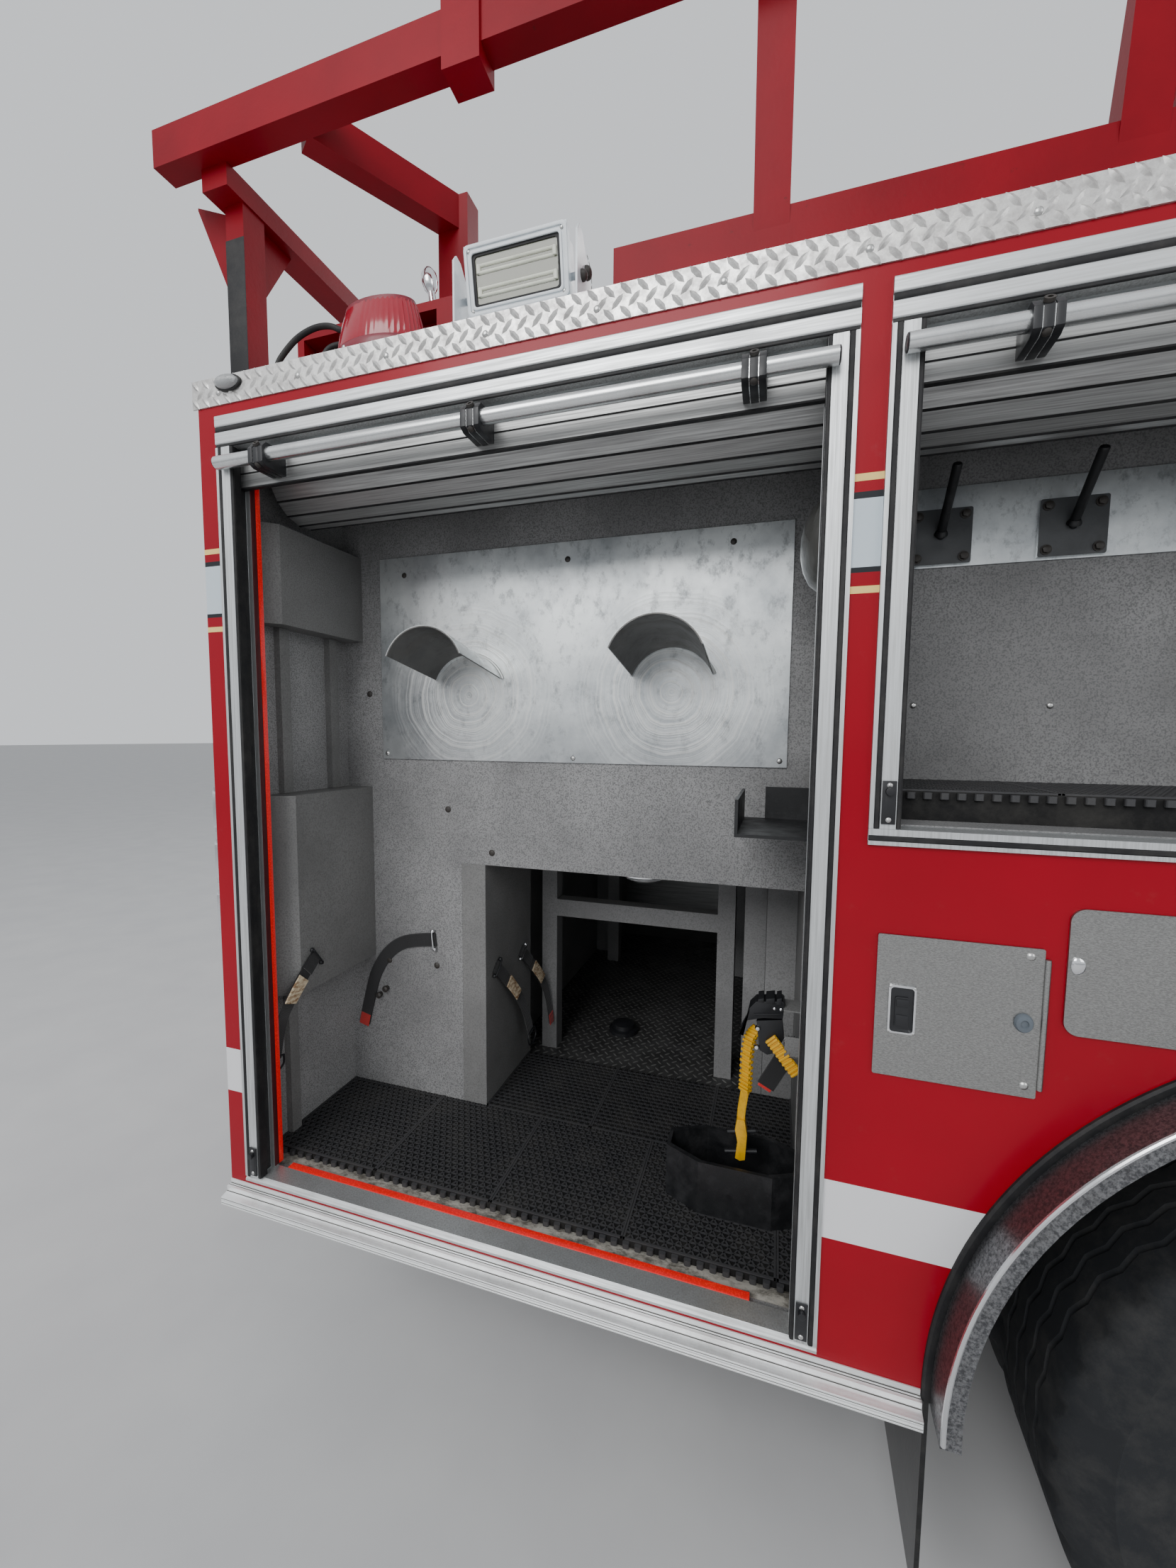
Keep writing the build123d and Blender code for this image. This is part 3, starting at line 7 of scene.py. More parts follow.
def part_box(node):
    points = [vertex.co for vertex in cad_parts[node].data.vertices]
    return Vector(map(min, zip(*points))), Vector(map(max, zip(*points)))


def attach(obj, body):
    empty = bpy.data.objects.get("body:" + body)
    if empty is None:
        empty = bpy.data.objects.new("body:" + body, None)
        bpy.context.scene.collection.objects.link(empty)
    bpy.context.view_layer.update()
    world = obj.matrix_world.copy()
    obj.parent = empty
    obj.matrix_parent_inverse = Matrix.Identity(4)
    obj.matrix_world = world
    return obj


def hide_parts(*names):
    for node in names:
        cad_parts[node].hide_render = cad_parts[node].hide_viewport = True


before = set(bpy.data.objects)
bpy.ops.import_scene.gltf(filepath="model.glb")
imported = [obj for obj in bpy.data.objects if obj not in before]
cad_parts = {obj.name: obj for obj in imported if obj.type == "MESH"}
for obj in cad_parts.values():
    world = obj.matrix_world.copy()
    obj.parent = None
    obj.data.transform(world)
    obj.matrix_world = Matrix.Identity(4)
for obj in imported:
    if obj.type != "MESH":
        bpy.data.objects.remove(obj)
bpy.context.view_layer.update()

# The camera stands beside the truck's right rear corner
CAMERA_PLACE = Vector((-3.331, -2.235, 1.70))
CAMERA_YAW = radians(17.75)
CAMERA_PITCH = radians(4.702)
CAMERA_ROLL = radians(0.472)
CAMERA_LENS = 18.026
SENSOR_WIDTH = 36

# Places that the looks need, read from the frame
shell_low, shell_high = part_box("body_shell_right")
SIDE_Y = -shell_low.y
BODY_REAR, BODY_FRONT = shell_low.x, shell_high.x
BODY_BOTTOM, BODY_TOP = shell_low.z, shell_high.z
CORE_Y = -shell_high.y
BACK_Y = CORE_Y + 0.025
rear_tyre_low, rear_tyre_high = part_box("rear_tyres_right")
REAR_AXLE_X = (rear_tyre_low.x + rear_tyre_high.x) / 2
AXLE_Z = (rear_tyre_low.z + rear_tyre_high.z) / 2
front_tyre_low, front_tyre_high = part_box("front_tyre_right")
FRONT_AXLE_X = (front_tyre_low.x + front_tyre_high.x) / 2
cab_low, cab_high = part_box("cab_shell")
pump_low, pump_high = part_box("pump_module")

# Doorways of one side. Columns: name, start x, end x, bottom z, top z
DOOR_TOP = 2.374
DOORWAYS = [
    ("rear", -4.500, -3.232, 0.640),
    ("wheel", -3.190, -1.490, 1.532),
    ("front", -1.448, -0.340, 0.640),
]
TRACK = 0.045
FRAME_FACE_Y = 1.226
COMPARTMENT_FLOOR = 0.640
WHEEL_FLOOR = 1.560
ARCH_Z, ARCH_RADIUS = 0.636, 0.718
TRIM_Y = SIDE_Y + 0.003
TRIM_LOW, TRIM_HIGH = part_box("edge_trim")[0].z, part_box("edge_trim")[1].z


def srgb(red, green, blue):
    """A colour given as it looks on a screen, from 0 to 255, as the shaders take it."""
    def linear(value):
        value = value / 255
        return value / 12.92 if value <= 0.04045 else ((value + 0.055) / 1.055) ** 2.4
    return (linear(red), linear(green), linear(blue), 1)


RED = srgb(150, 0, 26)
GREY_ENAMEL = srgb(150, 150, 150)
STRIPE_WHITE = srgb(222, 222, 224)
BAND_SILVER = srgb(196, 208, 216)
GOLD = srgb(236, 205, 130)
BLACK = srgb(20, 21, 23)
ALUMINIUM = srgb(214, 218, 220)
STEEL = srgb(190, 190, 190)


class Shader:
    """A material being built, with short calls for the nodes that the materials share."""

    def __init__(self, name, color=None, rough=0.5, metal=0.0, coat=0.0, coat_rough=0.1, specular=0.5):
        self.material = bpy.data.materials.new(name)
        self.material.use_nodes = True
        self.nodes = self.material.node_tree.nodes
        self.links = self.material.node_tree.links
        self.bsdf = self.nodes["Principled BSDF"]
        self.place = self.nodes.new("ShaderNodeTexCoord").outputs["Object"]
        self.set("Roughness", rough)
        self.set("Metallic", metal)
        self.set("Coat Weight", coat)
        self.set("Coat Roughness", coat_rough)
        self.set("Specular IOR Level", specular)
        if color is not None:
            self.set("Base Color", color)

    def feed(self, socket, value):
        if isinstance(value, bpy.types.NodeSocket):
            self.links.new(value, socket)
        else:
            socket.default_value = value

    def set(self, name, value):
        self.feed(self.bsdf.inputs[name], value)

    def add(self, kind, inputs, settings=()):
        node = self.nodes.new(kind)
        for key, value in settings:
            setattr(node, key, value)
        for key, value in inputs.items():
            self.feed(node.inputs[key], value)
        return node

    def stretched(self, x, y, z):
        return self.add("ShaderNodeMapping", {"Vector": self.place, "Scale": (x, y, z)}).outputs[0]

    def noise(self, scale, detail=3.0, rough=0.55, where=None, distort=0.0):
        inputs = {"Vector": where or self.place, "Scale": scale, "Detail": detail, "Roughness": rough,
                  "Distortion": distort}
        return self.add("ShaderNodeTexNoise", inputs).outputs[0]

    def cells(self, scale, where=None, feature="F1"):
        node = self.add("ShaderNodeTexVoronoi", {"Vector": where or self.place, "Scale": scale},
                        [("feature", feature)])
        return node.outputs[0]

    def math(self, kind, a, b=0.0, c=0.0):
        node = self.add("ShaderNodeMath", {0: a, 1: b, 2: c}, [("operation", kind)])
        return node.outputs[0]

    def span(self, value, low, high, to_low=0.0, to_high=1.0):
        """The value's place between low and high, held to the two ends."""
        node = self.add("ShaderNodeMapRange", {"Value": value, "From Min": low, "From Max": high,
                                               "To Min": to_low, "To Max": to_high})
        return node.outputs[0]

    def mix(self, share, a, b):
        node = self.add("ShaderNodeMix", {0: share, 6: a, 7: b}, [("data_type", "RGBA")])
        return node.outputs[2]

    def axes(self):
        node = self.add("ShaderNodeSeparateXYZ", {"Vector": self.place})
        return node.outputs

    def between(self, value, low, high):
        above = self.math("GREATER_THAN", value, low)
        return self.math("MULTIPLY", above, self.math("LESS_THAN", value, high))

    def all_of(self, *masks):
        whole = masks[0]
        for mask in masks[1:]:
            whole = self.math("MULTIPLY", whole, mask)
        return whole

    def bump(self, height, depth, strength=1.0):
        node = self.add("ShaderNodeBump", {"Height": height, "Distance": depth, "Strength": strength})
        self.set("Normal", node.outputs[0])


def mottled(shader, color, low, high, scale, detail=4.0):
    """The colour, darker and lighter by soft patches of the given scale."""
    patches = shader.span(shader.noise(scale, detail), 0.35, 0.65, low, high)
    node = shader.add("ShaderNodeHueSaturation", {"Color": color, "Value": patches})
    return node.outputs[0]


# Materials
def stripe_colors(s, color, height):
    """Lays the white stripe and the edged band over a colour, by height."""
    x, y, z = s.axes()
    bands = [
        (STRIPE_WHITE, 0.853, 0.958),
        (GOLD, 2.0905, 2.1015), (srgb(36, 38, 42), 2.0645, 2.0745), (BAND_SILVER, 1.9620, 2.0645),
        (srgb(36, 38, 42), 1.9540, 1.9620), (GOLD, 1.9225, 1.9335),
    ]
    outer = s.math("GREATER_THAN", s.math("ABSOLUTE", y), height)
    for tone, low, high in bands:
        color = s.mix(s.all_of(outer, s.between(z, low, high)), color, tone)
    return color


def red_gloss(s):
    """Deep red enamel with soft dust and small changes of tone."""
    tone = mottled(s, RED, 0.92, 1.04, 3.0)
    dust = s.span(s.noise(26, 6, 0.7), 0.62, 0.8, 0, 0.10)
    return s.mix(dust, tone, srgb(150, 96, 98))


def red_paint():
    s = Shader("red_enamel", rough=0.36, coat=0.12, coat_rough=0.10, specular=0.2)
    color = red_gloss(s)
    chips = s.math("GREATER_THAN", s.noise(160, 2, 0.5), 0.735)
    s.set("Base Color", s.mix(s.math("MULTIPLY", chips, 0.6), color, srgb(120, 84, 78)))
    s.set("Roughness", s.span(s.noise(9), 0.3, 0.7, 0.26, 0.42))
    s.bump(s.noise(240, 2), 0.0004, 0.25)
    return s.material


def rack_paint():
    s = Shader("rack_enamel", rough=0.45, coat=0.04, coat_rough=0.2, specular=0.14)
    # painted shade: the rack's red is the body red darkened to 0.66 to 0.90
    tone = mottled(s, RED, 0.66, 0.90, 4.0)
    rust = s.span(s.noise(38, 6, 0.7), 0.66, 0.74, 0, 0.7)
    s.set("Base Color", s.mix(rust, tone, srgb(84, 22, 18)))
    s.bump(s.noise(120, 3), 0.0006, 0.4)
    return s.material


def body_paint(name):
    """Red outside with its stripes, grey flecked enamel inside, and undercoat in the wheel arch."""
    s = Shader(name, rough=0.4, coat=0.08, coat_rough=0.1, specular=0.2)
    x, y, z = s.axes()
    out_y = s.math("ABSOLUTE", y)
    inner = s.all_of(s.math("LESS_THAN", out_y, SIDE_Y - 0.0225), s.between(x, BODY_REAR + 0.003, BODY_FRONT - 0.003),
                     s.between(z, BODY_BOTTOM + 0.002, BODY_TOP - 0.002))
    away_x = s.math("SUBTRACT", x, REAR_AXLE_X)
    away_z = s.math("SUBTRACT", z, ARCH_Z)
    away = s.math("SQRT", s.math("ADD", s.math("MULTIPLY", away_x, away_x), s.math("MULTIPLY", away_z, away_z)))
    arch = s.all_of(s.math("LESS_THAN", away, ARCH_RADIUS + 0.003), s.math("LESS_THAN", out_y, SIDE_Y - 0.002))
    below = s.math("LESS_THAN", z, BODY_BOTTOM + 0.002)
    red = stripe_colors(s, red_gloss(s), SIDE_Y - 0.001)
    # painted shade: the grey inside is darkened to 0.80 forward of x -3.20, in the wheel compartment
    shade = s.span(x, -3.25, -3.20, 1.0, 0.80)
    grey = s.add("ShaderNodeHueSaturation", {"Color": mottled(s, GREY_ENAMEL, 0.70, 1.06, 3.4, 8), "Value": shade}).outputs[0]
    fleck = s.span(s.noise(300, 3, 0.6), 0.46, 0.62, 0, 0.75)
    grey = s.mix(fleck, grey, srgb(92, 92, 93))
    marks = s.span(s.noise(14, 8, 0.75, s.stretched(1, 1, 0.35)), 0.60, 0.72, 0, 0.5)
    grey = s.mix(marks, grey, srgb(96, 94, 92))
    color = s.mix(inner, red, grey)
    color = s.mix(s.math("MAXIMUM", arch, below), color, srgb(26, 26, 27))
    s.set("Base Color", color)
    s.set("Roughness", s.span(inner, 0, 1, 0.3, 0.55))
    s.bump(s.math("MULTIPLY", s.noise(380, 3), s.span(inner, 0, 1, 0.1, 1)), 0.0012, 0.5)
    return s.material


def cab_paint():
    """Red outside with its stripes and dark trim inside the cab."""
    s = Shader("cab_enamel", rough=0.35, coat=0.12, coat_rough=0.08, specular=0.2)
    x, y, z = s.axes()
    raked = s.math("ADD", x, s.math("MULTIPLY", s.math("MAXIMUM", s.math("SUBTRACT", z, 1.70), 0.0), 0.1319))
    brow = s.math("ADD", z, s.math("MULTIPLY", x, 0.2308))
    corner = s.math("ADD", z, s.math("MULTIPLY", x, 1.286))
    inner = s.all_of(s.math("LESS_THAN", s.math("ABSOLUTE", y), cab_high.y - 0.0440), s.math("GREATER_THAN", x, cab_low.x + 0.044),
                     s.math("LESS_THAN", raked, cab_high.x - 0.036), s.between(z, cab_low.z + 0.01, cab_high.z - 0.0445),
                     s.math("LESS_THAN", brow, 2.760 + 0.2308 * 3.90 - 0.040), s.math("LESS_THAN", corner, 2.700 + 1.286 * 4.16 - 0.060),
                     s.math("LESS_THAN", s.math("SUBTRACT", z, x), 1.750 - 0.055))
    lining = mottled(s, srgb(92, 92, 94), 0.9, 1.1, 30)
    color = s.mix(inner, stripe_colors(s, red_gloss(s), cab_high.y - 0.002), lining)
    s.set("Base Color", color)
    s.set("Roughness", s.span(inner, 0, 1, 0.3, 0.75))
    s.bump(s.math("MULTIPLY", s.noise(300, 2), s.span(inner, 0, 1, 0.08, 1)), 0.001, 0.4)
    return s.material


def aluminium(name, color=ALUMINIUM, along=(0.5, 9, 9), rough=0.38, metal=0.85):
    """Extruded or drawn metal with fine lines along one direction."""
    s = Shader(name, rough=rough, metal=metal)
    lines = s.noise(26, 5, 0.6, s.stretched(*along))
    dirt = s.span(s.noise(7, 6, 0.7), 0.52, 0.75, 0, 0.35)
    tone = s.mix(s.span(lines, 0.35, 0.65), color, tuple(v * 0.82 for v in color[:3]) + (1,))
    s.set("Base Color", s.mix(dirt, tone, srgb(138, 136, 130)))
    s.set("Roughness", s.span(lines, 0.3, 0.7, rough - 0.1, rough + 0.12))
    s.bump(lines, 0.0003, 0.35)
    return s.material


def frame_metal():
    """Satin extrusions: lines run up the tracks and along the headers, sills and slats."""
    s = Shader("frame_aluminium", rough=0.4, metal=0.8)
    x, y, z = s.axes()
    level = s.math("MAXIMUM", s.math("GREATER_THAN", z, DOOR_TOP - 0.066), s.math("LESS_THAN", z, 0.652))
    up_lines = s.noise(30, 4, 0.6, s.stretched(10, 10, 0.25))
    long_lines = s.noise(30, 4, 0.6, s.stretched(0.25, 10, 10))
    lines = s.math("ADD", s.math("MULTIPLY", level, long_lines),
                   s.math("MULTIPLY", s.math("SUBTRACT", 1, level), up_lines))
    tone = s.mix(s.span(lines, 0.35, 0.65), srgb(222, 225, 226), srgb(188, 190, 190))
    # painted highlight: below z 0.622 the rail's face that turns up to the light is made near white
    tone = s.mix(s.math("LESS_THAN", z, 0.622), tone, srgb(252, 253, 253))
    low = s.math("LESS_THAN", z, 0.66)
    grime = s.math("MULTIPLY", low, s.span(s.noise(9, 8, 0.75), 0.44, 0.72, 0, 0.30))
    s.set("Base Color", s.mix(grime, tone, srgb(120, 117, 108)))
    s.set("Roughness", s.span(lines, 0.3, 0.7, 0.32, 0.5))
    s.bump(lines, 0.0003, 0.3)
    return s.material


def curtain_slats():
    s = Shader("curtain_slats", rough=0.45, metal=0.7)
    lines = s.noise(30, 4, 0.6, s.stretched(0.2, 12, 12))
    tone = s.mix(s.span(lines, 0.35, 0.65), srgb(186, 187, 186), srgb(150, 150, 149))
    s.set("Base Color", tone)
    s.set("Roughness", s.span(lines, 0.3, 0.7, 0.35, 0.55))
    s.bump(lines, 0.0003, 0.3)
    return s.material


def bright_plate():
    """Rolled aluminium with light wear, for diamond plate."""
    s = Shader("bright_plate", rough=0.34, metal=0.75)
    wear = s.noise(48, 6, 0.7)
    tone = s.mix(s.span(wear, 0.4, 0.62), srgb(226, 225, 222), srgb(182, 180, 178))
    dirt = s.span(s.noise(5, 5, 0.7), 0.5, 0.8, 0, 0.3)
    s.set("Base Color", s.mix(dirt, tone, srgb(128, 122, 116)))
    s.set("Roughness", s.span(wear, 0.3, 0.7, 0.26, 0.48))
    s.bump(s.noise(300, 3), 0.0003, 0.3)
    return s.material


def tunnel_shaded_plate():
    """Trodden diamond plate in the dark of the tunnel, its grey darkened as painted shade."""
    s = Shader("tunnel_shaded_plate", rough=0.5, metal=0.6)
    tone = mottled(s, srgb(86, 86, 86), 0.7, 1.2, 12)
    s.set("Base Color", tone)
    s.set("Roughness", s.span(s.noise(40, 4), 0.3, 0.7, 0.35, 0.65))
    s.bump(s.noise(200, 3), 0.0004, 0.4)
    return s.material


def swirled_sheet():
    """Aluminium sheet rubbed in rings round its two half pipes, with painted shade inside the pipes and towards the
    bottom.
    """
    s = Shader("scuffed_sheet", rough=0.4, metal=0.75)
    x, y, z = s.axes()
    rings = inside = None
    for pipe_x in HALF_PIPES:
        dx = s.math("SUBTRACT", x, pipe_x)
        dz = s.math("SUBTRACT", z, HALF_PIPE_Z)
        far = s.math("SQRT", s.math("ADD", s.math("MULTIPLY", dx, dx), s.math("MULTIPLY", dz, dz)))
        wobble = s.math("ADD", far, s.math("MULTIPLY", s.noise(5, 3), 0.05))
        around = s.noise(1.0, 5, 0.7, s.add("ShaderNodeCombineXYZ", {"X": s.math("MULTIPLY", wobble, 110), "Y": 0.0, "Z": 0.0}).outputs[0])
        near = s.span(far, 0.12, 0.27, 1, 0)
        part = s.math("MULTIPLY", s.span(around, 0.46, 0.62), near)
        rings = part if rings is None else s.math("MAXIMUM", rings, part)
        # painted shade: mask of the bore inside each half pipe
        rise = s.math("MULTIPLY", s.math("ADD", y, SHEET_Y), PIPE_RISE)
        dz = s.math("ADD", dz, rise)
        bore = s.math("SQRT", s.math("ADD", s.math("MULTIPLY", dx, dx), s.math("MULTIPLY", dz, dz)))
        part = s.all_of(s.math("LESS_THAN", bore, PIPE_RADIUS - 0.0012), s.math("LESS_THAN", y, -SHEET_Y - 0.008))
        inside = part if inside is None else s.math("MAXIMUM", inside, part)
    streaks = s.noise(22, 8, 0.75, s.stretched(1.3, 1, 0.9))
    cloudy = s.noise(4.5, 6, 0.65)
    tone = s.mix(s.span(cloudy, 0.35, 0.65), srgb(226, 230, 230), srgb(172, 177, 180))
    tone = s.mix(s.math("MULTIPLY", s.span(streaks, 0.52, 0.70), 0.8), tone, srgb(120, 124, 128))
    tone = s.mix(s.math("MULTIPLY", rings, 0.75), tone, srgb(236, 236, 232))
    # painted shade: the sheet is darker towards the bottom, below z 1.78, over the wheel compartment's floor
    low = s.math("MULTIPLY", s.span(z, 1.62, 1.78, 1, 0), 0.45)
    tone = s.mix(low, tone, srgb(150, 152, 154))
    # painted shade inside the half pipes
    tone = s.mix(s.math("MULTIPLY", inside, 0.85), tone, srgb(62, 58, 54))
    s.set("Base Color", tone)
    s.set("Roughness", s.span(s.math("ADD", streaks, rings), 0.3, 1.2, 0.3, 0.55))
    s.bump(s.math("ADD", streaks, rings), 0.0005, 0.35)
    return s.material


def grey_fleck(name, color=GREY_ENAMEL, low=0.72, high=1.05):
    s = Shader(name, rough=0.55)
    tone = mottled(s, color, low, high, 3.4, 6)
    fleck = s.span(s.noise(300, 3, 0.6), 0.46, 0.62, 0, 0.7)
    tone = s.mix(fleck, tone, tuple(v * 0.55 for v in color[:3]) + (1,))
    scrapes = s.span(s.noise(22, 8, 0.8, s.stretched(1, 1, 0.4)), 0.62, 0.72, 0, 0.6)
    s.set("Base Color", s.mix(scrapes, tone, srgb(82, 80, 78)))
    s.bump(s.noise(380, 3), 0.0012, 0.5)
    return s.material


def brushed_steel(name, color=STEEL, rough=0.28, swirl=0.0):
    s = Shader(name, rough=rough, metal=1.0)
    fine = s.noise(700, 3, 0.6, s.stretched(0.35, 1, 1), swirl)
    blotch = s.noise(6, 5, 0.6)
    s.set("Base Color", s.mix(s.span(fine, 0.4, 0.6), color, tuple(v * 0.7 for v in color[:3]) + (1,)))
    s.set("Roughness", s.span(blotch, 0.3, 0.7, rough - 0.08, rough + 0.12))
    s.bump(fine, 0.0006, 0.3)
    return s.material


def polished(name, color=srgb(225, 226, 228), rough=0.12):
    s = Shader(name, color=color, rough=rough, metal=1.0)
    smear = s.noise(9, 6, 0.7)
    s.set("Roughness", s.span(smear, 0.35, 0.7, rough, rough + 0.2))
    s.bump(s.noise(60, 2), 0.0003, 0.15)
    return s.material


def black_paint(name, color=BLACK, rough=0.5, grit=260):
    s = Shader(name, rough=rough)
    tone = s.mix(s.span(s.noise(18, 6, 0.7), 0.5, 0.75, 0, 0.6), color, srgb(58, 58, 60))
    s.set("Base Color", tone)
    s.set("Roughness", s.span(s.noise(30, 4), 0.3, 0.7, rough - 0.12, rough + 0.15))
    s.bump(s.noise(grit, 3), 0.0005, 0.4)
    return s.material


def rubber(name, color=srgb(28, 29, 31), rough=0.72):
    s = Shader(name, rough=rough, specular=0.35)
    dust = s.span(s.noise(11, 7, 0.75), 0.45, 0.8, 0, 0.4)
    s.set("Base Color", s.mix(dust, color, srgb(84, 82, 78)))
    s.bump(s.noise(160, 4), 0.0006, 0.4)
    return s.material


def webbing(name, color):
    """Woven strap cloth: fine ribs along and across."""
    s = Shader(name, color=color, rough=0.85)
    weave = s.add("ShaderNodeTexWave", {"Vector": s.place, "Scale": 300.0, "Distortion": 2.0, "Detail": 2.0})
    s.set("Base Color", s.mix(s.span(weave.outputs[1], 0, 1, 0, 0.5), color, tuple(v * 0.5 for v in color[:3]) + (1,)))
    s.set("Sheen Weight", 0.3)
    s.bump(weave.outputs[1], 0.0006, 0.5)
    return s.material


def stained_pad():
    s = Shader("stained_pad", rough=0.6)
    stain = s.noise(60, 6, 0.7, s.stretched(1, 1, 2.2))
    s.set("Base Color", s.mix(s.span(stain, 0.42, 0.62), srgb(214, 200, 172), srgb(134, 98, 62)))
    s.bump(stain, 0.0006, 0.4)
    return s.material


def plastic(name, color, rough=0.4, coat=0.0, mottle=0.1):
    s = Shader(name, rough=rough, coat=coat)
    s.set("Base Color", mottled(s, color, 1 - mottle, 1 + mottle, 24))
    s.set("Roughness", s.span(s.noise(40, 4), 0.3, 0.7, rough - 0.08, rough + 0.12))
    s.bump(s.noise(220, 2), 0.0003, 0.3)
    return s.material


def lens(name, color, ribs=90.0, axis=(1, 0, 0), see=0.35, coat=0.6, haze_share=0.45):
    """Moulded lens plastic with fine flutes."""
    s = Shader(name, rough=0.15, coat=coat, coat_rough=0.05)
    wave = s.add("ShaderNodeTexWave", {"Vector": s.add("ShaderNodeMapping", {"Vector": s.place, "Scale": axis}).outputs[0],
                                       "Scale": ribs, "Distortion": 0.0})
    haze = s.span(s.noise(14, 6, 0.7), 0.45, 0.75, 0, haze_share)
    s.set("Base Color", s.mix(haze, color, tuple(min(1, v * 0.7 + 0.12) for v in color[:3]) + (1,)))
    s.set("Transmission Weight", see)
    s.bump(wave.outputs[1], 0.001, 0.5)
    return s.material


def window_glass():
    s = Shader("window_glass", color=(0.78, 0.86, 0.86, 1), rough=0.02)
    s.set("Transmission Weight", 1.0)
    s.set("IOR", 1.2)
    s.set("Roughness", s.span(s.noise(6, 6, 0.7), 0.5, 0.8, 0.02, 0.12))
    return s.material


def reflective_tape():
    s = Shader("red_tape", rough=0.3, coat=0.5)
    cells = s.cells(260)
    tone = s.mix(s.span(cells, 0, 0.6), srgb(255, 36, 30), srgb(216, 18, 20))
    scuffs = s.span(s.noise(24, 7, 0.75), 0.62, 0.72, 0, 0.5)
    s.set("Base Color", s.mix(scuffs, tone, srgb(120, 26, 24)))
    # painted glow: the tape emits a faint red light, though it is no lamp
    s.set("Emission Color", srgb(255, 30, 24))
    s.set("Emission Strength", 0.12)
    return s.material


def worn_sheet():
    """Oxidised bare aluminium, blotched white and grey."""
    s = Shader("worn_sheet", rough=0.6, metal=0.3)
    blotch = s.noise(46, 8, 0.75, s.stretched(0.6, 1, 1))
    s.set("Base Color", s.mix(s.span(blotch, 0.42, 0.6), srgb(196, 192, 182), srgb(104, 100, 92)))
    s.bump(blotch, 0.0008, 0.5)
    return s.material


def arch_steel():
    """Pitted bright metal, speckled dark by road dirt."""
    s = Shader("arch_steel", rough=0.34, metal=0.9)
    grain = s.noise(190, 6, 0.7)
    cloud = s.noise(14, 5, 0.6)
    tone = s.mix(s.span(grain, 0.40, 0.60), srgb(140, 141, 143), srgb(84, 85, 88))
    s.set("Base Color", s.mix(s.span(cloud, 0.45, 0.75, 0, 0.35), tone, srgb(96, 94, 90)))
    s.set("Roughness", s.span(grain, 0.3, 0.7, 0.25, 0.55))
    s.bump(grain, 0.0006, 0.5)
    return s.material


def yellow_rubber():
    s = Shader("yellow_rubber", rough=0.45)
    grime = s.span(s.noise(40, 7, 0.75), 0.50, 0.68, 0, 0.45)
    s.set("Base Color", s.mix(grime, srgb(226, 172, 22), srgb(150, 108, 14)))
    s.bump(s.noise(180, 3), 0.0004, 0.3)
    return s.material


def seat_cloth():
    s = Shader("seat_cloth", rough=0.9)
    weave = s.add("ShaderNodeTexChecker", {"Vector": s.place, "Scale": 520.0})
    s.set("Base Color", s.mix(s.span(weave.outputs[1], 0, 1, 0, 0.35), srgb(62, 62, 66), srgb(38, 38, 41)))
    s.set("Sheen Weight", 0.4)
    s.bump(weave.outputs[1], 0.0008, 0.5)
    return s.material


def floor_material():
    s = Shader("studio_floor", rough=0.8)
    grain = s.noise(3, 4)
    s.set("Base Color", s.mix(s.span(grain, 0.3, 0.7), srgb(206, 206, 206), srgb(199, 199, 200)))
    return s.material


HALF_PIPES = (-4.124, -3.577)
HALF_PIPE_Z = 1.805
PIPE_RADIUS, PIPE_RISE, SHEET_Y = 0.108, 0.1763, 0.813


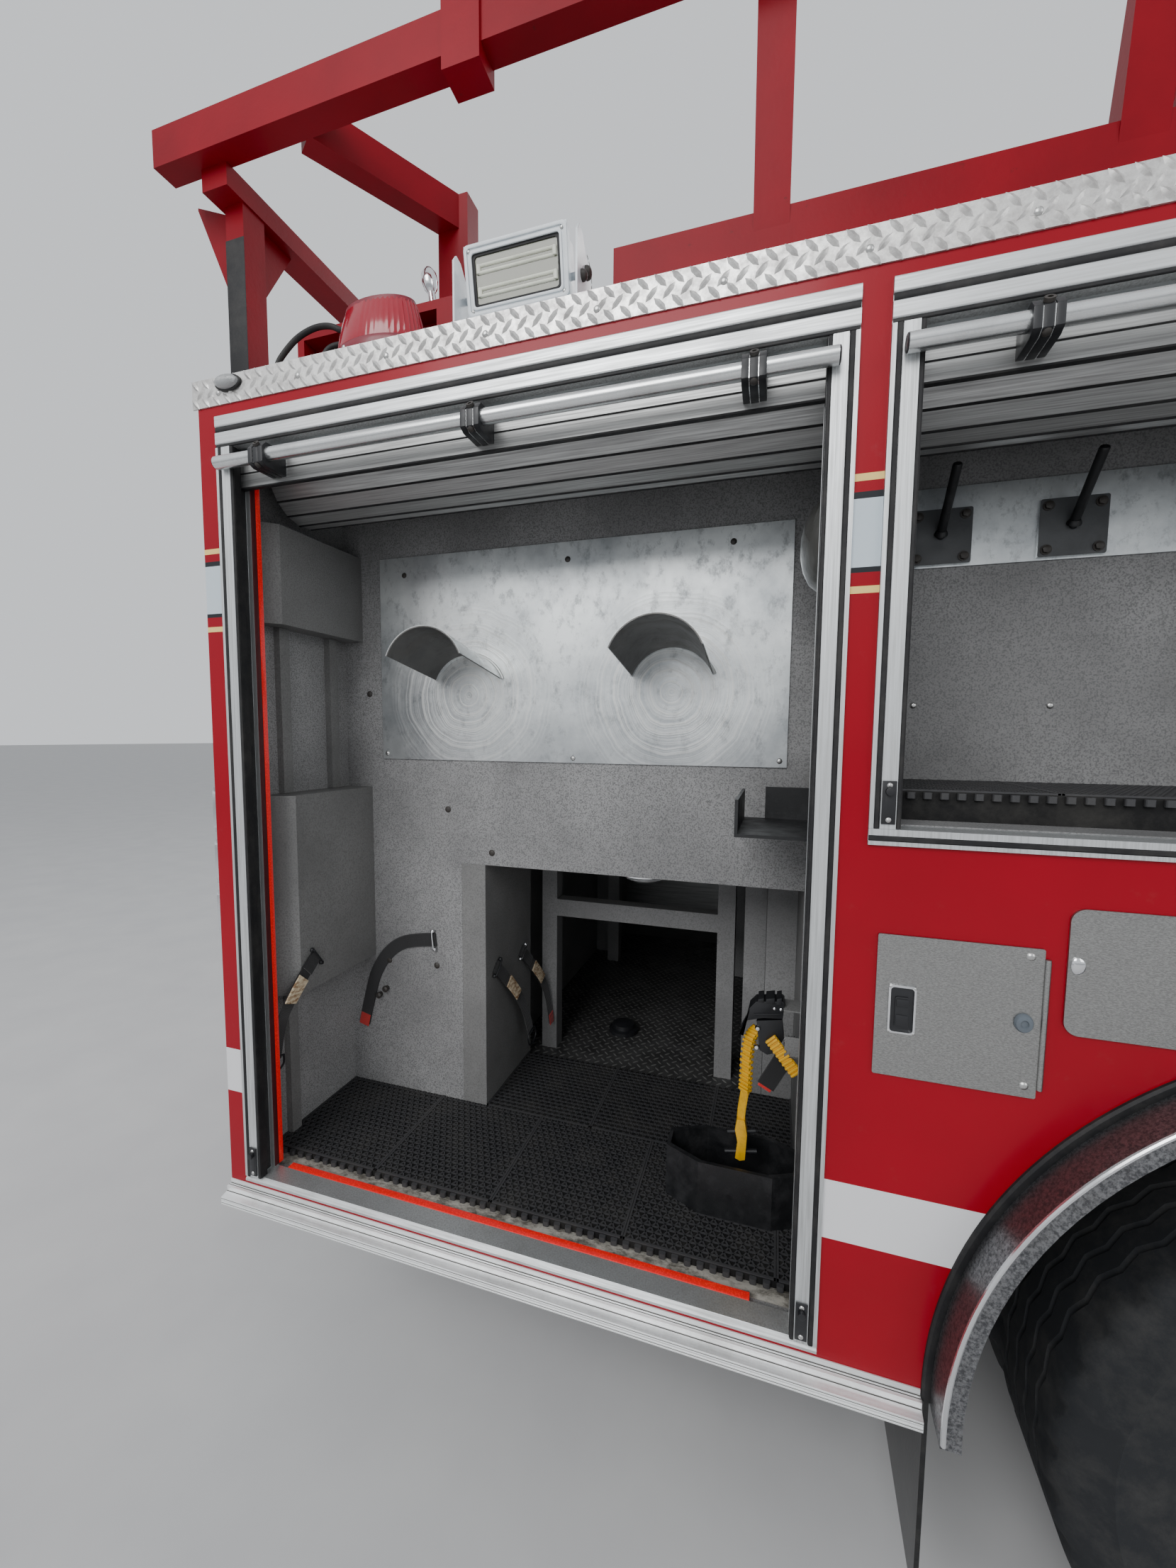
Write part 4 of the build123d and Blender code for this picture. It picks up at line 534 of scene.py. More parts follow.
class Shape:
    """Points and faces gathered for one piece, in the truck's frame, in metres."""

    def __init__(self):
        self.points = []
        self.faces = []
        self.marks = []

    def add(self, points, faces, mark=0):
        start = len(self.points)
        self.points += [tuple(p) for p in points]
        self.faces += [tuple(start + i for i in face) for face in faces]
        self.marks += [mark] * len(faces)

    def box(self, low, high, mark=0):
        (x0, y0, z0), (x1, y1, z1) = low, high
        points = [(x, y, z) for x in (x0, x1) for y in (y0, y1) for z in (z0, z1)]
        self.add(points, [(0, 1, 3, 2), (4, 6, 7, 5), (0, 4, 5, 1), (2, 3, 7, 6), (0, 2, 6, 4), (1, 5, 7, 3)], mark)

    def loops(self, rings, closed_ends=True, mark=0, around=False):
        """Joins rings of as many points each into a skin. around also joins the last ring to the first."""
        count = len(rings[0])
        points = [p for ring in rings for p in ring]
        faces = []
        last = len(rings) if around else len(rings) - 1
        for i in range(last):
            for j in range(count):
                a, b = i * count, (i + 1) % len(rings) * count
                faces.append((a + j, a + (j + 1) % count, b + (j + 1) % count, b + j))
        if closed_ends and not around:
            faces.append(tuple(reversed(range(count))))
            faces.append(tuple(range((len(rings) - 1) * count, len(rings) * count)))
        self.add(points, faces, mark)

    def tube(self, start, end, radius, sides=16, mark=0, end_radius=None):
        start, end = Vector(start), Vector(end)
        along = (end - start).normalized()
        across = along.orthogonal().normalized()
        up = along.cross(across)
        rings = []
        for centre, size in ((start, radius), (end, radius if end_radius is None else end_radius)):
            rings.append([centre + (across * cos(a) + up * sin(a)) * size
                          for a in (2 * pi * n / sides for n in range(sides))])
        self.loops(rings, mark=mark)

    def turned(self, profile, centre, along, sides=24, mark=0):
        """Turns (radius, distance along) points about an axis through the centre."""
        centre, along = Vector(centre), Vector(along).normalized()
        across = along.orthogonal().normalized()
        up = along.cross(across)
        rings = []
        for radius, far in profile:
            rings.append([centre + along * far + (across * cos(a) + up * sin(a)) * max(radius, 1e-5)
                          for a in (2 * pi * n / sides for n in range(sides))])
        self.loops(rings, mark=mark)

    def slab(self, outline, origin, across, up, depth, mark=0):
        """An outline of (across, up) points pushed out by the depth, square to both directions."""
        origin, across, up = Vector(origin), Vector(across).normalized(), Vector(up).normalized()
        away = across.cross(up) * depth
        flat = [origin + across * a + up * b for a, b in outline]
        self.loops([flat, [p + away for p in flat]], mark=mark)

    def swept(self, path, section, side, mark=0, closed_ends=True):
        """Carries a section of (side, up) points along a path whose section keeps to the side direction."""
        path = [Vector(p) for p in path]
        side = Vector(side).normalized()
        rings = []
        for i, point in enumerate(path):
            along = (path[min(i + 1, len(path) - 1)] - path[max(i - 1, 0)]).normalized()
            across = (side - along * side.dot(along)).normalized()
            up = along.cross(across)
            rings.append([point + across * a + up * b for a, b in section])
        self.loops(rings, closed_ends, mark)

    def screw(self, place, out, radius, mark=0):
        """A domed screw head that stands out of a surface."""
        height = radius * 0.6
        self.turned([(radius, 0), (radius, height * 0.35), (radius * 0.75, height * 0.8), (radius * 0.35, height),
                     (0, height)], Vector(place) - Vector(out).normalized() * radius * 0.1, out, 10, mark)

    def bolt(self, place, out, radius, mark=0):
        """A hexagonal bolt head on its washer."""
        place, out = Vector(place), Vector(out).normalized()
        self.turned([(radius * 1.35, 0), (radius * 1.35, radius * 0.22), (0, radius * 0.22)], place, out, 16, mark)
        self.turned([(radius, 0), (radius, radius * 0.9), (radius * 0.8, radius), (0, radius)], place, out, 6, mark)

    def mirrored(self):
        """The same piece on the other side of the truck."""
        other = Shape()
        other.points = [(x, -y, z) for x, y, z in self.points]
        other.faces = [tuple(reversed(face)) for face in self.faces]
        other.marks = list(self.marks)
        return other

    def joined(self, other):
        start = len(self.points)
        self.points += other.points
        self.faces += [tuple(start + i for i in face) for face in other.faces]
        self.marks += other.marks
        return self

    def both(self):
        return self.joined(self.mirrored())

    def make(self, name, materials, body="truck", slot=None, bevel=0.0, smooth=35, replaces=(), fine=0):
        """Makes the object, rides it on its body and hides the parts that it replaces."""
        mesh = bpy.data.meshes.new(name)
        mesh.from_pydata(self.points, [], self.faces)
        mesh.polygons.foreach_set("material_index", self.marks)
        work = bmesh.new()
        work.from_mesh(mesh)
        bmesh.ops.remove_doubles(work, verts=work.verts, dist=1e-6)
        bmesh.ops.recalc_face_normals(work, faces=work.faces)
        if bevel:
            sharp = [e for e in work.edges if len(e.link_faces) == 2 and e.calc_face_angle(0) > radians(40)]
            bmesh.ops.bevel(work, geom=sharp, offset=bevel, segments=2, affect="EDGES", profile=0.6,
                            clamp_overlap=True)
        work.to_mesh(mesh)
        work.free()
        mesh.shade_smooth()
        mesh.set_sharp_from_angle(angle=radians(smooth))
        for material in materials if isinstance(materials, (list, tuple)) else [materials]:
            mesh.materials.append(material)
        piece = bpy.data.objects.new(name, mesh)
        bpy.context.scene.collection.objects.link(piece)
        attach(piece, body)
        if replaces:
            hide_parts(*replaces)
        return piece


def rounded(width, height, radius, steps=5):
    """A rounded rectangle about its centre, as (across, up) points."""
    points = []
    for number, (cx, cy) in enumerate(((1, 1), (-1, 1), (-1, -1), (1, -1))):
        for step in range(steps + 1):
            angle = pi / 2 * (number + step / steps)
            points.append((cx * (width / 2 - radius) + radius * cos(angle), cy * (height / 2 - radius) + radius * sin(angle)))
    return points


def circle(radius, sides=16):
    return [(radius * cos(2 * pi * n / sides), radius * sin(2 * pi * n / sides)) for n in range(sides)]


def curved(points, steps=6):
    """A smooth line through the points."""
    line = []
    points = [Vector(p) for p in points]
    for i in range(len(points) - 1):
        a, b = points[max(i - 1, 0)], points[i]
        c, d = points[i + 1], points[min(i + 2, len(points) - 1)]
        for step in range(steps):
            t = step / steps
            line.append(0.5 * ((2 * b) + (c - a) * t + (2 * a - 5 * b + 4 * c - d) * t * t
                               + (3 * b - a - 3 * c + d) * t * t * t))
    line.append(points[-1])
    return line


# Door frames, curtains and the roof's edge
HEADER = 0.066
SILL_HEIGHT = {"rear": 0.012, "wheel": 0.026, "front": 0.012}
OPEN_DOORS = ("rear", "wheel")


def bead(width, height):
    """The section of a rubber strip as (across, out) points."""
    return [(0, 0), (0, height * 0.7), (width * 0.2, height), (width * 0.8, height), (width, height * 0.7), (width, 0)]


def door_seals(m):
    """Black rubber in the grooves of the tracks, headers and sills, and on the tracks' inner edges."""
    shape = Shape()
    groove_y = -FRAME_FACE_Y + 0.004
    for name, x0, x1, z0 in DOORWAYS:
        foot = z0 + SILL_HEIGHT[name] + 0.001
        head = DOOR_TOP - HEADER - 0.001
        for edge, way in ((x0, 1), (x1, -1)):
            for near, far, height in ((0.0070, 0.0151, 0.0050), (0.0387, 0.0448, 0.0032)):
                low = min(edge + way * near, edge + way * far)
                shape.slab(bead(far - near, height), (low, groove_y, head), (1, 0, 0), (0, -1, 0), head - foot)
            inner = edge + way * TRACK
            a, b = sorted((inner, inner + way * 0.0009))
            shape.box((a, -FRAME_FACE_Y + 0.003, foot), (b, -FRAME_FACE_Y + 0.0195, head))
            slot = edge + way * (TRACK - 0.012)
            a, b = sorted((slot, slot + way * 0.0006))
            shape.box((a, -FRAME_FACE_Y + 0.0205, foot), (b, -FRAME_FACE_Y + 0.0415, head))
        for down, deep, width, height in ((0.0342, 0.005, 0.0100, 0.0045), (0.0658, 0.004, 0.0056, 0.0030)):
            place = (x1 - 0.001, -FRAME_FACE_Y + deep, DOOR_TOP - down)
            shape.slab([(b, a) for a, b in reversed(bead(width, height))], place, (0, -1, 0), (0, 0, 1), x1 - x0 - 0.002)
    name, x0, x1, z0 = DOORWAYS[1]
    shape.slab([(b, a) for a, b in reversed(bead(0.0086, 0.0045))], (x1 - 0.001, groove_y, z0 + 0.0068),
               (0, -1, 0), (0, 0, 1), x1 - x0 - 0.002)
    shape.both().make("door_seals", m["seal"], slot="rubber")


def catch_plates(m):
    """Small black catches at the foot of each track, a lever on a plate with two screws."""
    plates, screws = Shape(), Shape()
    for name, x0, x1, z0 in DOORWAYS:
        foot = z0 + SILL_HEIGHT[name] + 0.008
        for edge, way in ((x0, 1), (x1, -1)):
            x = edge + way * 0.027
            y = -FRAME_FACE_Y - 0.0002
            plates.box((x - 0.010, y - 0.003, foot), (x + 0.010, y, foot + 0.068))
            plates.slab([(-0.0075, -0.006), (0.0075, -0.006), (0.0060, 0.038), (-0.0060, 0.038)],
                        (x - way * 0.002, y - 0.0035, foot + 0.018), (1, 0, -0.12 * way), (0.12 * way, 0, 1), -0.007)
            plates.tube((x, y - 0.003, foot + 0.052), (x, y - 0.012, foot + 0.052), 0.0065, 12)
            for up in (0.007, 0.061):
                screws.screw((x, y - 0.003, foot + up), (0, -1, 0), 0.0042)
    plates.both().make("track_catches", m["black_plastic"], slot="black_steel", bevel=0.0009)
    screws.both().make("track_catch_screws", m["screw"], slot="stainless")


def red_tape(m):
    """The red strips up the left jamb and along the threshold of the open rear compartment, with a dark red strip
    beside the jamb's tape as its painted shade.
    """
    name, x0, x1, z0 = DOORWAYS[0]
    inner = x0 + TRACK
    tape = Shape()
    foot, head = COMPARTMENT_FLOOR + 0.016, DOOR_TOP - HEADER - 0.05
    tape.box((inner + 0.0002, -1.1720, foot), (inner + 0.0026, -1.1600, head))
    tape.slab([(0, 0), (0.0118, 0.0), (0.0130, 0.002), (0.0130, 0.0165), (0.0112, 0.0185), (0, 0.0190)], (x1 - TRACK - 0.070, -1.1738, COMPARTMENT_FLOOR + 0.0002),
              (0, 0, 1), (0, 1, 0), x1 - x0 - 2 * TRACK - 0.100)
    tape.make("red_tape", m["tape"], slot="red_lens", bevel=0.0003)
    # painted shade: a dark red strip beside the tape stands for the shaded side of the jamb's strip
    back = Shape()
    back.box((inner + 0.0002, -1.1838, foot), (inner + 0.0022, -1.1722, head))
    back.make("tape_shaded_side", m["tape_shade"], slot="red_paint", bevel=0.0003)
    lip = Shape()
    floor_edge = [(0, 0.0002), (0, 0.0035), (0.020, 0.0035), (0.034, 0.0008), (0.034, 0.0002)]
    lip.slab([(b, a) for a, b in reversed(floor_edge)], (x1 + 0.008, -1.1545, COMPARTMENT_FLOOR), (0, 0, 1), (0, 1, 0), x1 - x0 + 0.028)
    lip.make("threshold_sheet", m["worn_sheet"], slot="scuffed_sheet", bevel=0.0004)


def rail_lines(m):
    """The rub rails' upper lip, their raised ribs, and dark strips laid as painted shade in the grooves between them,
    under the ledge and along the top.
    """
    lip, ribs, grooves = Shape(), Shape(), Shape()
    reach = ARCH_RADIUS + 0.0135
    face, ledge, top = -SIDE_Y - 0.030, -SIDE_Y - 0.014, BODY_BOTTOM - 0.0003
    for x0, x1 in ((BODY_REAR, REAR_AXLE_X - reach), (REAR_AXLE_X + reach, BODY_FRONT)):
        lip.box((x0, -SIDE_Y - 0.0026, top + 0.0002), (x1, -SIDE_Y - 0.0002, top + 0.0110))
        for z in (0.5875, 0.5925, 0.5975, 0.6025):
            ribs.slab([(0, -0.0016), (0.0009, -0.0010), (0.0009, 0.0010), (0, 0.0016)], (x1, face, z), (0, -1, 0), (0, 0, 1), x1 - x0)
        # painted shade: thin dark strips in the grooves, under the ledge and at the rail's top edge
        for y, z, wide in ((face - 0.0002, 0.5900, 0.0005), (face - 0.0002, 0.6000, 0.0005)):
            grooves.box((x0, y, z - wide), (x1, y + 0.0004, z + wide))
        grooves.box((x0, ledge - 0.0010, 0.6073), (x1, ledge + 0.0002, 0.6085))
        grooves.box((x0, -SIDE_Y - 0.0085, top), (x1, -SIDE_Y - 0.0072, top + 0.0003))
        grooves.box((x0, -SIDE_Y - 0.0036, top), (x1, -SIDE_Y - 0.0026, top + 0.0006))
    lip.both().make("rail_lips", m["step"], slot="frame_metal", bevel=0.0006)
    ribs.both().make("rail_ribs", m["step"], slot="frame_metal")
    grooves.both().make("rail_groove_shade", m["dark_screw"], slot="black_steel")


def lift_bar_places():
    """Every lifting bar of the right side as start x, end x and height."""
    for name, x0, x1, z0 in DOORWAYS:
        yield name, x0 + 0.020, x1 - 0.030, DOOR_TOP - 0.106 if name in OPEN_DOORS else z0 + 0.110


BAR_Y = SIDE_Y + 0.020


def clamps(m):
    """The black hooked clamps on the lifting bars, with their socket screws, and the bars' end plugs."""
    hooks, screws, plugs = Shape(), Shape(), Shape()

    def dress_bar(x0, x1, z, side):
        y, face = -BAR_Y, -SIDE_Y + 0.0247
        for share in (0.1, 0.5, 0.9):
            x = x0 + share * (x1 - x0)
            hook = [(y - 0.0180, z - 0.0205), (y - 0.0180, z + 0.0085), (y - 0.0073, z + 0.0210), (face, z + 0.0210),
                    (face, z - 0.0268), (y - 0.0052, z - 0.0268)]
            for a, b in ((-0.0186, -0.0075), (-0.0065, 0.0065), (0.0075, 0.0186)):
                deep = 0.0 if a == -0.0065 else -0.0010
                ring = [(side * (p + deep), q) for p, q in hook]
                hooks.loops([[(x + a, p, q) for p, q in ring], [(x + b, p, q) for p, q in ring]])
            top = Vector((x, side * (y - 0.0128), z + 0.0152))
            screws.turned([(0.0070, 0), (0.0070, 0.0050), (0.0035, 0.0052), (0.0035, 0.0020), (0, 0.0020)], top,
                          (0, -0.768 * side, 0.64), 14)
            low = Vector((x, side * (y - 0.0120), z - 0.0240))
            screws.screw(low, (0, -0.447 * side, -0.894), 0.0060)
        for end, way in ((x0, -1), (x1, 1)):
            plugs.turned([(0.0128, 0), (0.0128, 0.0018), (0.0100, 0.0030), (0, 0.0030)], (end, side * -BAR_Y, z), (way, 0, 0), 20)

    for name, x0, x1, z in lift_bar_places():
        dress_bar(x0, x1, z, 1)
    for name, x0, x1, z0 in DOORWAYS:
        dress_bar(x0 + 0.020, x1 - 0.030, z0 + 0.110, -1)
    hooks.make("bar_clamps", m["black_plastic"], slot="black_steel", bevel=0.0012)
    screws.make("clamp_screws", m["dark_screw"], slot="black_steel")
    plugs.make("bar_plugs", m["black_plastic"], slot="rubber")


DRUM_RADIUS, DRUM_SIDES = 0.102, 17


def drum_joints(m):
    """Dark joints between the slats wound on the open doorways' drums, and their free ends' rubber."""
    joints = Shape()
    y, z = -SIDE_Y + 0.203, 2.420 - DRUM_RADIUS - 0.008
    for name, x0, x1, z0 in DOORWAYS:
        if name not in OPEN_DOORS:
            continue
        for number in range(DRUM_SIDES):
            angle = 2 * pi * (number + 0.5) / DRUM_SIDES
            place = (y + DRUM_RADIUS * cos(angle), z + DRUM_RADIUS * sin(angle))
            joints.tube((x0 + 0.0305, *place), (x1 - 0.0305, *place), 0.0024, 6)
        joints.box((x0 + 0.036, -SIDE_Y + 0.0235, DOOR_TOP - HEADER - 0.0785), (x1 - 0.036, -SIDE_Y + 0.0345, DOOR_TOP - HEADER - 0.0755))
        joints.tube((x0 + 0.034, -SIDE_Y + 0.0246, DOOR_TOP - HEADER - 0.046), (x1 - 0.034, -SIDE_Y + 0.0246, DOOR_TOP - HEADER - 0.046), 0.0014, 6)
    joints.make("slat_joints", m["seal"], slot="rubber")


def diamond(shape, centre, along, out, length, width, height):
    """One raised bar of tread plate: a closed form on a six-sided foot."""
    centre, along, out = Vector(centre), Vector(along).normalized(), Vector(out).normalized()
    across = out.cross(along)
    foot = [(1, 0), (0.42, 1), (-0.42, 1), (-1, 0), (-0.42, -1), (0.42, -1)]
    points = [centre + along * (a * length / 2) + across * (b * width / 2) for a, b in foot]
    points += [centre + along * (a * length / 2) + out * height for a in (0.5, -0.5)]
    shape.add(points, [(0, 1, 6), (1, 2, 7, 6), (2, 3, 7), (3, 4, 7), (4, 5, 6, 7), (5, 0, 6), (5, 4, 3, 2, 1, 0)])


def tread(shape, origin, across, up, width, depth, pitch, length=0.022, bar=0.0068, height=0.0013):
    """Rows of diamonds over a rectangle, each at right angles to its neighbours."""
    origin, across, up = Vector(origin), Vector(across), Vector(up)
    out = across.cross(up)
    columns, rows = int(width / pitch), max(1, round(depth / (pitch * 0.66)))
    for row in range(rows):
        for column in range(columns):
            turn = 1 if row % 2 else -1
            a = (column + (0.75 if row % 2 else 0.25)) * pitch
            b = (row + 0.5) * depth / rows
            diamond(shape, origin + across * a + up * b, across + up * turn * 1.1, out, length, bar, height)


def trim_diamonds(m):
    """Tread pattern on the roof's folded edges, with its screws and the small marker light."""
    bars = Shape()
    length = BODY_FRONT - BODY_REAR
    tread(bars, (BODY_REAR - 0.010, -TRIM_Y, TRIM_LOW + 0.001), (1, 0, 0), (0, 0, 1), length, TRIM_HIGH - TRIM_LOW - 0.002, 0.029, 0.031, 0.0096, 0.0026)
    tread(bars, (BODY_REAR - 0.010, -TRIM_Y + 0.004, TRIM_HIGH), (1, 0, 0), (0, 1, 0), length, 0.400, 0.029, 0.031, 0.0096, 0.0022)
    bars.both().make("trim_diamonds", m["bright_plate"], slot="tread_plate", smooth=20)
    screws = Shape()
    x = BODY_REAR + 0.062
    while x < BODY_FRONT:
        screws.screw((x, -TRIM_Y, TRIM_LOW + 0.024), (0, -1, 0), 0.0062)
        x += 0.2105
    screws.both().make("trim_screws", m["screw"], slot="stainless")
    base, glass = Shape(), Shape()
    spot = Vector((-4.457, -TRIM_Y, 2.434))
    oval = [(0.030 * cos(a), 0.0135 * sin(a)) for a in (2 * pi * n / 24 for n in range(24))]
    base.slab([(a * 1.14, b * 1.2) for a, b in oval], spot, (1, 0, 0), (0, 0, 1), 0.006)
    rings = []
    for size, far in ((1.0, 0.006), (0.96, 0.012), (0.7, 0.017), (0.3, 0.019)):
        rings.append([spot + Vector((a * size, -far, b * size)) for a, b in oval])
    glass.loops(rings)
    base.make("marker_base", m["seal"], slot="rubber", bevel=0.0008)
    glass.make("marker_lens", m["clear"], slot="lamp")


# Lamps on the roof's edge
FLOOD_CENTRE = Vector((-3.8065, -1.194, 2.5323))
FLOOD_TILT = radians(10)


def flood_place(a, b, c):
    """A point of the flood light's head from its centre: along, inwards and up."""
    deep = b * cos(FLOOD_TILT) - c * sin(FLOOD_TILT)
    up = b * sin(FLOOD_TILT) + c * cos(FLOOD_TILT)
    return FLOOD_CENTRE + Vector((a, deep, up))


def flood_frame(shape, outer, inner, near, far):
    """A rectangular frame in the head's own directions."""
    rings = []
    for (width, height), b in ((outer, far), (outer, near), (inner, near), (inner, far)):
        rings.append([flood_place(p, b, q) for p, q in rounded(width, height, min(width, height) * 0.07, 4)])
    shape.loops(rings, around=True)


def flood_light(m):
    bezel, seal, glass, tubes, screws, dark = (Shape() for _ in range(6))
    flood_frame(bezel, (0.200, 0.113), (0.1885, 0.1015), -0.0086, -0.0058)
    flood_frame(bezel, (0.1800, 0.0930), (0.1712, 0.0842), -0.0083, -0.0050)
    flood_frame(seal, (0.1712, 0.0852), (0.1610, 0.0750), -0.0050, -0.0008)
    back = [flood_place(p, -0.0009, q) for p, q in rounded(0.1640, 0.0780, 0.004, 3)]
    front = [flood_place(p, -0.0030, q) for p, q in rounded(0.1630, 0.0770, 0.004, 3)]
    glass.loops([back, front])
    for c in (-0.0240, -0.0130, 0.0120, 0.0230):
        tubes.tube(flood_place(-0.074, -0.0030, c), flood_place(0.074, -0.0030, c), 0.0030, 10)
    for a, way in ((-0.0745, -1), (0.0745, 1)):
        for c in (-0.0185, 0.0175):
            tubes.tube(flood_place(a, -0.0030, c - 0.007), flood_place(a, -0.0030, c + 0.007), 0.0046, 10)
    out = (flood_place(0, -1, 0) - flood_place(0, 0, 0))
    for a in (-0.0905, 0.0905):
        for c in (-0.0470, 0.0470):
            screws.screw(flood_place(a, -0.0062, c), out, 0.0036)
    up = flood_place(0, 0, 1) - flood_place(0, 0, 0)
    for a in (-0.055, 0.055):
        middle = flood_place(a, 0.0, 0.0566)
        dark.slab(rounded(0.030, 0.0042, 0.002, 3), middle, (1, 0, 0), (0, cos(FLOOD_TILT), sin(FLOOD_TILT)), 0.0004)
    ear_low, ear_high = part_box("flood_light")
    for x, way in ((ear_low.x, -1), (ear_high.x, 1)):
        for y, z, size in ((-1.1630, 2.5273, 0.0115), (-1.1880, 2.5060, 0.0095)):
            dark.turned([(size, 0), (size, 0.003), (size * 0.8, 0.0075), (size * 0.4, 0.0095), (0, 0.0098)], (x, y, z), (way, 0, 0), 20)
        for number in range(6):
            angle = radians(-30 + 22 * number)
            spot = Vector((x, -1.1630 + 0.031 * cos(angle), 2.5273 + 0.031 * sin(angle)))
            along = Vector((0, -sin(angle), cos(angle)))
            side = Vector((0, cos(angle), sin(angle)))
            dark.slab(rounded(0.0085, 0.0030, 0.0014, 2), spot, along * way, side, -0.0004)
    bezel.make("flood_bezel", m["white_enamel"], slot="lamp_white", bevel=0.0007)
    seal.make("flood_seal", m["seal"], slot="rubber")
    glass.make("flood_glass", m["flood_glass"], slot="glass")
    tubes.make("flood_tubes", m["tube_glow"], slot="lamp_white")
    screws.make("flood_screws", m["screw"], slot="stainless")
    dark.make("flood_bolts", m["dark_screw"], slot="black_steel")


BEACON_FOOT = Vector((-4.128, -1.154, 2.4533))


def beacon(m):
    """The oval beacon's fluted lens over its lower band, with the gasket under it and its screw."""
    lens_piece, band, gasket, screw = Shape(), Shape(), Shape(), Shape()
    count = 144

    def ring(a, b, z, flute=0.0):
        points = []
        for number in range(count):
            angle = 2 * pi * number / count
            grow = 1 + flute * cos(2 * pi * number / 3) * (cos(angle) > -0.15)
            points.append(BEACON_FOOT + Vector((a * grow * cos(angle), b * grow * sin(angle), z)))
        return points
    rings = [ring(0.0990, 0.0530, 0.0245), ring(0.0992, 0.0532, 0.0270, 0.010)]
    for step in range(1, 8):
        share = step / 7
        rings.append(ring(0.0990 - 0.0175 * share ** 1.5, 0.0530 - 0.0140 * share ** 1.5, 0.027 + 0.0730 * share, 0.010))
    for step in range(1, 7):
        angle = pi / 2 * step / 6
        rings.append(ring(0.0815 - 0.0120 * (1 - cos(angle)), 0.0390 - 0.0110 * (1 - cos(angle)), 0.1000 + 0.0072 * sin(angle)))
    rings.append(ring(0.030, 0.012, 0.1095))
    lens_piece.loops(rings)
    band.loops([ring(0.1046, 0.0566, 0.0070), ring(0.1052, 0.0572, 0.0100), ring(0.1052, 0.0572, 0.0200), ring(0.1030, 0.0552, 0.0238),
                ring(0.0990, 0.0530, 0.0242)])
    gasket.loops([ring(0.1075, 0.0595, 0.0002), ring(0.1085, 0.0605, 0.0035), ring(0.1070, 0.0590, 0.0072), ring(0.1040, 0.0560, 0.0072)])
    spot = BEACON_FOOT + Vector((-0.052, -0.0502, 0.0140))
    screw.screw(spot, (-0.30, -0.95, 0), 0.0046)
    lens_piece.make("beacon_lens", m["beacon_lens"], slot="red_lens", smooth=25)
    band.make("beacon_band", m["beacon_band"], slot="red_lens")
    gasket.make("beacon_gasket", m["seal"], slot="rubber")
    screw.make("beacon_screw", m["screw"], slot="stainless")


# Free cords: the routes are in metres from the beacon's foot
CABLE_ROUTES = [
    ("beacon_cable_high", 0.2208, [(-0.090, 0.009, 0.090), (-0.104, 0.009, 0.090), (-0.130, 0.009, 0.107), (-0.172, 0.009, 0.112),
                                   (-0.217, 0.006, 0.098), (-0.250, 0.004, 0.073), (-0.271, 0.001, 0.048), (-0.271, 0.001, 0.032)]),
    ("beacon_cable_low", 0.0830, [(-0.090, 0.021, 0.072), (-0.104, 0.021, 0.072), (-0.132, 0.009, 0.066), (-0.148, 0.004, 0.048),
                                  (-0.148, 0.004, 0.032)]),
]
CABLE_RADIUS = 0.006


def nurbs(name, points):
    """A smooth open line with these control points."""
    data = bpy.data.curves.new(name, "CURVE")
    data.dimensions = "3D"
    data.resolution_u = 24
    line = data.splines.new("NURBS")
    line.points.add(len(points) - 1)
    for point, place in zip(line.points, points):
        point.co = (*place, 1)
    line.order_u = 3
    line.use_endpoint_u = True
    piece = bpy.data.objects.new(name, data)
    bpy.context.scene.collection.objects.link(piece)
    return piece


def cables(m):
    """The beacon's two cables, and the black glands at their ends."""
    glands = Shape()
    for name, length, route in CABLE_ROUTES:
        points = [BEACON_FOOT + Vector(p) for p in route]
        piece = nurbs(name, points)
        piece.data.bevel_depth = CABLE_RADIUS
        piece.data.bevel_resolution = 5
        piece.data.use_fill_caps = True
        piece.data.materials.append(m["seal"])
        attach(piece, "truck")
        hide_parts("cables")
        foot = points[-1]
        base = Vector((foot.x, foot.y, BEACON_FOOT.z))
        tall = foot.z - base.z
        glands.turned([(0.0165, 0.0002), (0.0165, 0.006), (0.0128, 0.0065), (0.0128, 0.020), (0.0095, tall + 0.002), (0.0063, tall + 0.003)],
                      base, (0, 0, 1), 6)
        outlet = points[0]
        glands.turned([(0.0150, -0.012), (0.0150, -0.004), (0.0105, -0.003), (0.0085, 0.004), (0.0063, 0.005)], outlet, (-1, 0, 0), 16)
    glands.make("cable_glands", m["black_plastic"], slot="rubber", bevel=0.0005)


BACK_FACE_Y = -0.8108
JAMB_FACE_X = -4.0789
COVER_FACE_X = -4.4399
STRAP_WIDTH, STRAP_THICKNESS = 0.038, 0.003

